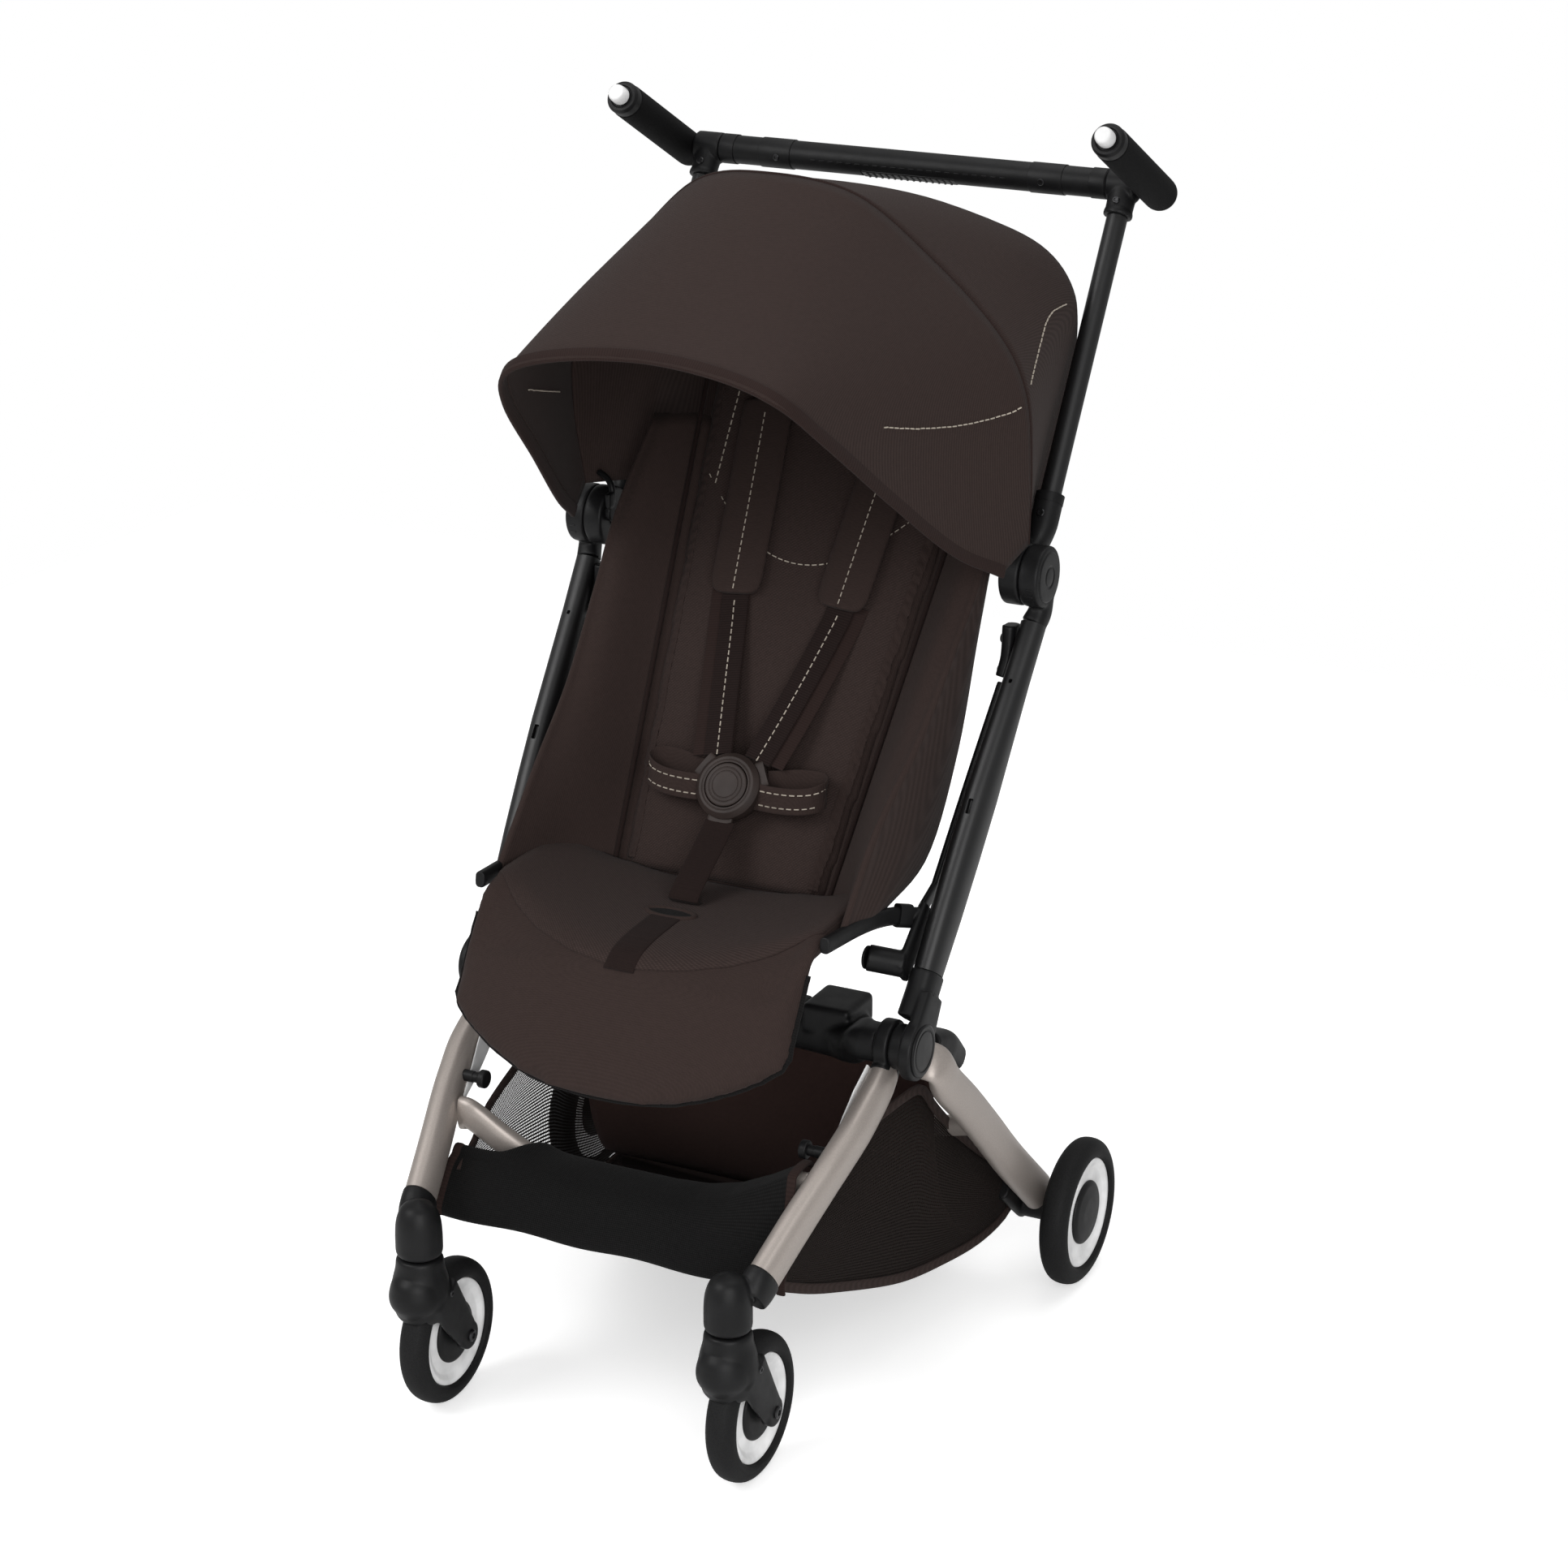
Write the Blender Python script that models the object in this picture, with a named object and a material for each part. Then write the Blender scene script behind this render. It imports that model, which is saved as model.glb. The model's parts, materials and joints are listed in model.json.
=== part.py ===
"""A compact folding travel pushchair, modelled piece by piece in metres, +Z up.

The front faces -Y and the pushchair's own left is +X. The origin is on the floor,
below the middle of the object. Every piece is a named object; what moves hangs from
an empty on the axis that it turns or slides on.
"""

import math

import bmesh
import bpy
from mathutils import Matrix, Vector

# Fits shared by all pieces
GAP = 0.0003
CLOTH = 0.0026

# Half the seat's width; the frame's places across are set off from it
SEAT_HALF = 0.1562

# Frame hinge, where the handle folds forward over the seat
HINGE_Y = 0.110
HINGE_Z = 0.660
HINGE_RADIUS = 0.026
HINGE_OUTER_X = SEAT_HALF + 0.0668
HINGE_SPLIT_X = SEAT_HALF + 0.0485
HINGE_INNER_X = SEAT_HALF + 0.0308
HINGE_OFFSET = 0.0206

# Lower main tubes and the hubs at their feet
MAIN_LEAN = math.radians(35.2)
MAIN_LENGTH = 0.404
MAIN_TOP_X = SEAT_HALF + 0.0564
MAIN_FOOT_X = SEAT_HALF + 0.0403
MAIN_NECK_WIDTH = 0.021
MAIN_BELLY_WIDTH = 0.024
MAIN_BELLY_DEPTH = 0.038
MAIN_NECK_DROP = 0.036
HUB_SLEEVE = 0.064
HUB_RADIUS = 0.0255
HUB_OUTER_X = SEAT_HALF + 0.0563
HUB_PLATE = 0.012
HUB_PIN_RADIUS = 0.004
HUB_PIN_END = SEAT_HALF + 0.0190
TUBE_SIDES = 12

# Handle above the hinge
HANDLE_LEAN = math.radians(32.2)
HANDLE_LENGTH = 0.352
HANDLE_X = SEAT_HALF + 0.0418
HANDLE_RADIUS = 0.009
SLEEVE_RADIUS = 0.012
SLEEVE_TOP = 0.072
COLLAR_RADIUS = 0.0135
COLLAR_DROP = 0.0285
CROSSBAR_RADIUS = 0.0125
GRIP_RADIUS = 0.015
GRIP_TILT = math.radians(28.0)
GRIP_REACH = 0.128
GRIP_TAIL = 0.0228
CAP_RADIUS = 0.008
CAP_LENGTH = 0.0125
TRIGGER_LENGTH = 0.090
TRIGGER_WIDTH = 0.012
TRIGGER_DEPTH = 0.012
TRIGGER_STROKE = 0.005

# Front legs and casters
FRONT_EAR_INNER_X = SEAT_HALF + 0.0198
FRONT_EAR_WIDTH = 0.0122
FRONT_LEG_WIDTH = 0.023
FRONT_LEG_DEPTH = 0.034
FRONT_LEG_FOOT = (SEAT_HALF + 0.0036, -0.2780, 0.1900)
CASTER_X = SEAT_HALF - 0.0142
CASTER_Y = -0.3146
CASTER_SPLIT_Z = 0.1485
CASTER_RADIUS = 0.0195
CASTER_TRAIL = 0.0373
FRONT_WHEEL_RADIUS = 0.062
REAR_WHEEL_RADIUS = 0.066
WHEEL_WIDTH = 0.026
FRONT_DISC_RADIUS = 0.0461
REAR_DISC_RADIUS = 0.0496
FORK_ARM = 0.0095
FORK_CLEARANCE = 0.0017
FORK_TIP_RADIUS = 0.0125
WHEEL_STEPS = 24
AXLE_RADIUS = 0.003

# Rear legs and axle
REAR_X = SEAT_HALF + 0.0908
REAR_Y = 0.1535
REAR_LEG_X = SEAT_HALF + 0.0553
REAR_LEG_WIDTH = 0.022
REAR_LEG_DEPTH = 0.038
REAR_LEG_FOOT = (REAR_LEG_X, 0.1460, 0.0810)
REAR_EAR_INNER_X = SEAT_HALF + 0.0323
EAR_RADIUS = 0.019
EAR_PLATE = 0.0117
HOUSING_PLATE = 0.0115
HOUSING_BOSS_RADIUS = 0.0148
PEDAL_Y = 0.142
PEDAL_Z = 0.083
PEDAL_REACH = 0.046
PEDAL_WIDTH = 0.020

# Seat
BACK_LEAN = math.radians(33.5)
CREASE_Y = -0.050
CREASE_Z = 0.419
BACK_HEIGHT = 0.500
BACK_THICK = 0.020
BACK_FOOT_HALF = SEAT_HALF - 0.0562
BACK_HEAD_HALF = SEAT_HALF - 0.0162
SEAT_THICK = 0.024
SEAT_BAR_X = SEAT_HALF + 0.0018
SEAT_MOUNT_X = SEAT_HALF + 0.0306
SEAT_MOUNT_PLATE = 0.008
STRUT_FOOT_X = SEAT_HALF + 0.0193
PEG_X = SEAT_HALF - 0.0012
WING_GAP = 0.004
KNEE_Y = -0.165
KNEE_Z = 0.405
KNEE_RADIUS = 0.0285
LEG_REST_HALF = SEAT_HALF - 0.0042
LEG_REST_THICK = 0.0145
LEG_REST_SECTIONS = 17
BUCKLE_RADIUS = 0.0285
BUCKLE_THICK = 0.016
BUTTON_RADIUS = 0.017
BUTTON_STROKE = 0.0025
BUCKLE_CENTRE = Vector((0.0, -0.0350, 0.4870))

# Canopy, which turns about its own pivot beside the hinge
CANOPY_Y = 0.100
CANOPY_Z = 0.667
CANOPY_HALF = SEAT_HALF + 0.0573
CLIP_PLATE = 0.0055
CLIP_RADIUS = 0.009
CANOPY_COLUMNS = 25
CANOPY_ROWS = 5
CANOPY_SEAM = 0.0019
CANOPY_SWELL = 0.004

# Basket
BASKET_HALF = SEAT_HALF + 0.0159
BASKET_FLARE = 0.1037
BASKET_BACK_Z = 0.120
BASKET_BACK_DROP = 0.80


FINISHES = {
    "black_plastic": ((0.012, 0.012, 0.013, 1.0), 0.45, 0.0),
    "black_tube": ((0.014, 0.014, 0.015, 1.0), 0.38, 0.3),
    "champagne_metal": ((0.36, 0.31, 0.28, 1.0), 0.42, 0.8),
    "white_plastic": ((0.78, 0.78, 0.78, 1.0), 0.40, 0.0),
    "tyre_rubber": ((0.016, 0.016, 0.017, 1.0), 0.75, 0.0),
    "foam_grip": ((0.010, 0.010, 0.011, 1.0), 0.85, 0.0),
    "brown_fabric": ((0.042, 0.033, 0.030, 1.0), 0.90, 0.0),
    "black_webbing": ((0.020, 0.014, 0.013, 1.0), 0.85, 0.0),
    "black_mesh": ((0.010, 0.010, 0.011, 1.0), 0.80, 0.0),
}


def clear_scene():
    """Remove whatever the start-up scene holds."""
    for thing in list(bpy.data.objects):
        bpy.data.objects.remove(thing)


def finish_named(name):
    """The material of this name, made on first use."""
    if name in bpy.data.materials:
        return bpy.data.materials[name]
    colour, roughness, metallic = FINISHES[name]
    material = bpy.data.materials.new(name)
    material.use_nodes = True
    shader = material.node_tree.nodes["Principled BSDF"]
    shader.inputs["Base Color"].default_value = colour
    shader.inputs["Roughness"].default_value = roughness
    shader.inputs["Metallic"].default_value = metallic
    material.diffuse_color = colour
    return material


def pivot(name, place, parent=None):
    """An empty on a joint's axis; place is in world metres."""
    empty = bpy.data.objects.new(name, None)
    empty.empty_display_size = 0.02
    bpy.context.collection.objects.link(empty)
    empty.parent = parent
    empty["place"] = list(place)
    empty.location = Vector(place) - world_place(parent)
    return empty


def world_place(empty):
    """World place of an empty, or of the origin for no empty."""
    return Vector(empty["place"]) if empty else Vector((0.0, 0.0, 0.0))


def piece(name, bm, finish, parent=None, sharp=40.0):
    """Turn a bmesh built in world metres into an object hung from parent."""
    bmesh.ops.translate(bm, verts=bm.verts, vec=-world_place(parent))
    bmesh.ops.recalc_face_normals(bm, faces=bm.faces)
    mesh = bpy.data.meshes.new(name)
    bm.to_mesh(mesh)
    bm.free()
    mesh.shade_smooth()
    mesh.set_sharp_from_angle(angle=math.radians(sharp))
    mesh.materials.append(finish_named(finish))
    thing = bpy.data.objects.new(name, mesh)
    bpy.context.collection.objects.link(thing)
    thing.parent = parent
    return thing


def combine(thing, bm, operation, parent=None):
    """Union or cut thing with a hidden helper built in world metres."""
    helper = piece(f"{thing.name}_{operation.lower()}_{len(thing.modifiers)}", bm, "black_plastic", parent)
    helper.hide_render = True
    helper.display_type = "WIRE"
    modifier = thing.modifiers.new(operation.title(), "BOOLEAN")
    modifier.operation = operation
    modifier.object = helper
    return thing


def oval(centre, side, up, half_side, half_up, count, power=2.0):
    """Points of an oval section; a power above 2 squares its corners."""
    points = []
    for step in range(count):
        turn = 2.0 * math.pi * (step + 0.5) / count
        across = math.copysign(abs(math.cos(turn)) ** (2.0 / power), math.cos(turn))
        along = math.copysign(abs(math.sin(turn)) ** (2.0 / power), math.sin(turn))
        points.append(centre + side * half_side * across + up * half_up * along)
    return points


def chain(bm, points, closed):
    """Vertices and the edges that join them in order; returns the edges."""
    verts = [bm.verts.new(point) for point in points]
    ends = list(zip(verts, verts[1:]))
    if closed:
        ends.append((verts[-1], verts[0]))
    return [bm.edges.new(pair) for pair in ends]


def loft(sections):
    """A closed solid through closed sections with equal counts."""
    bm = bmesh.new()
    rings = [chain(bm, points, closed=True) for points in sections]
    for first, second in zip(rings, rings[1:]):
        bmesh.ops.bridge_loops(bm, edges=first + second)
    for ring in (rings[0], rings[-1]):
        bmesh.ops.edgeloop_fill(bm, edges=ring)
    return bm


def sheet(rows):
    """An open surface through rows of points with equal counts."""
    bm = bmesh.new()
    chains = [chain(bm, points, closed=False) for points in rows]
    for first, second in zip(chains, chains[1:]):
        bmesh.ops.bridge_loops(bm, edges=first + second)
    return bm


def thicken(thing, thickness, offset=-1.0):
    """Give a surface its cloth thickness."""
    modifier = thing.modifiers.new("Thickness", "SOLIDIFY")
    modifier.thickness = thickness
    modifier.offset = offset
    modifier.use_even_offset = True
    return thing


def sweep(path, widths, depths, count, power=2.0, across=Vector((1.0, 0.0, 0.0))):
    """A tube along path, width measured near across and depth square to it."""
    sections = []
    for index, centre in enumerate(path):
        before = path[max(index - 1, 0)]
        after = path[min(index + 1, len(path) - 1)]
        along = (after - before).normalized()
        up = along.cross(across).normalized()
        side = up.cross(along).normalized()
        sections.append(oval(centre, side, up, widths[index] / 2, depths[index] / 2, count, power))
    return loft(sections)


def smooth_path(points, count):
    """Evenly numbered points on a Catmull-Rom curve through the given ones."""
    points = [Vector(point) for point in points]
    ends = [points[0] * 2 - points[1]] + points + [points[-1] * 2 - points[-2]]
    spans = len(points) - 1
    path = []
    for step in range(count):
        place = spans * step / (count - 1)
        span = min(int(place), spans - 1)
        t = place - span
        a, b, c, d = ends[span : span + 4]
        path.append(
            0.5 * (2 * b + (c - a) * t + (2 * a - 5 * b + 4 * c - d) * t * t + (3 * b - a - 3 * c + d) * t ** 3)
        )
    return path


def turned(profile, centre, axis, steps):
    """A turned piece: profile holds (radius, distance along axis) pairs.

    A profile that starts and ends on the axis is solid; any other is a closed ring.
    """
    bm = bmesh.new()
    solid = profile[0][0] == 0.0 and profile[-1][0] == 0.0
    chain(bm, [Vector((radius, 0.0, along)) for radius, along in profile], closed=not solid)
    bmesh.ops.spin(
        bm, geom=bm.verts[:] + bm.edges[:], cent=(0, 0, 0), axis=(0, 0, 1), dvec=(0, 0, 0),
        angle=2.0 * math.pi, steps=steps, use_merge=True, use_duplicate=False,
    )
    bmesh.ops.remove_doubles(bm, verts=bm.verts, dist=1e-6)
    turn = Vector((0.0, 0.0, 1.0)).rotation_difference(Vector(axis)).to_matrix().to_4x4()
    bmesh.ops.transform(bm, matrix=Matrix.Translation(centre) @ turn, verts=bm.verts)
    return bm


def rod(start, end, radius, steps):
    """A plain round bar between two points."""
    start = Vector(start)
    length = (Vector(end) - start).length
    profile = [(0.0, 0.0), (radius, 0.0), (radius, length), (0.0, length)]
    return turned(profile, start, (Vector(end) - start).normalized(), steps)


def block(centre, side, up, size):
    """A box of size (along side, along up, along their cross product)."""
    bm = bmesh.new()
    bmesh.ops.create_cube(bm, size=1.0)
    third = side.cross(up)
    frame = Matrix((side * size[0], up * size[1], third * size[2])).transposed().to_4x4()
    bmesh.ops.transform(bm, matrix=Matrix.Translation(centre) @ frame, verts=bm.verts)
    return bm


def spread(bm, outline, shift):
    """Extrude a filled outline by shift into a solid."""
    face = bm.faces.new([bm.verts.new(point) for point in outline])
    made = bmesh.ops.extrude_face_region(bm, geom=[face])["geom"]
    bmesh.ops.translate(bm, verts=[item for item in made if isinstance(item, bmesh.types.BMVert)], vec=shift)
    return bm


def link(first, first_radius, second, second_radius, x_from, x_to, steps=7):
    """A flat bar round two (y, z) centres, from one x to the other."""
    ahead = math.atan2(second[1] - first[1], second[0] - first[0])
    reach = math.hypot(second[0] - first[0], second[1] - first[1])
    opening = math.acos((first_radius - second_radius) / reach)
    outline = []
    for centre, radius, start, turn in (
        (first, first_radius, opening, 2.0 * math.pi - 2.0 * opening),
        (second, second_radius, -opening, 2.0 * opening),
    ):
        for step in range(steps):
            angle = ahead + start + turn * step / (steps - 1)
            outline.append(Vector((x_from, centre[0] + radius * math.cos(angle), centre[1] + radius * math.sin(angle))))
    return spread(bmesh.new(), outline, Vector((x_to - x_from, 0.0, 0.0)))


def main_point(along, offset=HINGE_OFFSET, x=0.0):
    """A point beside the lower main tube: along is down it from the hinge."""
    y = HINGE_Y - along * math.sin(MAIN_LEAN) + offset * math.cos(MAIN_LEAN)
    z = HINGE_Z - along * math.cos(MAIN_LEAN) - offset * math.sin(MAIN_LEAN)
    return Vector((x, y, z))


def handle_point(along, offset=HINGE_OFFSET, x=0.0):
    """A point beside the handle tube: along is up it from the hinge."""
    y = HINGE_Y + along * math.sin(HANDLE_LEAN) + offset * math.cos(HANDLE_LEAN)
    z = HINGE_Z + along * math.cos(HANDLE_LEAN) - offset * math.sin(HANDLE_LEAN)
    return Vector((x, y, z))


def main_x(along):
    """The lower main tube leans inwards towards its foot."""
    return MAIN_TOP_X + (MAIN_FOOT_X - MAIN_TOP_X) * along / MAIN_LENGTH


HUB = main_point(MAIN_LENGTH)
X_AXIS = Vector((1.0, 0.0, 0.0))
MAIN_UP = Vector((0.0, math.sin(MAIN_LEAN), math.cos(MAIN_LEAN)))
HANDLE_UP = Vector((0.0, math.sin(HANDLE_LEAN), math.cos(HANDLE_LEAN)))
BACK_UP = Vector((0.0, math.sin(BACK_LEAN), math.cos(BACK_LEAN)))
BACK_FRONT = Vector((0.0, -math.cos(BACK_LEAN), math.sin(BACK_LEAN)))
SIDES = (("left", 1.0), ("right", -1.0))


def disc_profile(radius, thickness, edge):
    """Profile of a solid disc with a broken edge."""
    return [
        (0.0, 0.0), (radius - edge, 0.0), (radius, edge),
        (radius, thickness - edge), (radius - edge, thickness), (0.0, thickness),
    ]


def bored_disc(radius, bore, thickness, edge):
    """Profile of a ring with a broken outer edge."""
    return [
        (bore, 0.0), (radius - edge, 0.0), (radius, edge),
        (radius, thickness - edge), (radius - edge, thickness), (bore, thickness),
    ]


def across(point, sign):
    """A right-hand (x, y, z) point on the side that sign gives."""
    return Vector((point[0] * sign, point[1], point[2]))


def reach(start, end, x, along, down):
    """A point between two others: along and down are its shares of their distance in Y and in Z."""
    return (x, start[1] + (end[1] - start[1]) * along, start[2] + (end[2] - start[2]) * down)


def build_main_frame():
    """Lower main tubes, hubs with their pivot pins, and hinge bases."""
    tube_end = MAIN_LENGTH - HUB_SLEEVE
    for name, sign in SIDES:
        stations = (MAIN_NECK_DROP, 0.11, 0.17, 0.23, 0.29, tube_end)
        widths = (MAIN_NECK_WIDTH, 0.0215, 0.023, MAIN_BELLY_WIDTH, MAIN_BELLY_WIDTH, 0.022)
        depths = (MAIN_NECK_WIDTH, 0.026, 0.033, MAIN_BELLY_DEPTH, MAIN_BELLY_DEPTH, 0.033)
        up = MAIN_UP.cross(X_AXIS)
        piece(f"main_tube_{name}", loft([
            oval(main_point(along, x=sign * main_x(along)), X_AXIS, up, width / 2, depth / 2, TUBE_SIDES, 2.3)
            for along, width, depth in zip(stations, widths, depths)
        ]), "black_tube")
        plate_x = HUB_OUTER_X - HUB_PLATE / 2
        start = tube_end + GAP
        neck = (
            (start, main_x(start), 0.022, 0.033),
            (MAIN_LENGTH - HUB_RADIUS - 0.010, main_x(MAIN_LENGTH), 0.021, 0.031),
            (MAIN_LENGTH - HUB_RADIUS + 0.002, plate_x, HUB_PLATE - 0.0006, 0.030),
            (MAIN_LENGTH - 0.008, plate_x, HUB_PLATE - 0.0006, 0.028),
        )
        hub = piece(f"hub_{name}", loft([
            oval(main_point(along, x=sign * x), X_AXIS, up, width / 2, depth / 2, TUBE_SIDES, 2.3)
            for along, x, width, depth in neck
        ]), "black_plastic")
        face = Vector((sign * (HUB_OUTER_X - HUB_PLATE), HUB.y, HUB.z))
        combine(hub, turned(disc_profile(HUB_RADIUS, HUB_PLATE, 0.0015), face, X_AXIS * sign, 24), "UNION")
        pin = rod((sign * HUB_PIN_END, HUB.y, HUB.z), (sign * plate_x, HUB.y, HUB.z), HUB_PIN_RADIUS, 10)
        combine(hub, pin, "UNION")

        thick = HINGE_OUTER_X - HINGE_SPLIT_X
        inner = Vector((sign * HINGE_SPLIT_X, HINGE_Y, HINGE_Z))
        base = piece(
            f"hinge_base_{name}",
            turned(disc_profile(HINGE_RADIUS, thick, 0.002), inner, X_AXIS * sign, 24), "black_plastic",
        )
        neck_x = HINGE_SPLIT_X + thick / 2
        neck = (
            (0.0, 0.010, neck_x, thick / 2 - 0.0006, 0.012),
            (0.026, HINGE_OFFSET, neck_x, thick / 2 - 0.0006, 0.011),
            (MAIN_NECK_DROP - GAP, HINGE_OFFSET, main_x(MAIN_NECK_DROP), MAIN_NECK_WIDTH / 2, MAIN_NECK_WIDTH / 2),
        )
        combine(base, loft([
            oval(main_point(along, offset, sign * x), X_AXIS, up, width, depth, TUBE_SIDES)
            for along, offset, x, width, depth in neck
        ]), "UNION")


def build_handle(hinge):
    """Handle tubes, hinge heads, collars, crossbar, grips and the fold trigger."""
    collar_foot = HANDLE_LENGTH - COLLAR_DROP
    centre = handle_point(HANDLE_LENGTH)
    bar_half = HANDLE_X - COLLAR_RADIUS - GAP
    tee_end = HANDLE_X + COLLAR_RADIUS - 0.0015
    up = HANDLE_UP.cross(X_AXIS)
    for name, sign in SIDES:
        inner = Vector((sign * HINGE_INNER_X, HINGE_Y, HINGE_Z))
        thick = HINGE_SPLIT_X - GAP - HINGE_INNER_X
        head = piece(
            f"hinge_head_{name}",
            turned(disc_profile(HINGE_RADIUS, thick, 0.002), inner, X_AXIS * sign, 24), "black_plastic", hinge,
        )
        head_x = HINGE_INNER_X + thick / 2
        sleeve = (
            (0.0, 0.010, head_x, thick / 2 - 0.0006, 0.012),
            (0.026, HINGE_OFFSET, head_x, thick / 2 - 0.0006, 0.0115),
            (0.040, HINGE_OFFSET, HANDLE_X, SLEEVE_RADIUS, SLEEVE_RADIUS),
            (SLEEVE_TOP, HINGE_OFFSET, HANDLE_X, SLEEVE_RADIUS, SLEEVE_RADIUS),
        )
        combine(head, loft([
            oval(handle_point(along, offset, sign * x), X_AXIS, up, width, depth, TUBE_SIDES)
            for along, offset, x, width, depth in sleeve
        ]), "UNION", hinge)

        foot = handle_point(SLEEVE_TOP + GAP, x=sign * HANDLE_X)
        top = handle_point(collar_foot - GAP, x=sign * HANDLE_X)
        piece(f"handle_tube_{name}", rod(foot, top, HANDLE_RADIUS, TUBE_SIDES), "black_tube", hinge)

        tee = rod((sign * (HANDLE_X - COLLAR_RADIUS), centre.y, centre.z), (sign * tee_end, centre.y, centre.z),
                  COLLAR_RADIUS, TUBE_SIDES)
        collar = piece(f"collar_{name}", tee, "black_plastic", hinge)
        stem = rod(handle_point(collar_foot, x=sign * HANDLE_X), handle_point(HANDLE_LENGTH, x=sign * HANDLE_X),
                   COLLAR_RADIUS - 0.002, TUBE_SIDES)
        combine(collar, stem, "UNION", hinge)

        forward = Vector((0.0, -math.cos(GRIP_TILT), math.sin(GRIP_TILT)))
        axis = Vector((sign * (tee_end + GAP + GRIP_RADIUS), centre.y, centre.z))
        profile = [
            (0.0, -GRIP_TAIL), (GRIP_RADIUS - 0.006, -GRIP_TAIL), (GRIP_RADIUS - 0.0015, 0.0035 - GRIP_TAIL),
            (GRIP_RADIUS, 0.008 - GRIP_TAIL), (GRIP_RADIUS, GRIP_REACH - 0.004),
            (GRIP_RADIUS - 0.003, GRIP_REACH), (0.0, GRIP_REACH),
        ]
        piece(f"grip_{name}", turned(profile, axis, forward, 16), "foam_grip", hinge)
        start = GRIP_REACH + GAP
        profile = [
            (0.0, start), (CAP_RADIUS, start), (CAP_RADIUS, start + CAP_LENGTH * 0.55),
            (CAP_RADIUS * 0.72, start + CAP_LENGTH * 0.88), (0.0, start + CAP_LENGTH),
        ]
        piece(f"grip_cap_{name}", turned(profile, axis, forward, 10), "white_plastic", hinge)

    bar = piece(
        "crossbar",
        rod((-bar_half, centre.y, centre.z), (bar_half, centre.y, centre.z), CROSSBAR_RADIUS, 16),
        "black_plastic", hinge,
    )
    down = -HANDLE_UP
    bottom = CROSSBAR_RADIUS + 0.001
    pocket = centre + down * (bottom - (TRIGGER_DEPTH + 0.001) / 2)
    size = (TRIGGER_LENGTH, TRIGGER_DEPTH + 0.001, TRIGGER_WIDTH)
    combine(bar, block(pocket, X_AXIS, down, size), "DIFFERENCE", hinge)
    slide = pivot("fold_trigger_slide", centre + down * CROSSBAR_RADIUS, hinge)
    key_depth = TRIGGER_DEPTH - TRIGGER_STROKE - 0.0005
    key = centre + down * (CROSSBAR_RADIUS - 0.0005 - key_depth / 2)
    size = (TRIGGER_LENGTH - 2 * GAP, key_depth, TRIGGER_WIDTH - 2 * GAP)
    piece("fold_trigger", block(key, X_AXIS, down, size), "black_plastic", slide)


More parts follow.
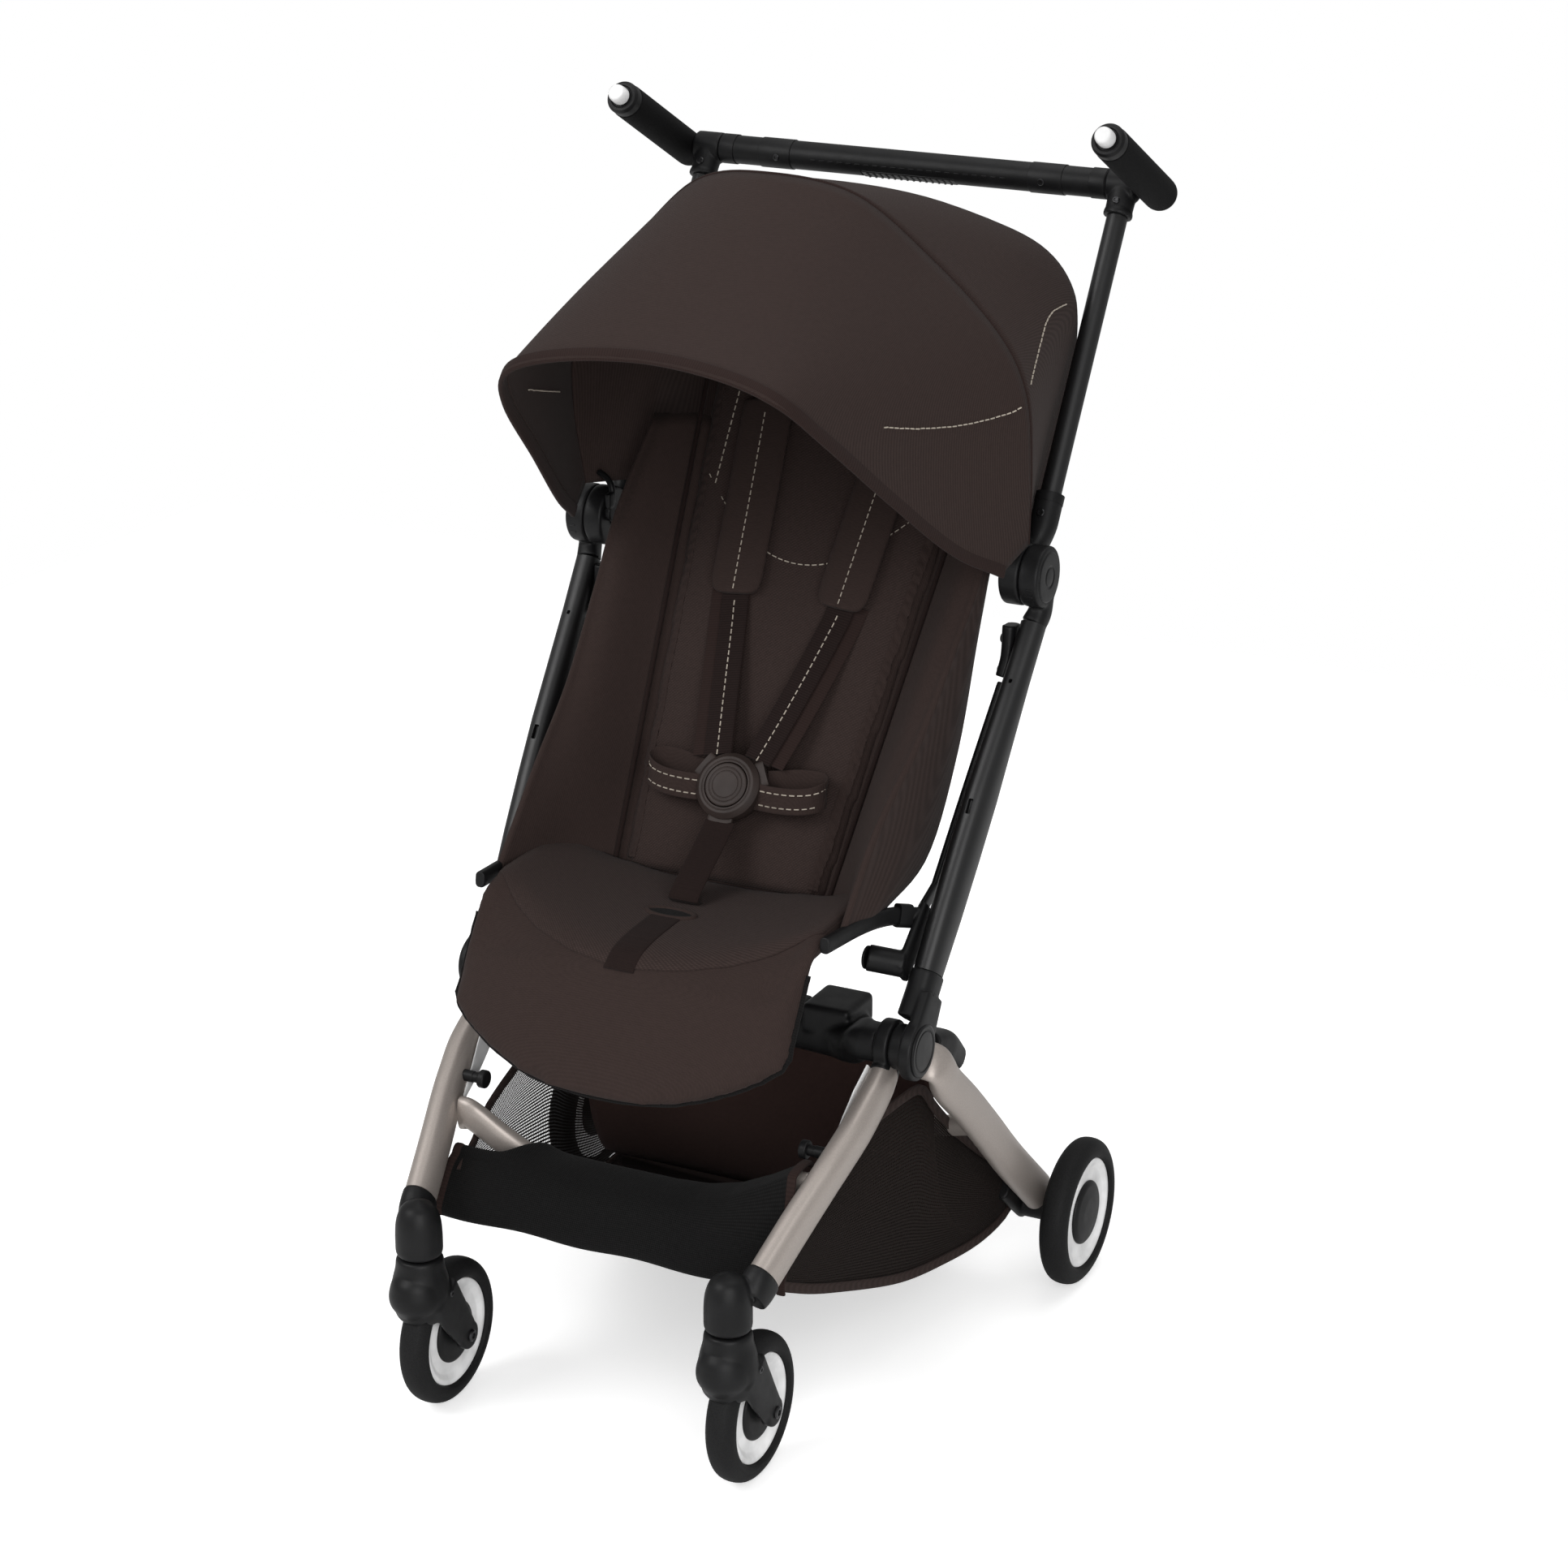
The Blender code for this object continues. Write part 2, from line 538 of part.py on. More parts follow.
def build_front_legs(fold):
    """Front legs, caster sockets and the dipped member between them."""
    ear = FRONT_EAR_WIDTH
    middle = FRONT_EAR_INNER_X + ear / 2
    for name, sign in SIDES:
        path = [across(point, sign) for point in (
            (middle, HUB.y - 0.0085, HUB.z - 0.0058), (middle, HUB.y - 0.020, HUB.z - 0.0128),
            reach(HUB, FRONT_LEG_FOOT, middle, 0.200, 0.152), reach(HUB, FRONT_LEG_FOOT, middle + 0.0044, 0.290, 0.230),
            reach(HUB, FRONT_LEG_FOOT, middle + 0.0024, 0.442, 0.395),
            reach(HUB, FRONT_LEG_FOOT, middle - 0.0066, 0.616, 0.602),
            reach(HUB, FRONT_LEG_FOOT, middle - 0.0151, 0.814, 0.809), FRONT_LEG_FOOT,
        )]
        widths = (ear, ear, ear, 0.020, 0.022, FRONT_LEG_WIDTH, FRONT_LEG_WIDTH, FRONT_LEG_WIDTH)
        depths = (0.026, 0.030, FRONT_LEG_DEPTH, FRONT_LEG_DEPTH, FRONT_LEG_DEPTH, FRONT_LEG_DEPTH, 0.036, 0.036)
        leg = piece(f"front_leg_{name}", sweep(path, widths, depths, TUBE_SIDES, 2.3), "champagne_metal", fold)
        eye = bored_disc(EAR_RADIUS, HUB_PIN_RADIUS + GAP, ear, 0.001)
        place = Vector((sign * FRONT_EAR_INNER_X, HUB.y, HUB.z))
        combine(leg, turned(eye, place, X_AXIS * sign, 16), "UNION", fold)

        profile = [
            (0.0, CASTER_SPLIT_Z + GAP), (CASTER_RADIUS, CASTER_SPLIT_Z + GAP), (CASTER_RADIUS, 0.178),
            (CASTER_RADIUS * 0.93, 0.186), (CASTER_RADIUS * 0.70, 0.193), (0.0, 0.197),
        ]
        swivel = across((CASTER_X, CASTER_Y, 0.0), sign)
        socket = piece(f"caster_socket_{name}", turned(profile, swivel, (0, 0, 1), 20), "black_plastic", fold)
        foot = across(FRONT_LEG_FOOT, sign)
        along = (foot - path[-2]).normalized()
        sleeve = sweep(
            [foot + along * GAP, foot + along * 0.014, foot + along * 0.028],
            (FRONT_LEG_WIDTH + 0.002, FRONT_LEG_WIDTH + 0.004, FRONT_LEG_WIDTH + 0.004),
            (0.038, 0.037, 0.030), TUBE_SIDES, 2.2,
        )
        combine(socket, sleeve, "UNION", fold)

    end = Vector(reach(HUB, FRONT_LEG_FOOT, FRONT_LEG_FOOT[0] + 0.0010, 0.622, 0.6875))
    dips = ((0.0, 0.0, 0.0), (0.0108, 0.0, 0.0010), (0.0358, 0.0080, 0.0215), (0.0608, 0.0100, 0.0340),
            (0.1008, 0.0110, 0.0410), (end.x, 0.0110, 0.0430))
    half = [Vector((end.x - inwards, end.y + back, end.z - down)) for inwards, back, down in dips]
    path = [Vector(point) for point in half] + [across(point, -1.0) for point in reversed(half[:-1])]
    widths = (0.030, 0.026, 0.025, 0.025, 0.025, 0.025, 0.025, 0.025, 0.025, 0.026, 0.030)
    depths = (0.013, 0.015, 0.016, 0.016, 0.018, 0.018, 0.018, 0.016, 0.016, 0.015, 0.013)
    piece("front_crossbar", sweep(path, depths, widths, TUBE_SIDES, 2.4, Vector((0.0, 1.0, 0.0))),
          "champagne_metal", fold)


def build_casters(fold):
    """Caster forks on their swivels, each with a front wheel."""
    arm_inner = WHEEL_WIDTH / 2 + FORK_CLEARANCE
    arm_outer = arm_inner + FORK_ARM
    for name, sign in SIDES:
        centre = across((CASTER_X, CASTER_Y, CASTER_SPLIT_Z), sign)
        axle = across((CASTER_X, CASTER_Y + CASTER_TRAIL, FRONT_WHEEL_RADIUS), sign)
        swivel = pivot(f"caster_swivel_{name}", centre, fold)
        profile = [
            (0.0, -0.062), (0.012, -0.061), (0.0195, -0.054), (arm_outer - 0.0005, -0.040), (arm_outer, -0.031),
            (arm_outer - 0.0015, -0.021), (CASTER_RADIUS + 0.001, -0.010), (CASTER_RADIUS, 0.0), (0.0, 0.0),
        ]
        fork = piece(f"caster_fork_{name}", turned(profile, centre, (0, 0, 1), 18), "black_plastic", swivel)
        for side in (-1.0, 1.0):
            near = axle.x + side * arm_inner
            far = axle.x + side * (arm_outer - 0.0003)
            arm = link((centre.y + 0.004, centre.z - 0.034), 0.017, (axle.y, axle.z), FORK_TIP_RADIUS, near, far, 6)
            combine(fork, arm, "UNION", swivel)
        slot_start = axle - X_AXIS * arm_inner
        slot = rod(slot_start, axle + X_AXIS * arm_inner, FRONT_WHEEL_RADIUS + FORK_CLEARANCE, 28)
        combine(fork, slot, "DIFFERENCE", swivel)
        pin = rod(axle - X_AXIS * (arm_inner + 0.004), axle + X_AXIS * (arm_inner + 0.004), AXLE_RADIUS, 8)
        combine(fork, pin, "UNION", swivel)
        spindle = pivot(f"front_axle_{name}", axle, swivel)
        build_wheel(f"front_{name}", axle, FRONT_WHEEL_RADIUS, FRONT_DISC_RADIUS, spindle)


def build_wheel(name, axle, radius, disc, spindle):
    """A bored white rim and the tyre round it."""
    half = WHEEL_WIDTH / 2
    bore = AXLE_RADIUS + GAP
    profile = [
        (bore, -half + 0.001), (disc * 0.42, -half + 0.001), (disc, -half + 0.0035),
        (disc, half - 0.0035), (disc * 0.42, half - 0.001), (bore, half - 0.001),
    ]
    piece(f"{name}_rim", turned(profile, axle, X_AXIS, WHEEL_STEPS), "white_plastic", spindle)
    seat = disc + GAP
    profile = [
        (seat, -half + 0.003), (seat + 0.003, -half), (radius - 0.006, -half + 0.0015), (radius, -0.005),
        (radius, 0.005), (radius - 0.006, half - 0.0015), (seat + 0.003, half), (seat, half - 0.003),
    ]
    piece(f"{name}_tyre", turned(profile, axle, X_AXIS, WHEEL_STEPS), "tyre_rubber", spindle)


def build_rear_legs(fold):
    """Rear legs, the member between them, axle housings, wheels and brake pedal."""
    middle = REAR_EAR_INNER_X + EAR_PLATE / 2
    housing_outer = REAR_X - WHEEL_WIDTH / 2 - GAP
    for name, sign in SIDES:
        path = [across(point, sign) for point in (
            (middle, HUB.y + 0.0080, HUB.z - 0.0064), (middle, HUB.y + 0.0215, HUB.z - 0.0174),
            (REAR_LEG_X, HUB.y + 0.0300, HUB.z - 0.0245), reach(HUB, REAR_LEG_FOOT, REAR_LEG_X, 0.197, 0.207),
            reach(HUB, REAR_LEG_FOOT, REAR_LEG_X, 0.361, 0.363), reach(HUB, REAR_LEG_FOOT, REAR_LEG_X, 0.540, 0.544),
            reach(HUB, REAR_LEG_FOOT, REAR_LEG_X, 0.734, 0.747), REAR_LEG_FOOT,
        )]
        widths = (EAR_PLATE, EAR_PLATE, REAR_LEG_WIDTH - 0.002, *(REAR_LEG_WIDTH for _ in range(5)))
        depths = (0.028, 0.032, 0.036, *(REAR_LEG_DEPTH for _ in range(5)))
        leg = piece(f"rear_leg_{name}", sweep(path, widths, depths, TUBE_SIDES, 2.3), "champagne_metal", fold)
        eye = bored_disc(EAR_RADIUS, HUB_PIN_RADIUS + GAP, EAR_PLATE, 0.001)
        place = Vector((sign * REAR_EAR_INNER_X, HUB.y, HUB.z))
        combine(leg, turned(eye, place, X_AXIS * sign, 16), "UNION", fold)

        axle = across((REAR_X, REAR_Y, REAR_WHEEL_RADIUS), sign)
        plate_outer = REAR_LEG_X - REAR_LEG_WIDTH / 2 - GAP
        plate = link((0.1220, 0.0920), 0.0135, (REAR_Y, REAR_WHEEL_RADIUS), 0.0165,
                     sign * (plate_outer - HOUSING_PLATE), sign * plate_outer)
        housing = piece(f"axle_housing_{name}", plate, "black_plastic", fold)
        start = across((plate_outer - 0.004, REAR_Y, REAR_WHEEL_RADIUS), sign)
        boss = rod(start, across((housing_outer, REAR_Y, REAR_WHEEL_RADIUS), sign), HOUSING_BOSS_RADIUS, 16)
        combine(housing, boss, "UNION", fold)
        pin = rod(start, axle + X_AXIS * sign * (WHEEL_WIDTH / 2), AXLE_RADIUS, 8)
        combine(housing, pin, "UNION", fold)
        spindle = pivot(f"rear_axle_{name}", axle, fold)
        build_wheel(f"rear_{name}", axle, REAR_WHEEL_RADIUS, REAR_DISC_RADIUS, spindle)

    end_x = REAR_LEG_X - REAR_LEG_WIDTH / 2 - GAP
    end = Vector(reach(HUB, REAR_LEG_FOOT, end_x, 0.571, 0.557))
    dips = ((0.0, 0.0), (0.0120, 0.0), (0.0402, 0.0060), (0.0902, 0.0100), (end_x, 0.0115))
    half = [Vector((end_x - inwards, end.y, end.z - down)) for inwards, down in dips]
    path = [Vector(point) for point in half] + [across(point, -1.0) for point in reversed(half[:-1])]
    widths = (0.034, 0.030, 0.025, 0.023, 0.023, 0.023, 0.025, 0.030, 0.034)
    depths = (0.013, 0.015, 0.016, 0.017, 0.018, 0.017, 0.016, 0.015, 0.013)
    piece("rear_crossbar", sweep(path, widths, depths, TUBE_SIDES, 2.4, Vector((0.0, 0.72, -0.69))),
          "champagne_metal", fold)

    place = Vector((-(end_x - HOUSING_PLATE - GAP), PEDAL_Y, PEDAL_Z))
    brake = pivot("brake_pivot", place, fold)
    lever = link((PEDAL_Y, PEDAL_Z), 0.009, (PEDAL_Y + PEDAL_REACH, PEDAL_Z - 0.004), 0.0055,
                 place.x, place.x + PEDAL_WIDTH)
    piece("brake_pedal", lever, "black_plastic", brake)


def build_seat_frame():
    """Seat bars with their mounts, the side struts and the block below the seat."""
    for name, sign in SIDES:
        plate_outer = SEAT_MOUNT_X
        mount = piece(
            f"seat_mount_{name}",
            link((-0.042, 0.408), 0.012, (-0.080, 0.3765), 0.0125, sign * (plate_outer - SEAT_MOUNT_PLATE),
                 sign * plate_outer),
            "black_plastic",
        )
        path = [across(point, sign) for point in (
            (SEAT_BAR_X, KNEE_Y - 0.013, 0.4265), (SEAT_BAR_X + 0.004, -0.110, 0.4215),
            (SEAT_BAR_X + 0.0095, -0.070, 0.4145), (plate_outer - 0.004, -0.045, 0.4080),
        )]
        bar = sweep(path, (0.009, 0.009, 0.010, 0.008), (0.014, 0.014, 0.015, 0.015), TUBE_SIDES, 3.0)
        combine(mount, bar, "UNION")
        peg_end = across((plate_outer - 0.004, -0.0810, 0.3790), sign)
        peg = rod(across((PEG_X, -0.0905, 0.3835), sign), peg_end, 0.011, 12)
        combine(mount, peg, "UNION")

        bracket = main_x(0.06) - MAIN_NECK_WIDTH / 2 - GAP
        points = (
            (bracket - 0.006, 0.1020, 0.6180), (bracket - 0.006, 0.0980, 0.5900), (bracket - 0.010, 0.0840, 0.5620),
            (bracket - 0.018, 0.0420, 0.4900), (STRUT_FOOT_X, -0.0060, 0.4180),
        )
        path = [across(point, sign) for point in points]
        strut = sweep(path, (0.012, 0.0115, 0.008, 0.006, 0.006), (0.020, 0.020, 0.014, 0.010, 0.012), 10, 3.0)
        strut = piece(f"side_strut_{name}", strut, "black_plastic")
        outer = SEAT_MOUNT_X - SEAT_MOUNT_PLATE - GAP
        foot = link((-0.006, 0.418), 0.006, (-0.032, 0.407), 0.007, sign * (outer - 0.006), sign * outer)
        combine(strut, foot, "UNION")

    half = [
        (HUB_PIN_END - GAP, HUB.y, HUB.z), (HUB_PIN_END - 0.0112, HUB.y, HUB.z),
        (HUB_PIN_END - 0.0172, HUB.y + 0.002, HUB.z - 0.001), (HUB_PIN_END - 0.0312, HUB.y + 0.020, HUB.z - 0.012),
        (HUB_PIN_END - 0.0652, HUB.y + 0.042, HUB.z - 0.018), (0.0, HUB.y + 0.051, HUB.z - 0.020),
    ]
    path = [Vector(point) for point in half] + [across(point, -1.0) for point in reversed(half[:-1])]
    widths = (0.032, 0.032, 0.034, 0.040, 0.052, 0.052, 0.052, 0.040, 0.034, 0.032, 0.032)
    depths = (0.030, 0.030, 0.030, 0.032, 0.036, 0.036, 0.036, 0.032, 0.030, 0.030, 0.030)
    piece("fold_block", sweep(path, widths, depths, TUBE_SIDES, 3.0, Vector((0.0, 1.0, 0.0))), "black_plastic")


def back_point(height, rise=0.0, x=0.0):
    """A point on the backrest's face: height is up it from the crease, rise off its front."""
    return Vector((x, CREASE_Y, CREASE_Z)) + BACK_UP * height + BACK_FRONT * rise


def back_half(height):
    """Half the backrest's width at this height up it."""
    return BACK_FOOT_HALF + (BACK_HEAD_HALF - BACK_FOOT_HALF) * height / BACK_HEIGHT


def build_seat(recline, knee):
    """Seat pad, leg rest, backrest, side wings and the harness."""
    rows = (
        (CREASE_Y - 0.0085, 0.66, 0.5), (CREASE_Y - 0.011, 0.90, 0.86), (CREASE_Y - 0.020, 0.985, 1.0),
        (CREASE_Y - 0.050, 1.0, 1.06), (CREASE_Y - 0.080, 1.0, 1.04), (KNEE_Y, 1.0, 1.0),
    )
    middle = KNEE_Z + KNEE_RADIUS - SEAT_THICK / 2
    pad = loft([
        oval(Vector((0.0, y, middle)), X_AXIS, Vector((0.0, 0.0, 1.0)), SEAT_HALF * wide, SEAT_THICK / 2 * deep,
             24, 3.4)
        for y, wide, deep in rows
    ])
    seat = piece("seat_pad", pad, "brown_fabric")
    roll_end = Vector((SEAT_HALF + 0.01, KNEE_Y, KNEE_Z))
    roll = rod(across(roll_end, -1.0), roll_end, KNEE_RADIUS + 2 * GAP, 40)
    combine(seat, roll, "DIFFERENCE")

    centre_line = [(0.0, 0.0285), (-0.020, 0.0245), (-0.040, 0.0125), (-0.060, -0.0065), (-0.080, -0.040),
                   (-0.097, -0.075), (-0.107, -0.110)]
    side_line = [(0.0, 0.0285), (-0.013, 0.0262), (-0.025, 0.0150), (-0.035, -0.0030), (-0.048, -0.0250),
                 (-0.059, -0.0450), (-0.069, -0.0610)]
    sections = []
    for step in range(LEG_REST_SECTIONS):
        share = 2.0 * step / (LEG_REST_SECTIONS - 1) - 1.0
        x = LEG_REST_HALF * math.copysign(abs(share) ** 0.8, share)
        blend = abs(x / LEG_REST_HALF) ** 2.4
        edge = 1.0 if abs(share) < 0.99 else 0.75
        outer = [Vector(a) * (1.0 - blend) + Vector(b) * blend for a, b in zip(centre_line, side_line)]
        inner = []
        for index, point in enumerate(outer):
            before = outer[max(index - 1, 0)]
            after = outer[min(index + 1, len(outer) - 1)]
            run = (after - before).normalized()
            inner.append(point + Vector((-run.y, run.x)) * LEG_REST_THICK * edge)
        arc = [Vector((KNEE_RADIUS * math.cos(turn), KNEE_RADIUS * math.sin(turn)))
               for turn in (math.radians(-120 + 24 * count) for count in range(9))]
        outline = outer + inner[:2:-1] + arc
        sections.append([Vector((x, KNEE_Y + point.x, KNEE_Z + point.y)) for point in outline])
    piece("leg_rest", loft(sections), "brown_fabric", knee)

    rows = (
        (0.001, 0.90, 0.35), (0.005, 0.97, 0.80), (0.020, 1.0, 1.0), (0.12, 1.0, 1.0), (0.24, 1.0, 1.0), (0.36, 1.0, 1.0),
        (BACK_HEIGHT - 0.035, 1.0, 1.0), (BACK_HEIGHT - 0.010, 0.93, 0.92), (BACK_HEIGHT - 0.002, 0.80, 0.70),
        (BACK_HEIGHT, 0.66, 0.35),
    )
    pad = loft([
        oval(back_point(height, -BACK_THICK / 2), X_AXIS, BACK_FRONT, back_half(height) * wide,
             BACK_THICK / 2 * deep, 24, 3.4)
        for height, wide, deep in rows
    ])
    piece("backrest", pad, "brown_fabric", recline)

    for name, sign in SIDES:
        foot_z = KNEE_Z + KNEE_RADIUS + 0.0017
        rear_foot = back_half(0.022) + WING_GAP
        rear = (
            (rear_foot - SEAT_HALF, -0.0440, foot_z), (-0.0362, 0.0150, 0.5200), (-0.0292, 0.0700, 0.6050),
            (-0.0217, 0.1120, 0.6700),
        )
        inner = (
            (-0.0262, -0.0860, foot_z), (-0.0202, -0.0200, 0.5100), (-0.0122, 0.0460, 0.6000),
            (-0.0102, 0.1060, 0.6720),
        )
        outer = (
            (-0.0082, -0.1300, foot_z - 0.0060), (-0.0062, -0.0500, 0.5030), (-0.0002, 0.0250, 0.5950),
            (0.0018, 0.1010, 0.6730),
        )
        front = (
            (0.0018, -0.1600, foot_z + 0.0004), (-0.0002, -0.0720, 0.5000), (0.0078, 0.0120, 0.5900),
            (0.0138, 0.0980, 0.6720),
        )
        edge = X_AXIS * SEAT_HALF
        rows = [
            smooth_path([across(edge + Vector(point), sign) for point in line], 7)
            for line in (rear, inner, outer, front)
        ]
        thicken(piece(f"wing_{name}", sheet(rows), "brown_fabric"), CLOTH, 0.0)

        strap = [
            (0.0185, 0.0906, 0.0250, 0.024, 0.0026), (0.0440, 0.2060, 0.0070, 0.025, 0.0026),
            (0.0500, 0.2340, 0.0065, 0.026, 0.0026), (0.0502, 0.2350, 0.0052, 0.042, 0.0090),
            (0.0560, 0.3200, 0.0056, 0.046, 0.0100), (0.0640, 0.4050, 0.0052, 0.042, 0.0090),
            (0.0641, 0.4060, 0.0065, 0.026, 0.0026), (0.0650, 0.4250, 0.0040, 0.026, 0.0026),
        ]
        path = [across(tuple(back_point(height, rise, x)), sign) for x, height, rise, _, _ in strap]
        widths = [entry[3] for entry in strap]
        depths = [entry[4] for entry in strap]
        piece(f"shoulder_strap_{name}", sweep(path, widths, depths, 12, 5.0), "black_webbing", recline)

    buckle = BUCKLE_CENTRE - BACK_FRONT * BUCKLE_THICK / 2
    pocket = BUTTON_RADIUS + GAP
    floor = BUCKLE_THICK - BUTTON_STROKE - 0.003
    profile = [
        (0.0, 0.0), (BUCKLE_RADIUS - 0.003, 0.0), (BUCKLE_RADIUS, 0.003), (BUCKLE_RADIUS, BUCKLE_THICK - 0.003),
        (BUCKLE_RADIUS - 0.003, BUCKLE_THICK), (pocket, BUCKLE_THICK), (pocket, floor), (0.0, floor),
    ]
    piece("buckle", turned(profile, buckle, BACK_FRONT, 24), "black_plastic", recline)
    press = pivot("buckle_button_slide", buckle + BACK_FRONT * BUCKLE_THICK, recline)
    foot = floor + BUTTON_STROKE + GAP
    top = BUCKLE_THICK + 0.0015
    profile = [
        (0.0, foot), (BUTTON_RADIUS, foot), (BUTTON_RADIUS, top - 0.001), (BUTTON_RADIUS - 0.001, top), (0.0, top),
    ]
    piece("buckle_button", turned(profile, buckle, BACK_FRONT, 20), "black_plastic", press)

    foot = Vector((0.0, -0.1300, KNEE_Z + KNEE_RADIUS + 0.0018))
    top = BUCKLE_CENTRE - BACK_UP * (BUCKLE_RADIUS + 3 * GAP)
    path = smooth_path([foot, (0.0, -0.1020, 0.4405), (0.0, -0.0720, 0.4490), top], 7)
    piece("crotch_strap", sweep(path, [0.030] * 7, [CLOTH] * 7, 8, 6.0), "black_webbing")


def arch(points, half_width, count):
    """A curve through one side's points and their mirror images; their x is a share of half_width."""
    half = [Vector((share * half_width, y, z)) for share, y, z in points]
    return smooth_path(half + [across(point, -1.0) for point in reversed(half[:-1])], count)


def build_canopy(hinge, canopy):
    """Canopy fabric, its fixed rear part and its folding front part, with the clips beside the hinges."""
    rim = [(0.937, 0.060, 0.6725), (0.848, 0.004, 0.703), (0.754, -0.067, 0.759), (0.660, -0.147, 0.8250),
           (0.553, -0.182, 0.8610), (0.328, -0.184, 0.8765), (0.0, -0.178, 0.8810)]
    bow = [(0.977, 0.095, 0.698), (1.0, 0.087, 0.760), (0.979, 0.083, 0.822), (0.867, 0.078, 0.8700),
           (0.609, 0.069, 0.922), (0.328, 0.053, 0.9660), (0.0, 0.036, 0.9870)]
    rear = [(0.857, 0.148, 0.697), (0.857, 0.185, 0.760), (0.857, 0.222, 0.8250), (0.834, 0.240, 0.8750),
            (0.693, 0.245, 0.9180), (0.375, 0.240, 0.9430), (0.0, 0.235, 0.9500)]
    flap = [(0.852, 0.158, 0.6900), (0.829, 0.225, 0.7000), (0.792, 0.2650, 0.7020), (0.703, 0.2880, 0.6980),
            (0.506, 0.3000, 0.6940), (0.258, 0.3060, 0.6910), (0.0, 0.3080, 0.6900)]
    rim_row, bow_row, rear_row, flap_row = (
        arch(line, CANOPY_HALF, CANOPY_COLUMNS) for line in (rim, bow, rear, flap)
    )
    swell = Vector((0.0, -0.35, 1.0)).normalized()
    front = []
    for step in range(CANOPY_ROWS):
        share = step / (CANOPY_ROWS - 1)
        lift = 4.0 * share * (1.0 - share) * CANOPY_SWELL
        front.append([a.lerp(b, share * (1.0 - CANOPY_SEAM / (b - a).length)) + swell * lift * max(0.0, b.z - 0.70)
                      for a, b in zip(rim_row, bow_row)])
    thicken(piece("canopy_front", sheet(front), "brown_fabric", canopy), CLOTH, 0.0)
    back = []
    for start, end, count in ((bow_row, rear_row, 4), (rear_row, flap_row, 4)):
        for step in range(count):
            back.append([a.lerp(b, step / count) for a, b in zip(start, end)])
    back.append(flap_row)
    thicken(piece("canopy_rear", sheet(back), "brown_fabric", hinge), CLOTH, 0.0)

    for name, sign in SIDES:
        start = Vector((sign * (HINGE_INNER_X - GAP - CLIP_PLATE), CANOPY_Y, CANOPY_Z))
        clip = piece(
            f"canopy_clip_{name}",
            turned(disc_profile(CLIP_RADIUS, CLIP_PLATE, 0.0008), start, X_AXIS * sign, 16), "black_plastic", hinge,
        )
        middle = HINGE_INNER_X - GAP - CLIP_PLATE / 2
        arm = [across(point, sign) for point in (
            (middle, CANOPY_Y, CANOPY_Z + 0.002), (middle, 0.1010, 0.6860), (HINGE_INNER_X + 0.0030, 0.1040, 0.6945),
            (HINGE_INNER_X + 0.0132, 0.1068, 0.6988),
        )]
        combine(clip, sweep(arm, [0.0050] * 4, [0.0050] * 4, 8, 3.0, Vector((0.0, 1.0, 0.0))), "UNION", hinge)


def build_basket():
    """The shopping basket: one strip from front to rear rim, and two sides."""
    profile = smooth_path([
        (0.0, -0.2360, 0.2040), (0.0, -0.2660, 0.1560), (0.0, -0.2100, 0.1220), (0.0, -0.1500, 0.1000),
        (0.0, -0.0500, 0.0780), (0.0, 0.0600, 0.0740), (0.0, 0.1200, 0.0860), (0.0, 0.1360, 0.1200),
        (0.0, 0.1200, 0.1700), (0.0, 0.1060, 0.2200),
    ], 20)
    rows = []
    for place in profile:
        half = BASKET_HALF + BASKET_FLARE * place.y
        drop = BASKET_BACK_DROP * max(0.0, place.z - BASKET_BACK_Z) * (place.y > 0.0)
        rows.append([Vector((half * share, place.y, place.z - drop * abs(share) ** 4))
                     for share in (-1.0, -0.72, -0.36, 0.0, 0.36, 0.72, 1.0)])
    bm = sheet(rows)
    rim = ((-0.2080, 0.2050), (-0.1880, 0.2200), (-0.1620, 0.2480), (-0.1090, 0.2560), (-0.0480, 0.2350),
           (0.0150, 0.1700), (0.0620, 0.1560), (0.0900, 0.1440))
    for sign in (-1.0, 1.0):
        side = [Vector((sign * (BASKET_HALF + BASKET_FLARE * y), y, z)) for y, z in rim]
        column = -1 if sign > 0 else 0
        verts = [bm.verts.new(point) for point in side]
        floor_verts = []
        for row in rows:
            floor_verts.append(min(bm.verts, key=lambda vert: (vert.co - row[column]).length))
        bm.faces.new(floor_verts + verts[::-1])
    basket = piece("basket", bm, "black_mesh")
    thicken(basket, CLOTH, 1.0)


def main():
    """Build every piece."""
    clear_scene()
    build_main_frame()
    build_seat_frame()
    hinge = pivot("handle_hinge", (0.0, HINGE_Y, HINGE_Z))
    build_handle(hinge)
    front = pivot("front_leg_hinge", HUB)
    build_front_legs(front)
    build_casters(front)
    build_rear_legs(pivot("rear_leg_hinge", HUB))
    recline = pivot("recline_hinge", (0.0, CREASE_Y, CREASE_Z))
    knee = pivot("leg_rest_hinge", (0.0, KNEE_Y, KNEE_Z))
    build_seat(recline, knee)
    build_canopy(hinge, pivot("canopy_hinge", (0.0, CANOPY_Y, CANOPY_Z), hinge))
    build_basket()


main()
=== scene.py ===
"""Dresses the folding travel pushchair: cloth, moulded parts, coated tubes, light and camera.

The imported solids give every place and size. Each sub-assembly is a class that builds its
own pieces over those solids, in metres, with +Z up and the seat facing -Y.
"""

from __future__ import annotations

import json
import logging
import math
from dataclasses import dataclass
from enum import Enum
from typing import Callable, Sequence

import bmesh
import bpy
from mathutils import Matrix, Vector
from mathutils.bvhtree import BVHTree

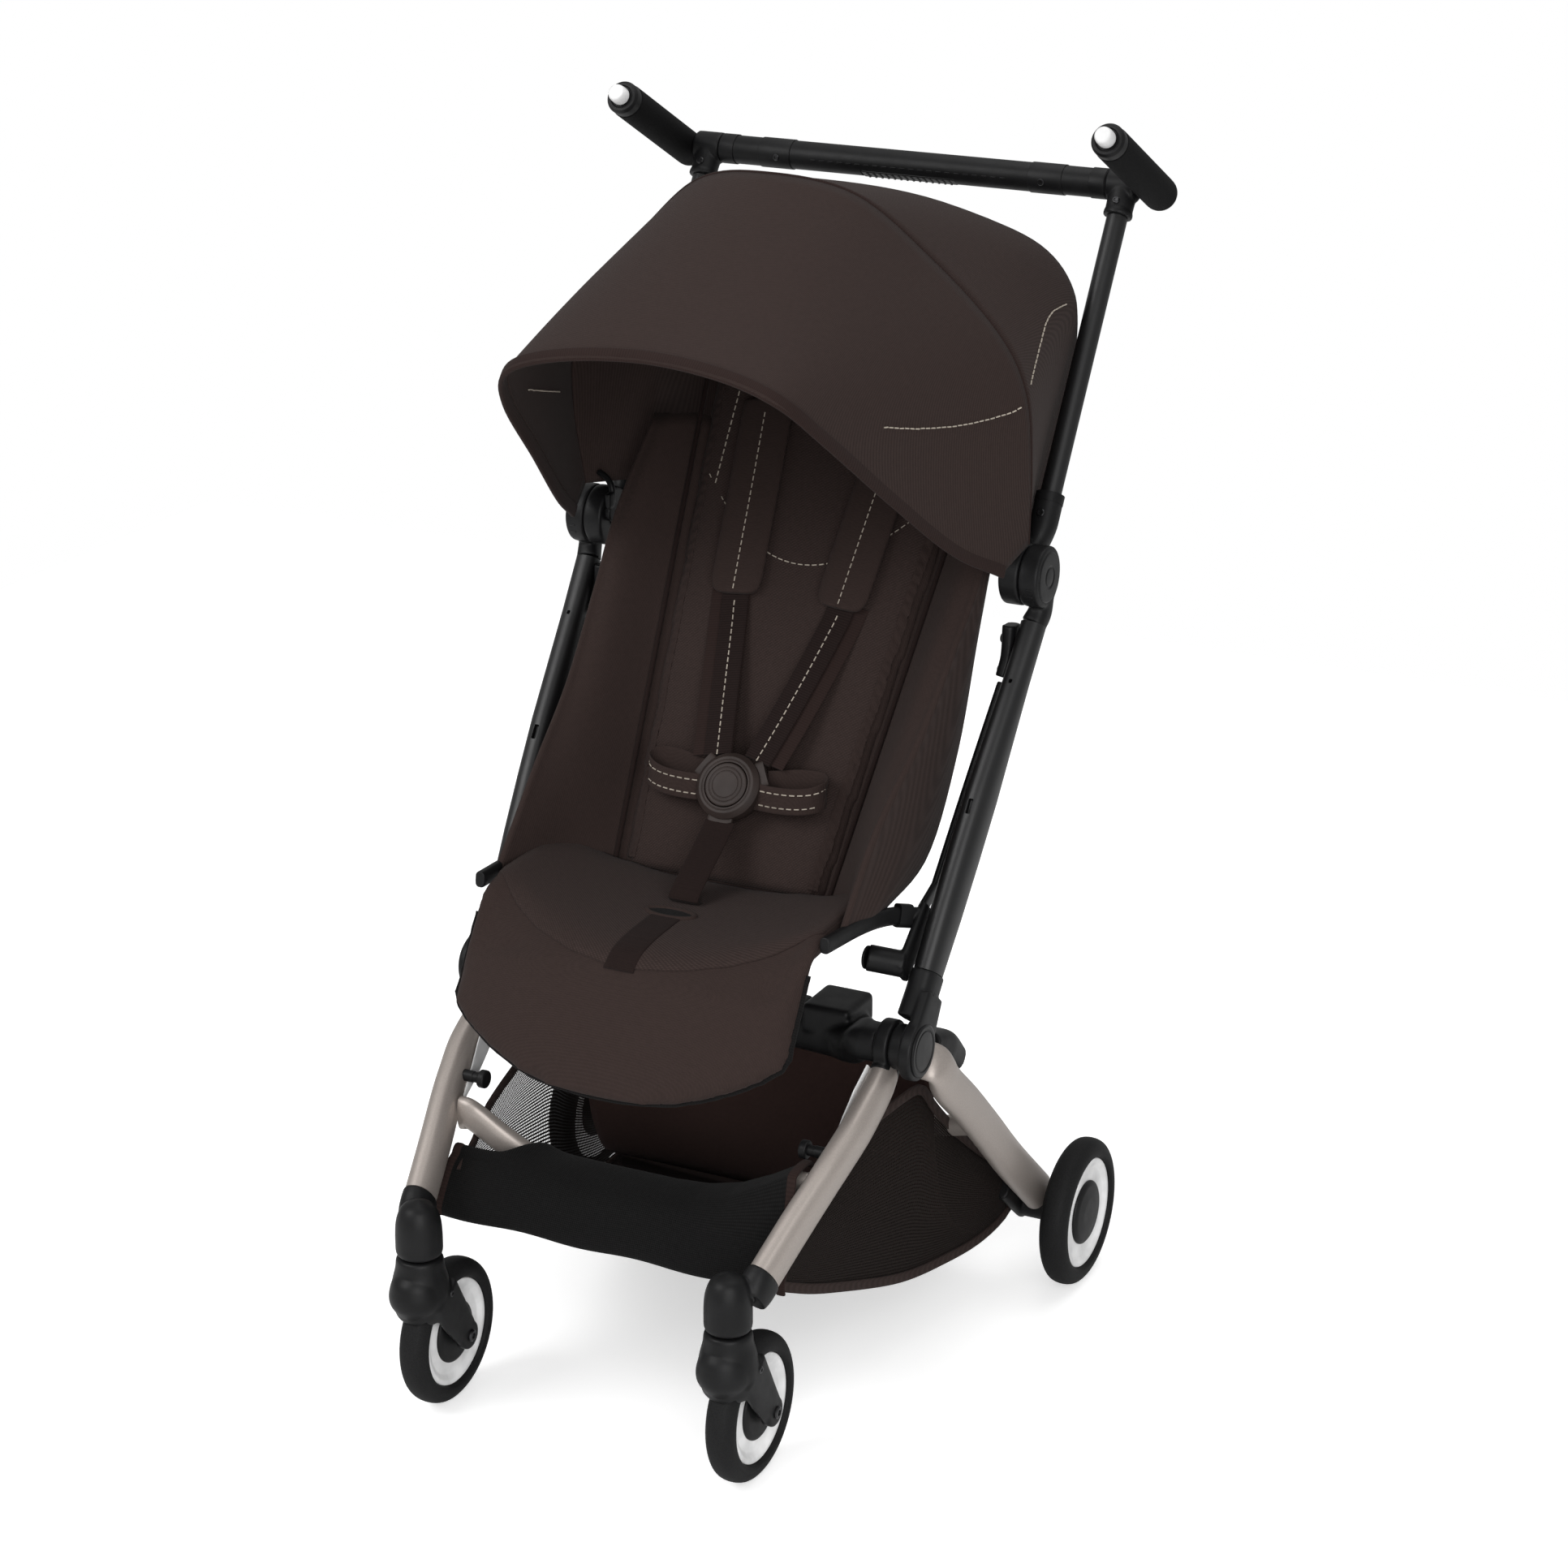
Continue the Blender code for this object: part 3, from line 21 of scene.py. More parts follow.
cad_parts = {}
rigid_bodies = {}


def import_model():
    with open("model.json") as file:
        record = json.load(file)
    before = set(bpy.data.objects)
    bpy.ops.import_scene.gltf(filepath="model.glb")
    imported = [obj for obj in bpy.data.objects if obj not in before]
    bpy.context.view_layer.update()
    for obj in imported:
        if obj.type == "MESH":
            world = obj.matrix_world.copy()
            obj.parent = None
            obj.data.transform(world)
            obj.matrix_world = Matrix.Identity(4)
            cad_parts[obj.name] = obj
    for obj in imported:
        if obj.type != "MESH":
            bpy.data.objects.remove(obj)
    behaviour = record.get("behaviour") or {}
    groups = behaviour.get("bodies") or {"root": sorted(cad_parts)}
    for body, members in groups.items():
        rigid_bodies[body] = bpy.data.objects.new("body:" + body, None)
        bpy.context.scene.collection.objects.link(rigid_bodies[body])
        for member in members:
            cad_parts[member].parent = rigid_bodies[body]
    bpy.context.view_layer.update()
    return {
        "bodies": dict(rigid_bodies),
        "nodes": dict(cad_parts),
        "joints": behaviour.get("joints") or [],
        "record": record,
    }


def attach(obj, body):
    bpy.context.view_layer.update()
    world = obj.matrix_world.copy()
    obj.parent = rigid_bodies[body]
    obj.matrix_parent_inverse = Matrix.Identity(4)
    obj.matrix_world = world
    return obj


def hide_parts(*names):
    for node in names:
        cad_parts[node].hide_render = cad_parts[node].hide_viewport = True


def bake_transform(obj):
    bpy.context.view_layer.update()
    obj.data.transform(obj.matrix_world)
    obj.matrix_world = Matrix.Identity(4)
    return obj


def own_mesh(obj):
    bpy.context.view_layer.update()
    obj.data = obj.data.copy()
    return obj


LOG = logging.getLogger("pushchair")
X_AXIS = Vector((1.0, 0.0, 0.0))
Y_AXIS = Vector((0.0, 1.0, 0.0))
Z_AXIS = Vector((0.0, 0.0, 1.0))
# Edges above an angle in degrees stay sharp: a moulded part's, and cloth without any.
SHARP = 38.0
SMOOTH = 180.0
# Corners closer than this, in metres, become one.
MERGE = 1e-6
Point = tuple[float, float, float]
Place = Callable[[float, float], Vector]


class Side(Enum):
    """The two sides of the pushchair, by the sign of X."""

    LEFT = 1.0
    RIGHT = -1.0

    @property
    def label(self) -> str:
        """The side's word in a piece's name."""
        return self.name.lower()

    def at(self, point: Sequence[float]) -> Vector:
        """A point given for the left, on this side."""
        return Vector((point[0] * self.value, point[1], point[2]))

    def line(self, points: Sequence[Sequence[float]]) -> list[Vector]:
        """Points given for the left, on this side."""
        return [self.at(point) for point in points]


class Slot(Enum):
    """The record's finishes, by the name that each has there."""

    PLASTIC = "black_plastic"
    TUBE = "black_tube"
    CHAMPAGNE = "champagne_metal"
    WHITE = "white_plastic"
    TYRE = "tyre_rubber"
    GRIP = "foam_grip"
    CLOTH = "brown_fabric"
    WEBBING = "black_webbing"
    NET = "black_mesh"


@dataclass(frozen=True)
class Layout:
    """Axes and planes that several sub-assemblies share."""

    hinge_y: float = 0.110
    hinge_z: float = 0.660
    hood_press: Point = (0.0, 0.8462, -0.5329)
    hood_kept: float = 0.15
    basket_middle: Point = (0.0, -0.0950, 0.2000)
    basket_kept: float = 0.30
    hinge_offset: float = 0.0206
    main_lean: float = math.radians(35.2)
    main_length: float = 0.404
    main_top_x: float = 0.2126
    main_foot_x: float = 0.1965
    handle_lean: float = math.radians(32.2)
    handle_length: float = 0.352
    handle_x: float = 0.198
    back_lean: float = math.radians(33.5)
    crease_y: float = -0.050
    crease_z: float = 0.419

    @property
    def back_up(self) -> Vector:
        """Direction up the backrest."""
        return Vector((0.0, math.sin(self.back_lean), math.cos(self.back_lean)))

    @property
    def back_front(self) -> Vector:
        """Direction out of the backrest's face."""
        return Vector((0.0, -math.cos(self.back_lean), math.sin(self.back_lean)))

    @property
    def handle_up(self) -> Vector:
        """Direction up the handle's tubes."""
        return Vector((0.0, math.sin(self.handle_lean), math.cos(self.handle_lean)))

    @property
    def hub(self) -> Vector:
        """The axis on which both pairs of legs turn."""
        return self.main(self.main_length)

    def main(self, along: float, x: float = 0.0) -> Vector:
        """A point on the lower tube's line.

        Args:
            along: distance down it from the hinge.
            x: place across the pushchair.

        Returns:
            The point.
        """
        lean, offset = self.main_lean, self.hinge_offset
        y = self.hinge_y - along * math.sin(lean) + offset * math.cos(lean)
        z = self.hinge_z - along * math.cos(lean) - offset * math.sin(lean)
        return Vector((x, y, z))

    def handle(self, along: float, x: float = 0.0) -> Vector:
        """A point on the handle tube's line.

        Args:
            along: distance up it from the hinge.
            x: place across the pushchair.

        Returns:
            The point.
        """
        lean, offset = self.handle_lean, self.hinge_offset
        y = self.hinge_y + along * math.sin(lean) + offset * math.cos(lean)
        z = self.hinge_z + along * math.cos(lean) - offset * math.sin(lean)
        return Vector((x, y, z))

    def back(self, height: float, rise: float = 0.0, x: float = 0.0) -> Vector:
        """A point by the backrest's face.

        Args:
            height: distance up the backrest from the crease.
            rise: distance out of its face.
            x: place across the pushchair.

        Returns:
            The point.
        """
        base = Vector((x, self.crease_y, self.crease_z))
        return base + self.back_up * height + self.back_front * rise


@dataclass(frozen=True)
class View:
    """The camera, fitted to the paired parts of the photograph."""

    azimuth: float = math.radians(26.6342)
    elevation: float = math.radians(20.2000)
    focal: float = 4601.74
    pixels: float = 1932.0
    eye: Point = (1.34828, -2.62220, 1.56299)

    @property
    def look(self) -> Vector:
        """Direction of the view."""
        level = math.cos(self.elevation)
        return Vector((
            -math.sin(self.azimuth) * level, math.cos(self.azimuth) * level, -math.sin(self.elevation)
        ))

    def ray(self, pixel: tuple[float, float]) -> Vector:
        """Direction from the eye through a pixel of the photograph."""
        right = Vector((math.cos(self.azimuth), math.sin(self.azimuth), 0.0))
        up = right.cross(self.look)
        across, down = (value - self.pixels / 2 for value in pixel)
        return (self.look + right * across / self.focal - up * down / self.focal).normalized()


PLAN = Layout()
VIEW = View()


class Shader:
    """A node-based material in the making."""

    def __init__(self, name: str) -> None:
        """Start a material with its Principled shader.

        Args:
            name: the material's name.
        """
        self.material = bpy.data.materials.new(name)
        self.material.use_nodes = True
        self.tree = self.material.node_tree
        self.surface = self.tree.nodes["Principled BSDF"]

    def node(
        self, kind: str, inputs: dict[str, object] | None = None, **settings: object
    ) -> bpy.types.Node:
        """Add a node.

        Args:
            kind: the node's type name.
            inputs: socket values, by socket name.
            settings: the node's own properties.

        Returns:
            The new node.
        """
        made = self.tree.nodes.new(kind)
        for key, value in settings.items():
            setattr(made, key, value)
        for key, value in (inputs or {}).items():
            made.inputs[key].default_value = value
        return made

    def link(self, source: bpy.types.NodeSocket, target: bpy.types.NodeSocket) -> None:
        """Join two sockets."""
        self.tree.links.new(source, target)

    def set(self, **values: object) -> None:
        """Set sockets of the Principled shader, with _ for a space in the name."""
        for key, value in values.items():
            self.surface.inputs[key.replace("_", " ")].default_value = value

    def where(self, metres: bool = False) -> bpy.types.NodeSocket:
        """The coordinates that a pattern reads.

        Args:
            metres: read the piece's own map, which is in metres of cloth.

        Returns:
            The vector socket.
        """
        return self.node("ShaderNodeTexCoord").outputs["UV" if metres else "Object"]

    def noise(self, where: bpy.types.NodeSocket, scale: float, detail: float = 2.0) -> bpy.types.NodeSocket:
        """A noise's value.

        Args:
            where: the coordinates.
            scale: cells in a metre.
            detail: octaves.

        Returns:
            The value socket.
        """
        made = self.node("ShaderNodeTexNoise", {"Scale": scale, "Detail": detail})
        self.link(where, made.inputs["Vector"])
        return made.outputs[0]

    def ramp(
        self, value: bpy.types.NodeSocket, stops: Sequence[tuple[float, Sequence[float]]]
    ) -> bpy.types.NodeSocket:
        """A colour ramp.

        Args:
            value: what the ramp reads.
            stops: (place, linear colour) pairs.

        Returns:
            The colour socket.
        """
        made = self.node("ShaderNodeValToRGB")
        elements = made.color_ramp.elements
        while len(elements) < len(stops):
            elements.new(0.5)
        for element, (place, colour) in zip(elements, stops):
            element.position = place
            element.color = (*colour, 1.0)
        self.link(value, made.inputs[0])
        return made.outputs[0]

    def maths(
        self, operation: str, first: object, second: object = 0.0, third: object = 0.0
    ) -> bpy.types.NodeSocket:
        """A Math node.

        Args:
            operation: its operation.
            first: a socket or a number.
            second: a socket or a number.
            third: a socket or a number.

        Returns:
            The value socket.
        """
        made = self.node("ShaderNodeMath", operation=operation)
        for index, value in enumerate((first, second, third)):
            if isinstance(value, bpy.types.NodeSocket):
                self.link(value, made.inputs[index])
            else:
                made.inputs[index].default_value = value
        return made.outputs[0]

    def bump(self, height: bpy.types.NodeSocket, distance: float, strength: float = 1.0) -> None:
        """Bump the surface.

        Args:
            height: the height pattern, from 0 to 1.
            distance: its depth in metres.
            strength: its share.
        """
        made = self.node("ShaderNodeBump", {"Distance": distance, "Strength": strength})
        self.link(height, made.inputs["Height"])
        self.link(made.outputs[0], self.surface.inputs["Normal"])

    def waves(self, where: bpy.types.NodeSocket, pitch: float, axis: str) -> bpy.types.NodeSocket:
        """Even sine bands.

        Args:
            where: the coordinates.
            pitch: from band to band, in metres.
            axis: X, Y, Z or DIAGONAL.

        Returns:
            The value socket, from 0 to 1.
        """
        made = self.node(
            "ShaderNodeTexWave", {"Scale": math.tau / 20.0 / pitch}, bands_direction=axis,
            wave_profile="SIN",
        )
        self.link(where, made.inputs["Vector"])
        return made.outputs["Fac"]


@dataclass(frozen=True)
class Moulded:
    """Injection-moulded plastic with a fine eroded grain."""

    name: str
    colour: tuple[float, float, float]
    roughness: float = 0.46
    grain: float = 1400.0
    depth: float = 0.00006
    gloss: float = 0.22

    def material(self) -> bpy.types.Material:
        """The finish as a material."""
        shader = Shader(self.name)
        where = shader.where()
        low = [channel * 0.82 for channel in self.colour]
        high = [min(channel * 1.2 + 0.001, 1.0) for channel in self.colour]
        cloud = shader.noise(where, 38.0, 3.0)
        shader.link(shader.ramp(cloud, ((0.3, low), (0.7, high))), shader.surface.inputs["Base Color"])
        rough = shader.maths("MULTIPLY_ADD", shader.noise(where, 90.0), 0.16, self.roughness - 0.08)
        shader.link(rough, shader.surface.inputs["Roughness"])
        shader.set(Specular_IOR_Level=self.gloss)
        shader.bump(shader.noise(where, self.grain, 1.0), self.depth)
        return shader.material


@dataclass(frozen=True)
class Coated:
    """Tube with a sprayed or anodised coat over metal."""

    name: str
    colour: tuple[float, float, float]
    metallic: float
    roughness: float

    def material(self) -> bpy.types.Material:
        """The finish as a material."""
        shader = Shader(self.name)
        where = shader.where()
        low = [channel * 0.93 for channel in self.colour]
        high = [min(channel * 1.06, 1.0) for channel in self.colour]
        fleck = shader.noise(where, 900.0, 1.0)
        shader.link(shader.ramp(fleck, ((0.25, low), (0.75, high))), shader.surface.inputs["Base Color"])
        shader.set(Metallic=self.metallic, Coat_Weight=0.08, Coat_Roughness=0.3)
        rough = shader.maths("MULTIPLY_ADD", shader.noise(where, 60.0), 0.10, self.roughness - 0.05)
        shader.link(rough, shader.surface.inputs["Roughness"])
        shader.bump(shader.noise(where, 500.0, 2.0), 0.00003)
        return shader.material


@dataclass(frozen=True)
class Rubber:
    """Foamed rubber or foam with open pores."""

    name: str
    colour: tuple[float, float, float]
    pore: float
    depth: float
    roughness: float = 0.8

    def material(self) -> bpy.types.Material:
        """The finish as a material."""
        shader = Shader(self.name)
        where = shader.where()
        cells = shader.node("ShaderNodeTexVoronoi", {"Scale": 1.0 / self.pore})
        shader.link(where, cells.inputs["Vector"])
        low = [channel * 0.7 for channel in self.colour]
        high = [channel * 1.35 for channel in self.colour]
        shader.link(
            shader.ramp(cells.outputs["Distance"], ((0.1, low), (0.6, high))),
            shader.surface.inputs["Base Color"],
        )
        shader.set(Roughness=self.roughness, Specular_IOR_Level=0.15)
        shader.bump(cells.outputs["Distance"], self.depth)
        return shader.material


class Weave(Enum):
    """How a cloth is woven, with the pitch of its threads in metres."""

    CANVAS = 0.0009
    AIR_MESH = 0.0023
    RIBBED = 0.0022
    NETTED = 0.0017


@dataclass(frozen=True)
class Cloth:
    """Woven or knitted cloth; its pattern reads the piece's own map or the object's place."""

    name: str
    colour: tuple[float, float, float]
    weave: Weave
    mapped: bool
    contrast: float = 0.22
    depth: float = 0.00018

    def material(self) -> bpy.types.Material:
        """The finish as a material."""
        shader = Shader(self.name)
        where = shader.where(self.mapped)
        pitch = self.weave.value
        if self.weave is Weave.AIR_MESH:
            turn = shader.node("ShaderNodeMapping")
            turn.inputs["Rotation"].default_value = (0.0, 0.0, math.radians(52.0))
            shader.link(where, turn.inputs["Vector"])
            warp = shader.waves(turn.outputs[0], pitch, "X")
            weft = shader.waves(where, pitch * 0.62, "Y")
            thread = shader.maths("MULTIPLY", warp, weft)
        elif self.weave is Weave.RIBBED:
            thread = shader.waves(where, pitch, "Y")
        else:
            warp = shader.waves(where, pitch, "X")
            weft = shader.waves(where, pitch, "Y")
            other = shader.waves(where, pitch, "Z") if not self.mapped else weft
            thread = shader.maths(
                "MAXIMUM", shader.maths("MULTIPLY", warp, weft), shader.maths("MULTIPLY", warp, other)
            )
        low = [channel * (1.0 - self.contrast) for channel in self.colour]
        high = [channel * (1.0 + self.contrast) for channel in self.colour]
        fuzz = shader.noise(where, 260.0, 3.0)
        tone = shader.maths("MULTIPLY_ADD", fuzz, 0.35, shader.maths("MULTIPLY", thread, 0.65))
        shader.link(shader.ramp(tone, ((0.1, low), (0.75, high))), shader.surface.inputs["Base Color"])
        shader.set(Roughness=0.9, Sheen_Weight=0.03, Sheen_Roughness=0.5, Specular_IOR_Level=0.1)
        shader.bump(tone, self.depth)
        return shader.material


@dataclass(frozen=True)
class Net:
    """Open net, whose holes let the background through."""

    name: str
    colour: tuple[float, float, float]
    pitch: float
    hole: float

    def material(self) -> bpy.types.Material:
        """The finish as a material."""
        shader = Shader(self.name)
        where = shader.where(metres=True)
        first = shader.waves(where, self.pitch, "X")
        second = shader.waves(where, self.pitch, "Y")
        gap = shader.maths("GREATER_THAN", shader.maths("MULTIPLY", first, second), 1.0 - self.hole)
        shader.link(shader.maths("SUBTRACT", 1.0, gap), shader.surface.inputs["Alpha"])
        low = [channel * 0.75 for channel in self.colour]
        shader.link(
            shader.ramp(shader.noise(where, 300.0), ((0.3, low), (0.7, self.colour))),
            shader.surface.inputs["Base Color"],
        )
        shader.set(Roughness=0.9, Specular_IOR_Level=0.05)
        return shader.material


MOCHA = (0.0335, 0.0222, 0.0198)


class Finishes:
    """Every finish on the pushchair, made once."""

    def __init__(self) -> None:
        """Build the materials."""
        self.plastic = Moulded("moulded black", (0.0056, 0.0056, 0.0060)).material()
        self.satin = Moulded("satin black", (0.0056, 0.0056, 0.0060), 0.36, 900.0, 0.00003).material()
        self.white = Moulded("white shell", (0.86, 0.86, 0.86), 0.42, 500.0, 0.000002).material()
        self.tube = Coated("black powder coat", (0.0050, 0.0050, 0.0054), 0.05, 0.42).material()
        self.champagne = Coated("champagne coat", (0.40, 0.355, 0.325), 0.55, 0.42).material()
        self.screw = Coated("blackened screw", (0.05, 0.05, 0.052), 0.9, 0.3).material()
        self.tyre = Rubber("tyre rubber", (0.0085, 0.0085, 0.0088), 0.0011, 0.00006, 0.62).material()
        self.foam = Rubber("grip foam", (0.0026, 0.0026, 0.0028), 0.0009, 0.00016).material()
        self.umber = Moulded("brown plastic", (0.0300, 0.0212, 0.0188), 0.5, 900.0, 0.00003).material()
        self.cloth = Cloth("mocha cloth", MOCHA, Weave.CANVAS, False).material()
        # The basket cloth's reddish brown is its own; its lightness is painted light, raised to make up for
        # the shade under the seat.
        self.basket_cloth = Cloth("basket cloth", (0.0600, 0.0345, 0.0305), Weave.CANVAS, True).material()
        self.lining = Cloth("dark lining", (0.0160, 0.0095, 0.0085), Weave.CANVAS, False).material()
        self.air_mesh = Cloth(
            "air mesh", (0.0385, 0.0260, 0.0234), Weave.AIR_MESH, True, 0.34, 0.00035
        ).material()
        self.webbing = Cloth(
            "dark webbing", (0.0145, 0.0090, 0.0082), Weave.RIBBED, True, 0.25, 0.0002
        ).material()
        self.binding = Cloth(
            "edge binding", (0.0225, 0.0135, 0.0120), Weave.RIBBED, True, 0.15, 0.0001
        ).material()
        self.panel = Cloth(
            "black panel", (0.0072, 0.0070, 0.0070), Weave.NETTED, True, 0.55, 0.0003
        ).material()
        self.piping = Cloth("black piping", (0.0068, 0.0062, 0.0062), Weave.RIBBED, True, 0.2).material()
        self.thread = Moulded("light thread", (0.42, 0.37, 0.31), 0.6, 2000.0).material()
        self.net = Net("basket net", (0.0210, 0.0168, 0.0152), 0.0031, 0.48).material()
        self.front_net = Net("front net", (0.030, 0.030, 0.031), 0.0026, 0.62).material()


@dataclass
class Workshop:
    """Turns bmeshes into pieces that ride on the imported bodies."""

    finishes: Finishes
    made: int = 0

    def piece(
        self, name: str, bm: bmesh.types.BMesh, finish: bpy.types.Material, slot: Slot,
        body: str | None = None, replaces: Sequence[str] = (), closed: bool = True,
        sharp: float = SHARP, subdivide: int = 0, thickness: float = 0.0,
    ) -> bpy.types.Object:
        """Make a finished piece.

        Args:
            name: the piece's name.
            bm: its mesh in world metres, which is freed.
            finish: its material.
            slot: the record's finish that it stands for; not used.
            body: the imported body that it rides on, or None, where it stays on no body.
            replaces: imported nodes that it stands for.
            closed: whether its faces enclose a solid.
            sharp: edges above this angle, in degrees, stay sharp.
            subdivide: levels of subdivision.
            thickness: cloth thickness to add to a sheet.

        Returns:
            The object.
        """
        if closed:
            bmesh.ops.recalc_face_normals(bm, faces=bm.faces)
        mesh = bpy.data.meshes.new(name)
        bm.to_mesh(mesh)
        bm.free()
        mesh.shade_smooth()
        mesh.set_sharp_from_angle(angle=math.radians(sharp))
        mesh.materials.append(finish)
        thing = bpy.data.objects.new(name, mesh)
        bpy.context.scene.collection.objects.link(thing)
        if thickness:
            wall = thing.modifiers.new("Cloth", "SOLIDIFY")
            wall.thickness = thickness
            wall.offset = 0.0
            wall.use_even_offset = True
        if subdivide:
            smooth = thing.modifiers.new("Smooth", "SUBSURF")
            smooth.levels = subdivide
            smooth.render_levels = subdivide
        if body:
            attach(thing, body)
        if replaces:
            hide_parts(*replaces)
        self.made += 1
        LOG.info("%s: %d faces, on %s", name, len(mesh.polygons), body or "two bodies")
        return thing

    def crumple(self, start: str, axis: Vector, anchor: Vector, keep: float) -> None:
        """Give the cloth pieces whose names start alike meshes of their own; nothing flattens them.

        Args:
            start: the first letters of their names.
            axis: meant as the line that they flatten along; not used.
            anchor: meant as the point that they flatten towards; not used.
            keep: meant as the share of their thickness that is left; not used.
        """
        for thing in list(bpy.data.objects):
            if thing.type == "MESH" and thing.name.startswith(start):
                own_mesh(thing)

    def settle(self, thing: bpy.types.Object) -> bpy.types.Object:
        """Apply a piece's modifiers to its mesh."""
        graph = bpy.context.evaluated_depsgraph_get()
        graph.update()
        finish = thing.data.materials[0]
        mesh = bpy.data.meshes.new_from_object(thing.evaluated_get(graph))
        thing.modifiers.clear()
        thing.data = mesh
        mesh.materials.clear()
        mesh.materials.append(finish)
        return thing

    def moulded(
        self, name: str, parts: Sequence[bmesh.types.BMesh], finish: bpy.types.Material, slot: Slot,
        body: str, replaces: Sequence[str] = (), voxel: float = 0.0011, passes: int = 3,
    ) -> bpy.types.Object:
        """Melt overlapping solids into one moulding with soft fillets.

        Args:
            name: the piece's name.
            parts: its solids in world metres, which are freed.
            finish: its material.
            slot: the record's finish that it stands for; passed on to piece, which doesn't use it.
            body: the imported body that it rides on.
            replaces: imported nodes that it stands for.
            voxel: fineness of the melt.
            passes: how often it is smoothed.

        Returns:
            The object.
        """
        for part in parts:
            bmesh.ops.recalc_face_normals(part, faces=part.faces)
        thing = self.piece(name, joined(parts), finish, slot, body, replaces, sharp=SMOOTH)
        melt = thing.modifiers.new("Melt", "REMESH")
        melt.mode = "VOXEL"
        melt.voxel_size = voxel
        self.settle(thing)
        relax(thing.data, passes)
        return thing

    def carve(
        self, thing: bpy.types.Object, cutter: bmesh.types.BMesh, operation: str = "DIFFERENCE"
    ) -> None:
        """Cut a solid from a piece, or join one to it.

        Args:
            thing: the piece.
            cutter: the solid, which is freed.
            operation: DIFFERENCE or UNION.
        """
        bmesh.ops.recalc_face_normals(cutter, faces=cutter.faces)
        mesh = bpy.data.meshes.new("cutter")
        cutter.to_mesh(mesh)
        cutter.free()
        tool = bpy.data.objects.new("cutter", mesh)
        bpy.context.scene.collection.objects.link(tool)
        modifier = thing.modifiers.new("Cut", "BOOLEAN")
        modifier.operation = operation
        modifier.object = tool
        self.settle(thing)
        bpy.data.objects.remove(tool)
        thing.data.set_sharp_from_angle(angle=math.radians(SHARP))


def relax(mesh: bpy.types.Mesh, passes: int) -> None:
    """Smooth a mesh and shade it smooth.

    Args:
        mesh: the mesh.
        passes: how often each point moves halfway to its neighbours.
    """
    bm = bmesh.new()
    bm.from_mesh(mesh)
    for _ in range(passes):
        bmesh.ops.smooth_vert(
            bm, verts=bm.verts, factor=0.5, use_axis_x=True, use_axis_y=True, use_axis_z=True
        )
    bm.to_mesh(mesh)
    bm.free()
    mesh.shade_smooth()


def between(given: Sequence[Vector], span: int, t: float) -> Vector:
    """A point of the smooth curve through points.

    Args:
        given: the points.
        span: the gap between two of them, from 0.
        t: place in that gap, from 0 to 1.

    Returns:
        The point.
    """
    ends = [given[0] * 2 - given[1], *given, given[-1] * 2 - given[-2]]
    a, b, c, d = ends[span : span + 4]
    square = (2 * a - 5 * b + 4 * c - d) * t * t
    return 0.5 * (2 * b + (c - a) * t + square + (3 * b - a - 3 * c + d) * t**3)


def smooth_path(points: Sequence[Sequence[float]], count: int) -> list[Vector]:
    """A curve through points.

    Args:
        points: the points.
        count: how many points to return.

    Returns:
        Points on the curve, evenly numbered.
    """
    given = [Vector(point) for point in points]
    spans = len(given) - 1
    path = []
    for step in range(count):
        place = spans * step / (count - 1)
        span = min(int(place), spans - 1)
        path.append(between(given, span, place - span))
    return path


def even_path(points: Sequence[Sequence[float]], count: int) -> list[Vector]:
    """A curve through points, with equal steps along its length.

    Args:
        points: the points.
        count: how many points to return.

    Returns:
        Points on the curve.
    """
    fine = smooth_path(points, max(len(points) * 24, 64))
    reach = [0.0]
    for before, after in zip(fine, fine[1:]):
        reach.append(reach[-1] + (after - before).length)
    path = []
    span = 0
    for step in range(count):
        target = reach[-1] * step / (count - 1)
        while span < len(fine) - 2 and reach[span + 1] < target:
            span += 1
        share = (target - reach[span]) / max(reach[span + 1] - reach[span], 1e-9)
        path.append(fine[span].lerp(fine[span + 1], min(max(share, 0.0), 1.0)))
    return path


def mirrored(half: Sequence[Point]) -> list[Vector]:
    """A line across the pushchair, from the points of its left half."""
    return Side.LEFT.line(half) + Side.RIGHT.line(half[-2::-1])


def heading(path: Sequence[Vector], index: int) -> Vector:
    """The direction of a path at one of its points."""
    return (path[min(index + 1, len(path) - 1)] - path[max(index - 1, 0)]).normalized()


def squared(turn: float, across: float, up: float) -> tuple[float, float]:
    """A place on a unit oval that may have squarer corners.

    Args:
        turn: the angle round it.
        across: power of the first coordinate; 1 is a circle's and less is squarer.
        up: power of the second.

    Returns:
        Both coordinates, from -1 to 1.
    """
    x, y = math.cos(turn), math.sin(turn)
    return math.copysign(abs(x) ** across, x), math.copysign(abs(y) ** up, y)


def capped(bm: bmesh.types.BMesh) -> bmesh.types.BMesh:
    """Join a tube's seam and fill its ends."""
    bmesh.ops.remove_doubles(bm, verts=bm.verts, dist=MERGE)
    bmesh.ops.holes_fill(bm, edges=[edge for edge in bm.edges if edge.is_boundary], sides=0)
    return bm


def length_of(path: Sequence[Vector]) -> float:
    """The length of a path."""
    return sum((after - before).length for before, after in zip(path, path[1:]))


def pick(values: Sequence[float], share: float) -> float:
    """A value at a share of the way through evenly spaced values."""
    place = share * (len(values) - 1)
    span = min(int(place), len(values) - 2)
    t = place - span
    return values[span] * (1 - t) + values[span + 1] * t


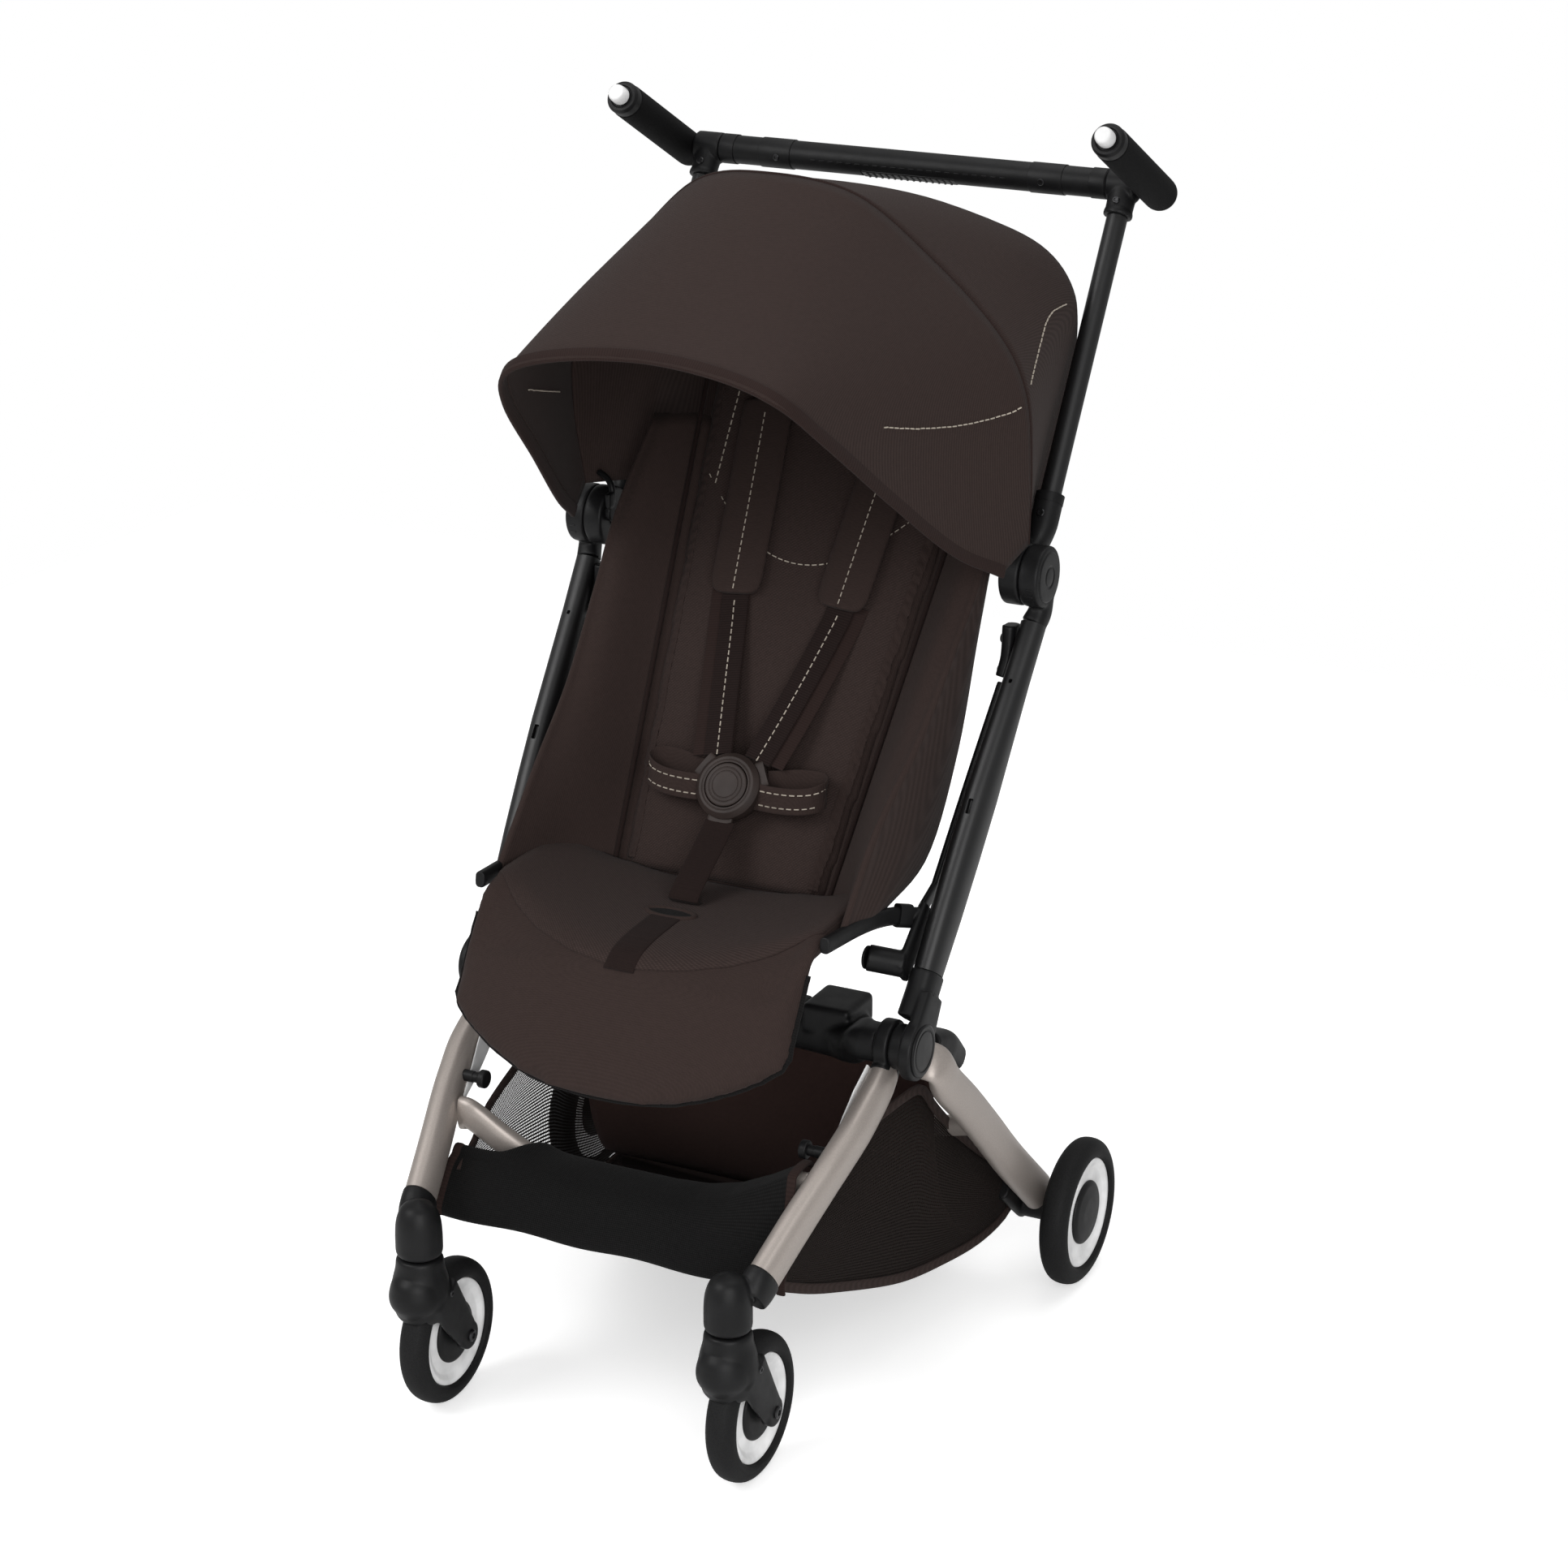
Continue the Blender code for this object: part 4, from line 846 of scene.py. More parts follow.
def laid(columns: int, rows: int, place: Place, cut: tuple[float, float] = (1.0, 1.0)) -> bmesh.types.BMesh:
    """A grid laid out by a function, with its map in metres.

    Args:
        columns: faces across.
        rows: faces along.
        place: gives a point for (across, along), each from 0 to 1.
        cut: the cloth's width and length, for the map.

    Returns:
        The mesh.
    """
    bm = bmesh.new()
    layer = bm.loops.layers.uv.new("UVMap")
    bmesh.ops.create_grid(bm, x_segments=columns, y_segments=rows, size=0.5)
    for face in bm.faces:
        for loop in face.loops:
            spot = loop.vert.co
            loop[layer].uv = ((spot.x + 0.5) * cut[0], (spot.y + 0.5) * cut[1])
    for vert in bm.verts:
        vert.co = place(vert.co.x + 0.5, vert.co.y + 0.5)
    return bm


def swept(
    path: Sequence[Vector], widths: Sequence[float], depths: Sequence[float], sides: int = 28,
    power: float = 2.0, across: Vector = X_AXIS,
) -> bmesh.types.BMesh:
    """A closed bar along a path.

    Args:
        path: the centre line.
        widths: widths along it, measured near across.
        depths: depths along it, square to the width.
        sides: faces round it.
        power: 2 for an oval; more squares its corners.
        across: direction that the width is measured near.

    Returns:
        The mesh.
    """
    last = len(path) - 1

    def place(u: float, v: float) -> Vector:
        index = round(v * last)
        along = heading(path, index)
        up = along.cross(across).normalized()
        x, y = squared(math.tau * u, 2.0 / power, 2.0 / power)
        half_x, half_y = pick(widths, index / last) / 2, pick(depths, index / last) / 2
        return path[index] + up.cross(along).normalized() * half_x * x + up * half_y * y

    girth = math.pi * (widths[0] + depths[0]) / 2
    return capped(laid(sides, last, place, (girth, length_of(path))))


def turned(
    profile: Sequence[tuple[float, float]], centre: Sequence[float], axis: Sequence[float], steps: int = 48
) -> bmesh.types.BMesh:
    """A turned piece.

    Args:
        profile: (radius, distance along the axis) pairs; it is closed if it doesn't end on the axis.
        centre: where distance 0 lies.
        axis: direction of the axis.
        steps: faces round it.

    Returns:
        The mesh.
    """
    bm = bmesh.new()
    verts = [bm.verts.new((radius, 0.0, along)) for radius, along in profile]
    for pair in zip(verts, verts[1:]):
        bm.edges.new(pair)
    if profile[0][0] > 0.0:
        bm.edges.new((verts[-1], verts[0]))
    bmesh.ops.spin(
        bm, geom=bm.verts[:] + bm.edges[:], cent=(0, 0, 0), axis=(0, 0, 1), dvec=(0, 0, 0),
        angle=math.tau, steps=steps, use_merge=True, use_duplicate=False,
    )
    bmesh.ops.remove_doubles(bm, verts=bm.verts, dist=MERGE)
    turn = Z_AXIS.rotation_difference(Vector(axis)).to_matrix().to_4x4()
    bmesh.ops.transform(bm, matrix=Matrix.Translation(centre) @ turn, verts=bm.verts)
    return bm


def rounded(
    points: Sequence[tuple[float, float]], radius: float, steps: int = 4
) -> list[tuple[float, float]]:
    """A profile with its inner corners rounded.

    Args:
        points: (radius, along) pairs.
        radius: the largest rounding.
        steps: points on each round.

    Returns:
        The rounded profile.
    """
    flat = [Vector(point) for point in points]
    found = [tuple(flat[0])]
    for before, corner, after in zip(flat, flat[1:], flat[2:]):
        reach = min(radius, (before - corner).length * 0.49, (after - corner).length * 0.49)
        start = corner + (before - corner).normalized() * reach
        end = corner + (after - corner).normalized() * reach
        for step in range(steps + 1):
            t = step / steps
            found.append(tuple(start * (1 - t) ** 2 + corner * 2 * t * (1 - t) + end * t * t))
    found.append(tuple(flat[-1]))
    return found


def blocked(
    centre: Sequence[float], side: Vector, up: Vector, size: Sequence[float], round_off: float = 0.0
) -> bmesh.types.BMesh:
    """A block with rounded edges.

    Args:
        centre: its middle.
        side: direction of its first size.
        up: direction of its second size.
        size: three sizes.
        round_off: radius of its edges.

    Returns:
        The mesh.
    """
    bm = bmesh.new()
    bmesh.ops.create_cube(bm, size=1.0)
    bmesh.ops.scale(bm, vec=size, verts=bm.verts)
    if round_off:
        bmesh.ops.bevel(
            bm, geom=bm.edges[:], offset=round_off, affect="EDGES", segments=3, profile=0.5, material=-1
        )
    frame = Matrix((side, up, side.cross(up))).transposed().to_4x4()
    bmesh.ops.transform(bm, matrix=Matrix.Translation(centre) @ frame, verts=bm.verts)
    return bm


def joined(parts: Sequence[bmesh.types.BMesh]) -> bmesh.types.BMesh:
    """Several meshes as one; the parts are freed."""
    bm = parts[0]
    for part in parts[1:]:
        mesh = bpy.data.meshes.new("part")
        part.to_mesh(mesh)
        part.free()
        bm.from_mesh(mesh)
        bpy.data.meshes.remove(mesh)
    return bm


def puck(
    centre: Sequence[float], axis: Sequence[float], radius: float, thick: float, edge: float = 0.0015,
    steps: int = 64,
) -> bmesh.types.BMesh:
    """A solid disc with a rounded rim.

    Args:
        centre: the middle of its first face.
        axis: direction of its thickness.
        radius: its radius.
        thick: its thickness.
        edge: radius of the rim's rounding.
        steps: faces round it.

    Returns:
        The mesh.
    """
    profile = rounded([(0.0, 0.0), (radius, 0.0), (radius, thick), (0.0, thick)], edge)
    return turned(profile, centre, axis, steps)


def bar(
    points: Sequence[Sequence[float]], widths: Sequence[float], depths: Sequence[float], count: int = 24,
    **how: object
) -> bmesh.types.BMesh:
    """A closed bar along an even curve through points.

    Args:
        points: points on its centre line.
        widths: widths along it.
        depths: depths along it.
        count: sections along it.
        how: what else swept takes.

    Returns:
        The mesh.
    """
    return swept(even_path(points, count), widths, depths, **how)


def screw(centre: Sequence[float], axis: Sequence[float], radius: float) -> bmesh.types.BMesh:
    """A round screw head with a socket.

    Args:
        centre: the middle of its seat.
        axis: direction that it faces.
        radius: its radius.

    Returns:
        The mesh.
    """
    deep = radius * 0.5
    profile = [(0.0, 0.0), (radius, 0.0), (radius, deep * 0.6), (radius * 0.8, deep), (radius * 0.5, deep),
               (radius * 0.46, deep * 0.5), (0.0, deep * 0.45)]
    return turned(profile, centre, axis, 24)


class Surface:
    """A finished surface on which thread, tape and panels are laid."""

    def __init__(self, *things: bpy.types.Object) -> None:
        """Read the surfaces.

        Args:
            things: the pieces, with their modifiers.
        """
        graph = bpy.context.evaluated_depsgraph_get()
        graph.update()
        self.trees = [BVHTree.FromObject(thing, graph) for thing in things]

    def nearest(self, point: Vector, lift: float = 0.0) -> tuple[Vector, Vector]:
        """The nearest place on the surface.

        Args:
            point: a point near it.
            lift: distance to rise off it, to the side where point lies.

        Returns:
            The place and the direction out of the surface there.
        """
        best = min((tree.find_nearest(point) for tree in self.trees), key=lambda found: found[3])
        spot, normal = best[0], best[1]
        if (point - spot).dot(normal) < 0.0:
            normal = -normal
        return spot + normal * lift, normal

    def cast(self, point: Vector, direction: Vector, lift: float = 0.0) -> Vector:
        """Where a ray meets the surface.

        Args:
            point: where it starts.
            direction: its direction.
            lift: distance to rise off the surface, back along the ray.

        Returns:
            The place, or the point itself where the ray misses.
        """
        hits = [tree.ray_cast(point, direction) for tree in self.trees]
        hits = [hit for hit in hits if hit[0] is not None]
        if not hits:
            return point
        return min(hits, key=lambda hit: hit[3])[0] - direction.normalized() * lift


def stitches(
    path: Sequence[Vector], dash: float = 0.0042, gap: float = 0.0022, thick: float = 0.0011
) -> bmesh.types.BMesh:
    """A row of stitches.

    Args:
        path: the seam's line, on the cloth.
        dash: length of a stitch.
        gap: length between two.
        thick: the thread's thickness.

    Returns:
        The mesh, with one short bar for each stitch.
    """
    count = max(int(length_of(path) / (dash + gap)), 1)
    points = even_path(path, count * 2 + 1)
    parts = []
    for index in range(count):
        first = points[index * 2]
        ends = (first, first.lerp(points[index * 2 + 1], 2 * dash / (dash + gap) - 0.02))
        along = ends[1] - ends[0]
        if along.length < 1e-5:
            continue
        bar = bmesh.new()
        bmesh.ops.create_cone(
            bar, cap_ends=True, segments=5, radius1=thick / 2, radius2=thick / 2, depth=along.length
        )
        turn = Z_AXIS.rotation_difference(along.normalized()).to_matrix().to_4x4()
        bmesh.ops.transform(bar, matrix=Matrix.Translation((ends[0] + ends[1]) / 2) @ turn, verts=bar.verts)
        parts.append(bar)
    return joined(parts)


def tape(
    path: Sequence[Vector], widths: Sequence[float], facing: Sequence[Vector] | Vector, thick: float,
    columns: int = 6, crown: float = 0.0,
) -> bmesh.types.BMesh:
    """A flat strap with rounded edges, and its map in metres.

    Args:
        path: its centre line.
        widths: widths along it.
        facing: direction out of its face, the same everywhere or one for each point.
        thick: its thickness.
        columns: faces across.
        crown: height of its middle over its edges.

    Returns:
        The mesh.
    """
    length = length_of(path)
    last = len(path) - 1

    def place(u: float, v: float) -> Vector:
        index = round(v * last)
        along = heading(path, index)
        face = facing if isinstance(facing, Vector) else facing[index]
        side = along.cross(face).normalized()
        out = side.cross(along).normalized()
        x, y = squared(math.tau * u, 0.35, 0.8)
        half = pick(widths, index / last) / 2
        lift = crown * (1.0 - x * x) if y > 0 else 0.0
        return path[index] + side * half * x + out * (thick / 2 * y + lift)

    return capped(laid(columns * 4, last, place, (sum(widths) / len(widths) * 2, length)))


@dataclass(frozen=True)
class Filling:
    """Cloth simulation that swells a cover like its filling does."""

    voxel: float = 0.005
    pressure: float = 4.0
    frames: int = 20
    most: float = 0.006

    def swell(self, thing: bpy.types.Object) -> None:
        """Swell a closed piece and keep the result.

        Args:
            thing: the piece, whose mesh is replaced.
        """
        remesh = thing.modifiers.new("Even", "REMESH")
        remesh.mode = "VOXEL"
        remesh.voxel_size = self.voxel
        graph = bpy.context.evaluated_depsgraph_get()
        graph.update()
        mesh = bpy.data.meshes.new_from_object(thing.evaluated_get(graph))
        thing.modifiers.clear()
        thing.data = mesh
        rest = [vert.co.copy() for vert in mesh.vertices]
        cloth = thing.modifiers.new("Filling", "CLOTH")
        cloth.settings.use_pressure = True
        cloth.settings.uniform_pressure_force = self.pressure
        cloth.settings.effector_weights.gravity = 0.0
        cloth.settings.quality = 5
        scene = bpy.context.scene
        scene.frame_start = 1
        scene.frame_end = self.frames
        cloth.point_cache.frame_start = 1
        cloth.point_cache.frame_end = self.frames
        for frame in range(1, self.frames + 1):
            scene.frame_set(frame)
        graph = bpy.context.evaluated_depsgraph_get()
        swollen = [vert.co.copy() for vert in thing.evaluated_get(graph).data.vertices]
        thing.modifiers.clear()
        scene.frame_set(1)
        for vert, start, end in zip(mesh.vertices, rest, swollen):
            move = end - start
            if move.length > self.most:
                move *= self.most / move.length
            vert.co = start + move
        relax(mesh, 3)


def back_half(height: float) -> float:
    """Half the backrest's width at a height up it."""
    return 0.100 + 0.040 * height / 0.500


@dataclass
class Canopy:
    """Hood cloth, its hems, bow seam and sewn lines."""

    shop: Workshop
    hem_width: float = 0.0115
    hem_depth: float = 0.0042
    columns: int = 96
    front_stitch: tuple[tuple[float, float], ...] = (
        (1094, 530), (1135, 532), (1184, 528), (1232, 516), (1256, 506)
    )
    rear_stitch: tuple[tuple[float, float], ...] = (
        (1270, 476), (1280, 432), (1288, 400), (1299, 386), (1312, 380),
    )
    inner_stitch: tuple[tuple[float, float], ...] = ((649, 477), (690, 479), (722, 467), (744, 451))
    rim: tuple[Point, ...] = (
        (0.2000, 0.060, 0.6725), (0.1810, 0.004, 0.7030), (0.1610, -0.067, 0.7590),
        (0.1410, -0.147, 0.8250), (0.1180, -0.182, 0.8610), (0.0700, -0.184, 0.8765), (0.0, -0.178, 0.8810),
    )
    bow: tuple[Point, ...] = (
        (0.2085, 0.097, 0.6900), (0.2135, 0.087, 0.760), (0.2090, 0.083, 0.822), (0.1850, 0.078, 0.8700),
        (0.1300, 0.069, 0.926), (0.0700, 0.053, 0.9745), (0.0, 0.036, 0.9880),
    )
    rear: tuple[Point, ...] = (
        (0.1830, 0.150, 0.6840), (0.1850, 0.186, 0.760), (0.1866, 0.224, 0.8200), (0.1850, 0.241, 0.8640),
        (0.1520, 0.242, 0.9040), (0.0800, 0.237, 0.9280), (0.0, 0.232, 0.9340),
    )
    flap: tuple[Point, ...] = (
        (0.1820, 0.156, 0.6780), (0.1770, 0.225, 0.6920), (0.1690, 0.2650, 0.7020),
        (0.1500, 0.2880, 0.6980), (0.1080, 0.3000, 0.6940), (0.0550, 0.3060, 0.6910), (0.0, 0.3080, 0.6900),
    )

    def arch(self, half: Sequence[Point], count: int) -> list[Vector]:
        """A whole arch from its left half."""
        return smooth_path(mirrored(half), count)

    def panel(self, lines: Sequence[Sequence[Vector]], rows: int, swell: float) -> bmesh.types.BMesh:
        """Cloth stretched over arches.

        Args:
            lines: the arches, front to rear.
            rows: faces from the first to the last.
            swell: how far the cloth stands off a straight span, in metres.

        Returns:
            The sheet.
        """
        last = len(lines) - 1

        def place(u: float, v: float) -> Vector:
            column = round(u * self.columns)
            span = min(int(v * last), last - 1)
            t = v * last - span
            point = lines[span][column].lerp(lines[span + 1][column], t)
            if last > 1:
                curved = between([line[column] for line in lines], span, t)
                point = point.lerp(curved, 0.30 if span == 0 else 0.75)
            out = Vector((0.35 * point.x / 0.2, -0.25, 1.0)).normalized()
            height = max(0.0, point.z - 0.70) / 0.25
            return point + out * swell * 4 * v * (1 - v) * min(height, 1.0)

        width = length_of(lines[0])
        depth = (lines[0][self.columns // 2] - lines[-1][self.columns // 2]).length
        return laid(self.columns, rows, place, (width, depth))

    def hem(self, line: Sequence[Vector], name: str, body: str, inner: Vector) -> bpy.types.Object:
        """A bound edge along an arch.

        Args:
            line: the arch.
            name: the piece's name.
            body: the body that it rides on.
            inner: direction from the edge into the cloth.

        Returns:
            The piece.
        """
        facing = []
        for index in range(len(line)):
            facing.append(heading(line, index).cross(inner).normalized())
        bm = tape(line, [self.hem_width] * 2, facing, self.hem_depth, 5)
        return self.shop.piece(name, bm, self.shop.finishes.binding, Slot.CLOTH, body)

    def build(self) -> None:
        """Build the hood."""
        count = self.columns + 1
        rim, bow, rear, flap = (
            self.arch(line, count) for line in (self.rim, self.bow, self.rear, self.flap)
        )
        cloth = self.shop.finishes.cloth
        front = self.shop.piece(
            "hood_front", self.panel([rim, bow], 20, 0.004), cloth, Slot.CLOTH, "canopy", ["canopy_front"],
            closed=False, sharp=SMOOTH, thickness=0.0016,
        )
        back = self.shop.piece(
            "hood_rear", self.panel([bow, rear, flap], 32, 0.0015), cloth, Slot.CLOTH, "handle",
            ["canopy_rear"], closed=False, sharp=SMOOTH, thickness=0.0016,
        )
        inward = [(b - r).normalized() for b, r in zip(bow, rim)]
        hem_line = [point + step * self.hem_width * 0.42 for point, step in zip(rim, inward)]
        self.hem(hem_line, "hood_hem_front", "canopy", Vector((0.0, 0.55, 0.60)))
        seam = [point + Vector((0.0, 0.0, 0.0004)) for point in bow]
        welt = swept(seam, [0.0030] * 2, [0.0030] * 2, 8, across=Y_AXIS)
        self.shop.piece("hood_bow_seam", welt, self.shop.finishes.binding, Slot.CLOTH, "handle")
        second = [point + step * 0.0155 for point, step in zip(rim, inward)]
        front_cloth, rear_cloth = Surface(front), Surface(back)
        ridge = swept([front_cloth.nearest(point)[0] for point in second], [0.0022] * 2, [0.0022] * 2, 8,
                      across=Y_AXIS)
        self.shop.piece("hood_second_seam", ridge, self.shop.finishes.cloth, Slot.CLOTH, "canopy")
        flap_edge = swept(flap, [0.0040] * 2, [0.0040] * 2, 8, across=Z_AXIS)
        self.shop.piece("hood_flap_piping", flap_edge, self.shop.finishes.binding, Slot.CLOTH, "handle")
        eye = Vector(VIEW.eye)
        for name, body, cloth_surface, pixels in (
            ("front", "canopy", front_cloth, self.front_stitch),
            ("rear", "handle", rear_cloth, self.rear_stitch),
            ("inner", "canopy", front_cloth, self.inner_stitch),
        ):
            found = [cloth_surface.cast(eye, VIEW.ray(pixel), 0.0004) for pixel in pixels]
            found = [point for point in found if (point - eye).length > 0.5]
            away = 0.05 if name == "inner" else -0.05
            for side in Side:
                line = [Vector((abs(point.x) * side.value, point.y, point.z)) for point in found]
                line = [point.lerp(Vector((0.0, 0.06, 0.74)), away) for point in even_path(line, 60)]
                thread = stitches([
                    cloth_surface.nearest(point, 0.0006)[0] for point in line
                ], 0.0044, 0.0019, 0.0012)
                self.shop.piece(
                    f"hood_thread_{name}_{side.label}", thread, self.shop.finishes.thread, Slot.CLOTH, body
                )


@dataclass
class Seat:
    """Padded seat, leg rest, backrest and side wings."""

    shop: Workshop
    seat_half: float = 0.1562
    back_height: float = 0.500
    back_thick: float = 0.018

    def cover_section(self, share: float) -> list[Vector]:
        """The seat cover's outline at one place across.

        Args:
            share: from -1 on the right to 1 on the left.

        Returns:
            The outline, top from the crease to the hem, then back underneath.
        """
        side = abs(share)
        blend = side**2.6
        middle = (
            (-0.0440, 0.4070), (-0.0800, 0.4072), (-0.1100, 0.4070), (-0.1380, 0.4067), (-0.1650, 0.4062),
            (-0.1850, 0.4052), (-0.2050, 0.4030), (-0.2250, 0.3970), (-0.2450, 0.3650), (-0.2620, 0.3300),
            (-0.2720, 0.2980),
        )
        edge = (
            (-0.0430, 0.4290), (-0.0760, 0.4340), (-0.1100, 0.4350), (-0.1400, 0.4350), (-0.1650, 0.4335),
            (-0.1780, 0.4300), (-0.1900, 0.4200), (-0.2000, 0.4020), (-0.2130, 0.3800), (-0.2240, 0.3600),
            (-0.2340, 0.3440),
        )
        top = [Vector(a).lerp(Vector(b), blend) for a, b in zip(middle, edge)]
        top = [Vector((0.0, point.x, point.y)) for point in smooth_path([(p.x, p.y, 0.0) for p in top], 41)]
        thick = [0.022 if index < 22 else 0.014 for index in range(41)]
        under = []
        for index in range(40, -1, -1):
            run = heading(top, index)
            reach = thick[index] - 0.002 * max(0.0, side - 0.8) * 5
            under.append(top[index] + Vector((0.0, run.z, -run.y)) * -reach)
        return top + under

    def seat_cover(self) -> bpy.types.Object:
        """One cover over the seat and the leg rest."""
        last = 82

        def place(u: float, v: float) -> Vector:
            share = 2.0 * u - 1.0
            spread = math.copysign(abs(share) ** 0.85, share)
            outline = self.cover_section(spread)
            index = round(v * last)
            point, other = outline[index % last], outline[(last - 1 - index) % last]
            squeeze = (max(0.0, abs(share) - 0.93) / 0.07) ** 2
            flat = point.lerp((point + other) / 2, 0.75 * squeeze)
            return Vector((self.seat_half * spread, flat.y, flat.z))

        bm = capped(laid(48, last, place, (0.33, 0.7)))
        thing = self.shop.piece("seat_cover", bm, self.shop.finishes.cloth, Slot.CLOTH)
        Filling(most=0.004).swell(thing)
        return thing

    def back_pad(self) -> bpy.types.Object:
        """The backrest's padded panel."""
        def place(u: float, v: float) -> Vector:
            height = -0.022 + (self.back_height + 0.020) * v
            end = min(v / 0.03, (1.0 - v) / 0.05, 1.0)
            narrow = 0.86 + 0.14 * math.sqrt(max(0.0, min(end, 1.0)))
            x, y = squared(math.tau * u, 0.5, 0.6)
            half = (back_half(height) - 0.001) * narrow
            rise = -self.back_thick / 2 - 0.001 + self.back_thick / 2 * y * (
                0.35 + 0.65 * math.sqrt(max(0.0, end))
            )
            return PLAN.back(height, rise, half * x)

        bm = capped(laid(64, 70, place, (0.5, self.back_height)))
        thing = self.shop.piece(
            "back_pad", bm, self.shop.finishes.cloth, Slot.CLOTH, "backrest", ["backrest"]
        )
        Filling(most=0.004).swell(thing)
        return thing

    def inlay(
        self, name: str, place: Place, cut: tuple[float, float], columns: int, rows: int
    ) -> bpy.types.Object:
        """A panel of air mesh sewn on a pad.

        Args:
            name: the piece's name.
            place: gives each point on the pad.
            cut: its width and length.
            columns: faces across.
            rows: faces along.

        Returns:
            The piece.
        """
        bm = laid(columns, rows, place, cut)
        return self.shop.piece(
            name, bm, self.shop.finishes.air_mesh, Slot.CLOTH, closed=False, sharp=SMOOTH, thickness=0.0014
        )

    def wing(self, side: Side) -> bpy.types.Object:
        """A padded side wing, from behind the back pad's edge round the front edge to the outer side."""
        heights = (-0.028, 0.060, 0.145, 0.235, 0.310, 0.392)
        seam = [tuple(PLAN.back(height, -0.013, back_half(height) - 0.010)) for height in heights]
        mouth = [tuple(PLAN.back(height, -0.004, back_half(height) + 0.006)) for height in heights]
        inner = (
            (0.1330, -0.0860, 0.4120), (0.1360, -0.0500, 0.4850), (0.1430, 0.0000, 0.5470),
            (0.1500, 0.0500, 0.6160), (0.1560, 0.0950, 0.6750), (0.1520, 0.1520, 0.7450),
        )
        front = (
            (0.1580, -0.1500, 0.4220), (0.1590, -0.0850, 0.4910), (0.1640, -0.0150, 0.5480),
            (0.1690, 0.0450, 0.6160), (0.1720, 0.0920, 0.6740), (0.1640, 0.1480, 0.7450),
        )
        outer = (
            (0.1640, -0.1060, 0.4240), (0.1650, -0.0300, 0.4640), (0.1680, 0.0280, 0.5250),
            (0.1700, 0.0720, 0.6040), (0.1730, 0.1010, 0.6720), (0.1660, 0.1540, 0.7440),
        )
        rear = (
            (0.1600, -0.0800, 0.4200), (0.1600, 0.0080, 0.4380), (0.1610, 0.0640, 0.5120),
            (0.1630, 0.0960, 0.6000), (0.1660, 0.1180, 0.6700), (0.1600, 0.1620, 0.7430),
        )
        lines = [smooth_path(side.line(line), 33) for line in (seam, mouth, inner, front, outer, rear)]
        columns = []
        for row in range(33):
            seam_at, a, b, c, d, e = (line[row] for line in lines)
            knee = [seam_at, a, b, c.lerp(b, 0.22), c, c.lerp(d, 0.22), d, e]
            columns.append(smooth_path(knee, 36))
        bm = laid(35, 32, lambda u, v: columns[round(v * 32)][round(u * 35)], (0.24, 0.42))
        thing = self.shop.piece(
            f"seat_wing_{side.label}", bm, self.shop.finishes.cloth, Slot.CLOTH, None,
            [f"wing_{side.label}"], closed=False, sharp=SMOOTH, thickness=0.0045,
        )
        self.shop.settle(thing)
        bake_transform(thing)
        return thing

    def build(self) -> None:
        """Build the seat's soft parts."""
        cover = self.seat_cover()
        surface = Surface(cover)

        def insert(u: float, v: float) -> Vector:
            share = 2.0 * u - 1.0
            x = 0.149 * share
            reach = -0.047 - v * (0.169 - 0.062 * share * share)
            return surface.cast(Vector((x, reach, 0.50)), Vector((0.0, -0.10, -1.0)), 0.0003)

        panel = self.inlay("seat_air_mesh", insert, (0.30, 0.19), 48, 36)
        back = self.back_pad()
        back_surface = Surface(back)

        def lining(u: float, v: float) -> Vector:
            height = -0.010 + 0.477 * v
            x = (2.0 * u - 1.0) * (back_half(height) - 0.0135)
            start = PLAN.back(height, 0.05, x)
            return back_surface.cast(start, -PLAN.back_front, 0.0003)

        mesh = self.inlay("back_air_mesh", lining, (0.24, 0.477), 44, 72)
        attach(mesh, "backrest")
        for thing in (cover, panel):
            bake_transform(thing)
        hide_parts("seat_pad", "leg_rest")
        for side in Side:
            self.wing(side)
            self.gathers(side, back_surface)
        self.edging(surface)
        arc = (0.126, 0.702), (0.085, 0.672), (0.042, 0.650), (0.0, 0.643)
        spots = [*arc, *((-x, z) for x, z in arc[-2::-1])]
        heights = [(x, (z - PLAN.crease_z) / math.cos(PLAN.back_lean)) for x, z in spots]
        line = [
            back_surface.cast(PLAN.back(height, 0.05, x * 0.86), -PLAN.back_front, 0.0014)
            for x, height in heights
        ]
        lines = [even_path(line, 80)]
        for side in Side:
            column = [PLAN.back(0.33 + 0.02 * step, 0.05, side.value * 0.098) for step in range(8)]
            lines.append([back_surface.cast(point, -PLAN.back_front, 0.0014) for point in column])
        thread = joined([stitches(points) for points in lines])
        self.shop.piece("back_thread", thread, self.shop.finishes.thread, Slot.CLOTH, "backrest")

    def gathers(self, side: Side, surface: Surface) -> None:
        """A gathered strip down the back pad's edge, with piping outside it.

        Args:
            side: its side.
            surface: the back pad.
        """
        finishes = self.shop.finishes

        def place(u: float, v: float) -> Vector:
            height = -0.008 + 0.466 * v
            x = back_half(height) - 0.0150 + 0.0120 * u
            wave = math.sin(
                height * 620.0 + 1.3 * math.sin(height * 95.0) + 2.2 * u
            ) * math.sin(math.pi * min(u + 0.08, 1.0))
            spot = surface.nearest(PLAN.back(height, 0.010, side.value * x))[0]
            return spot + PLAN.back_front * (0.0012 + 0.0007 * wave)

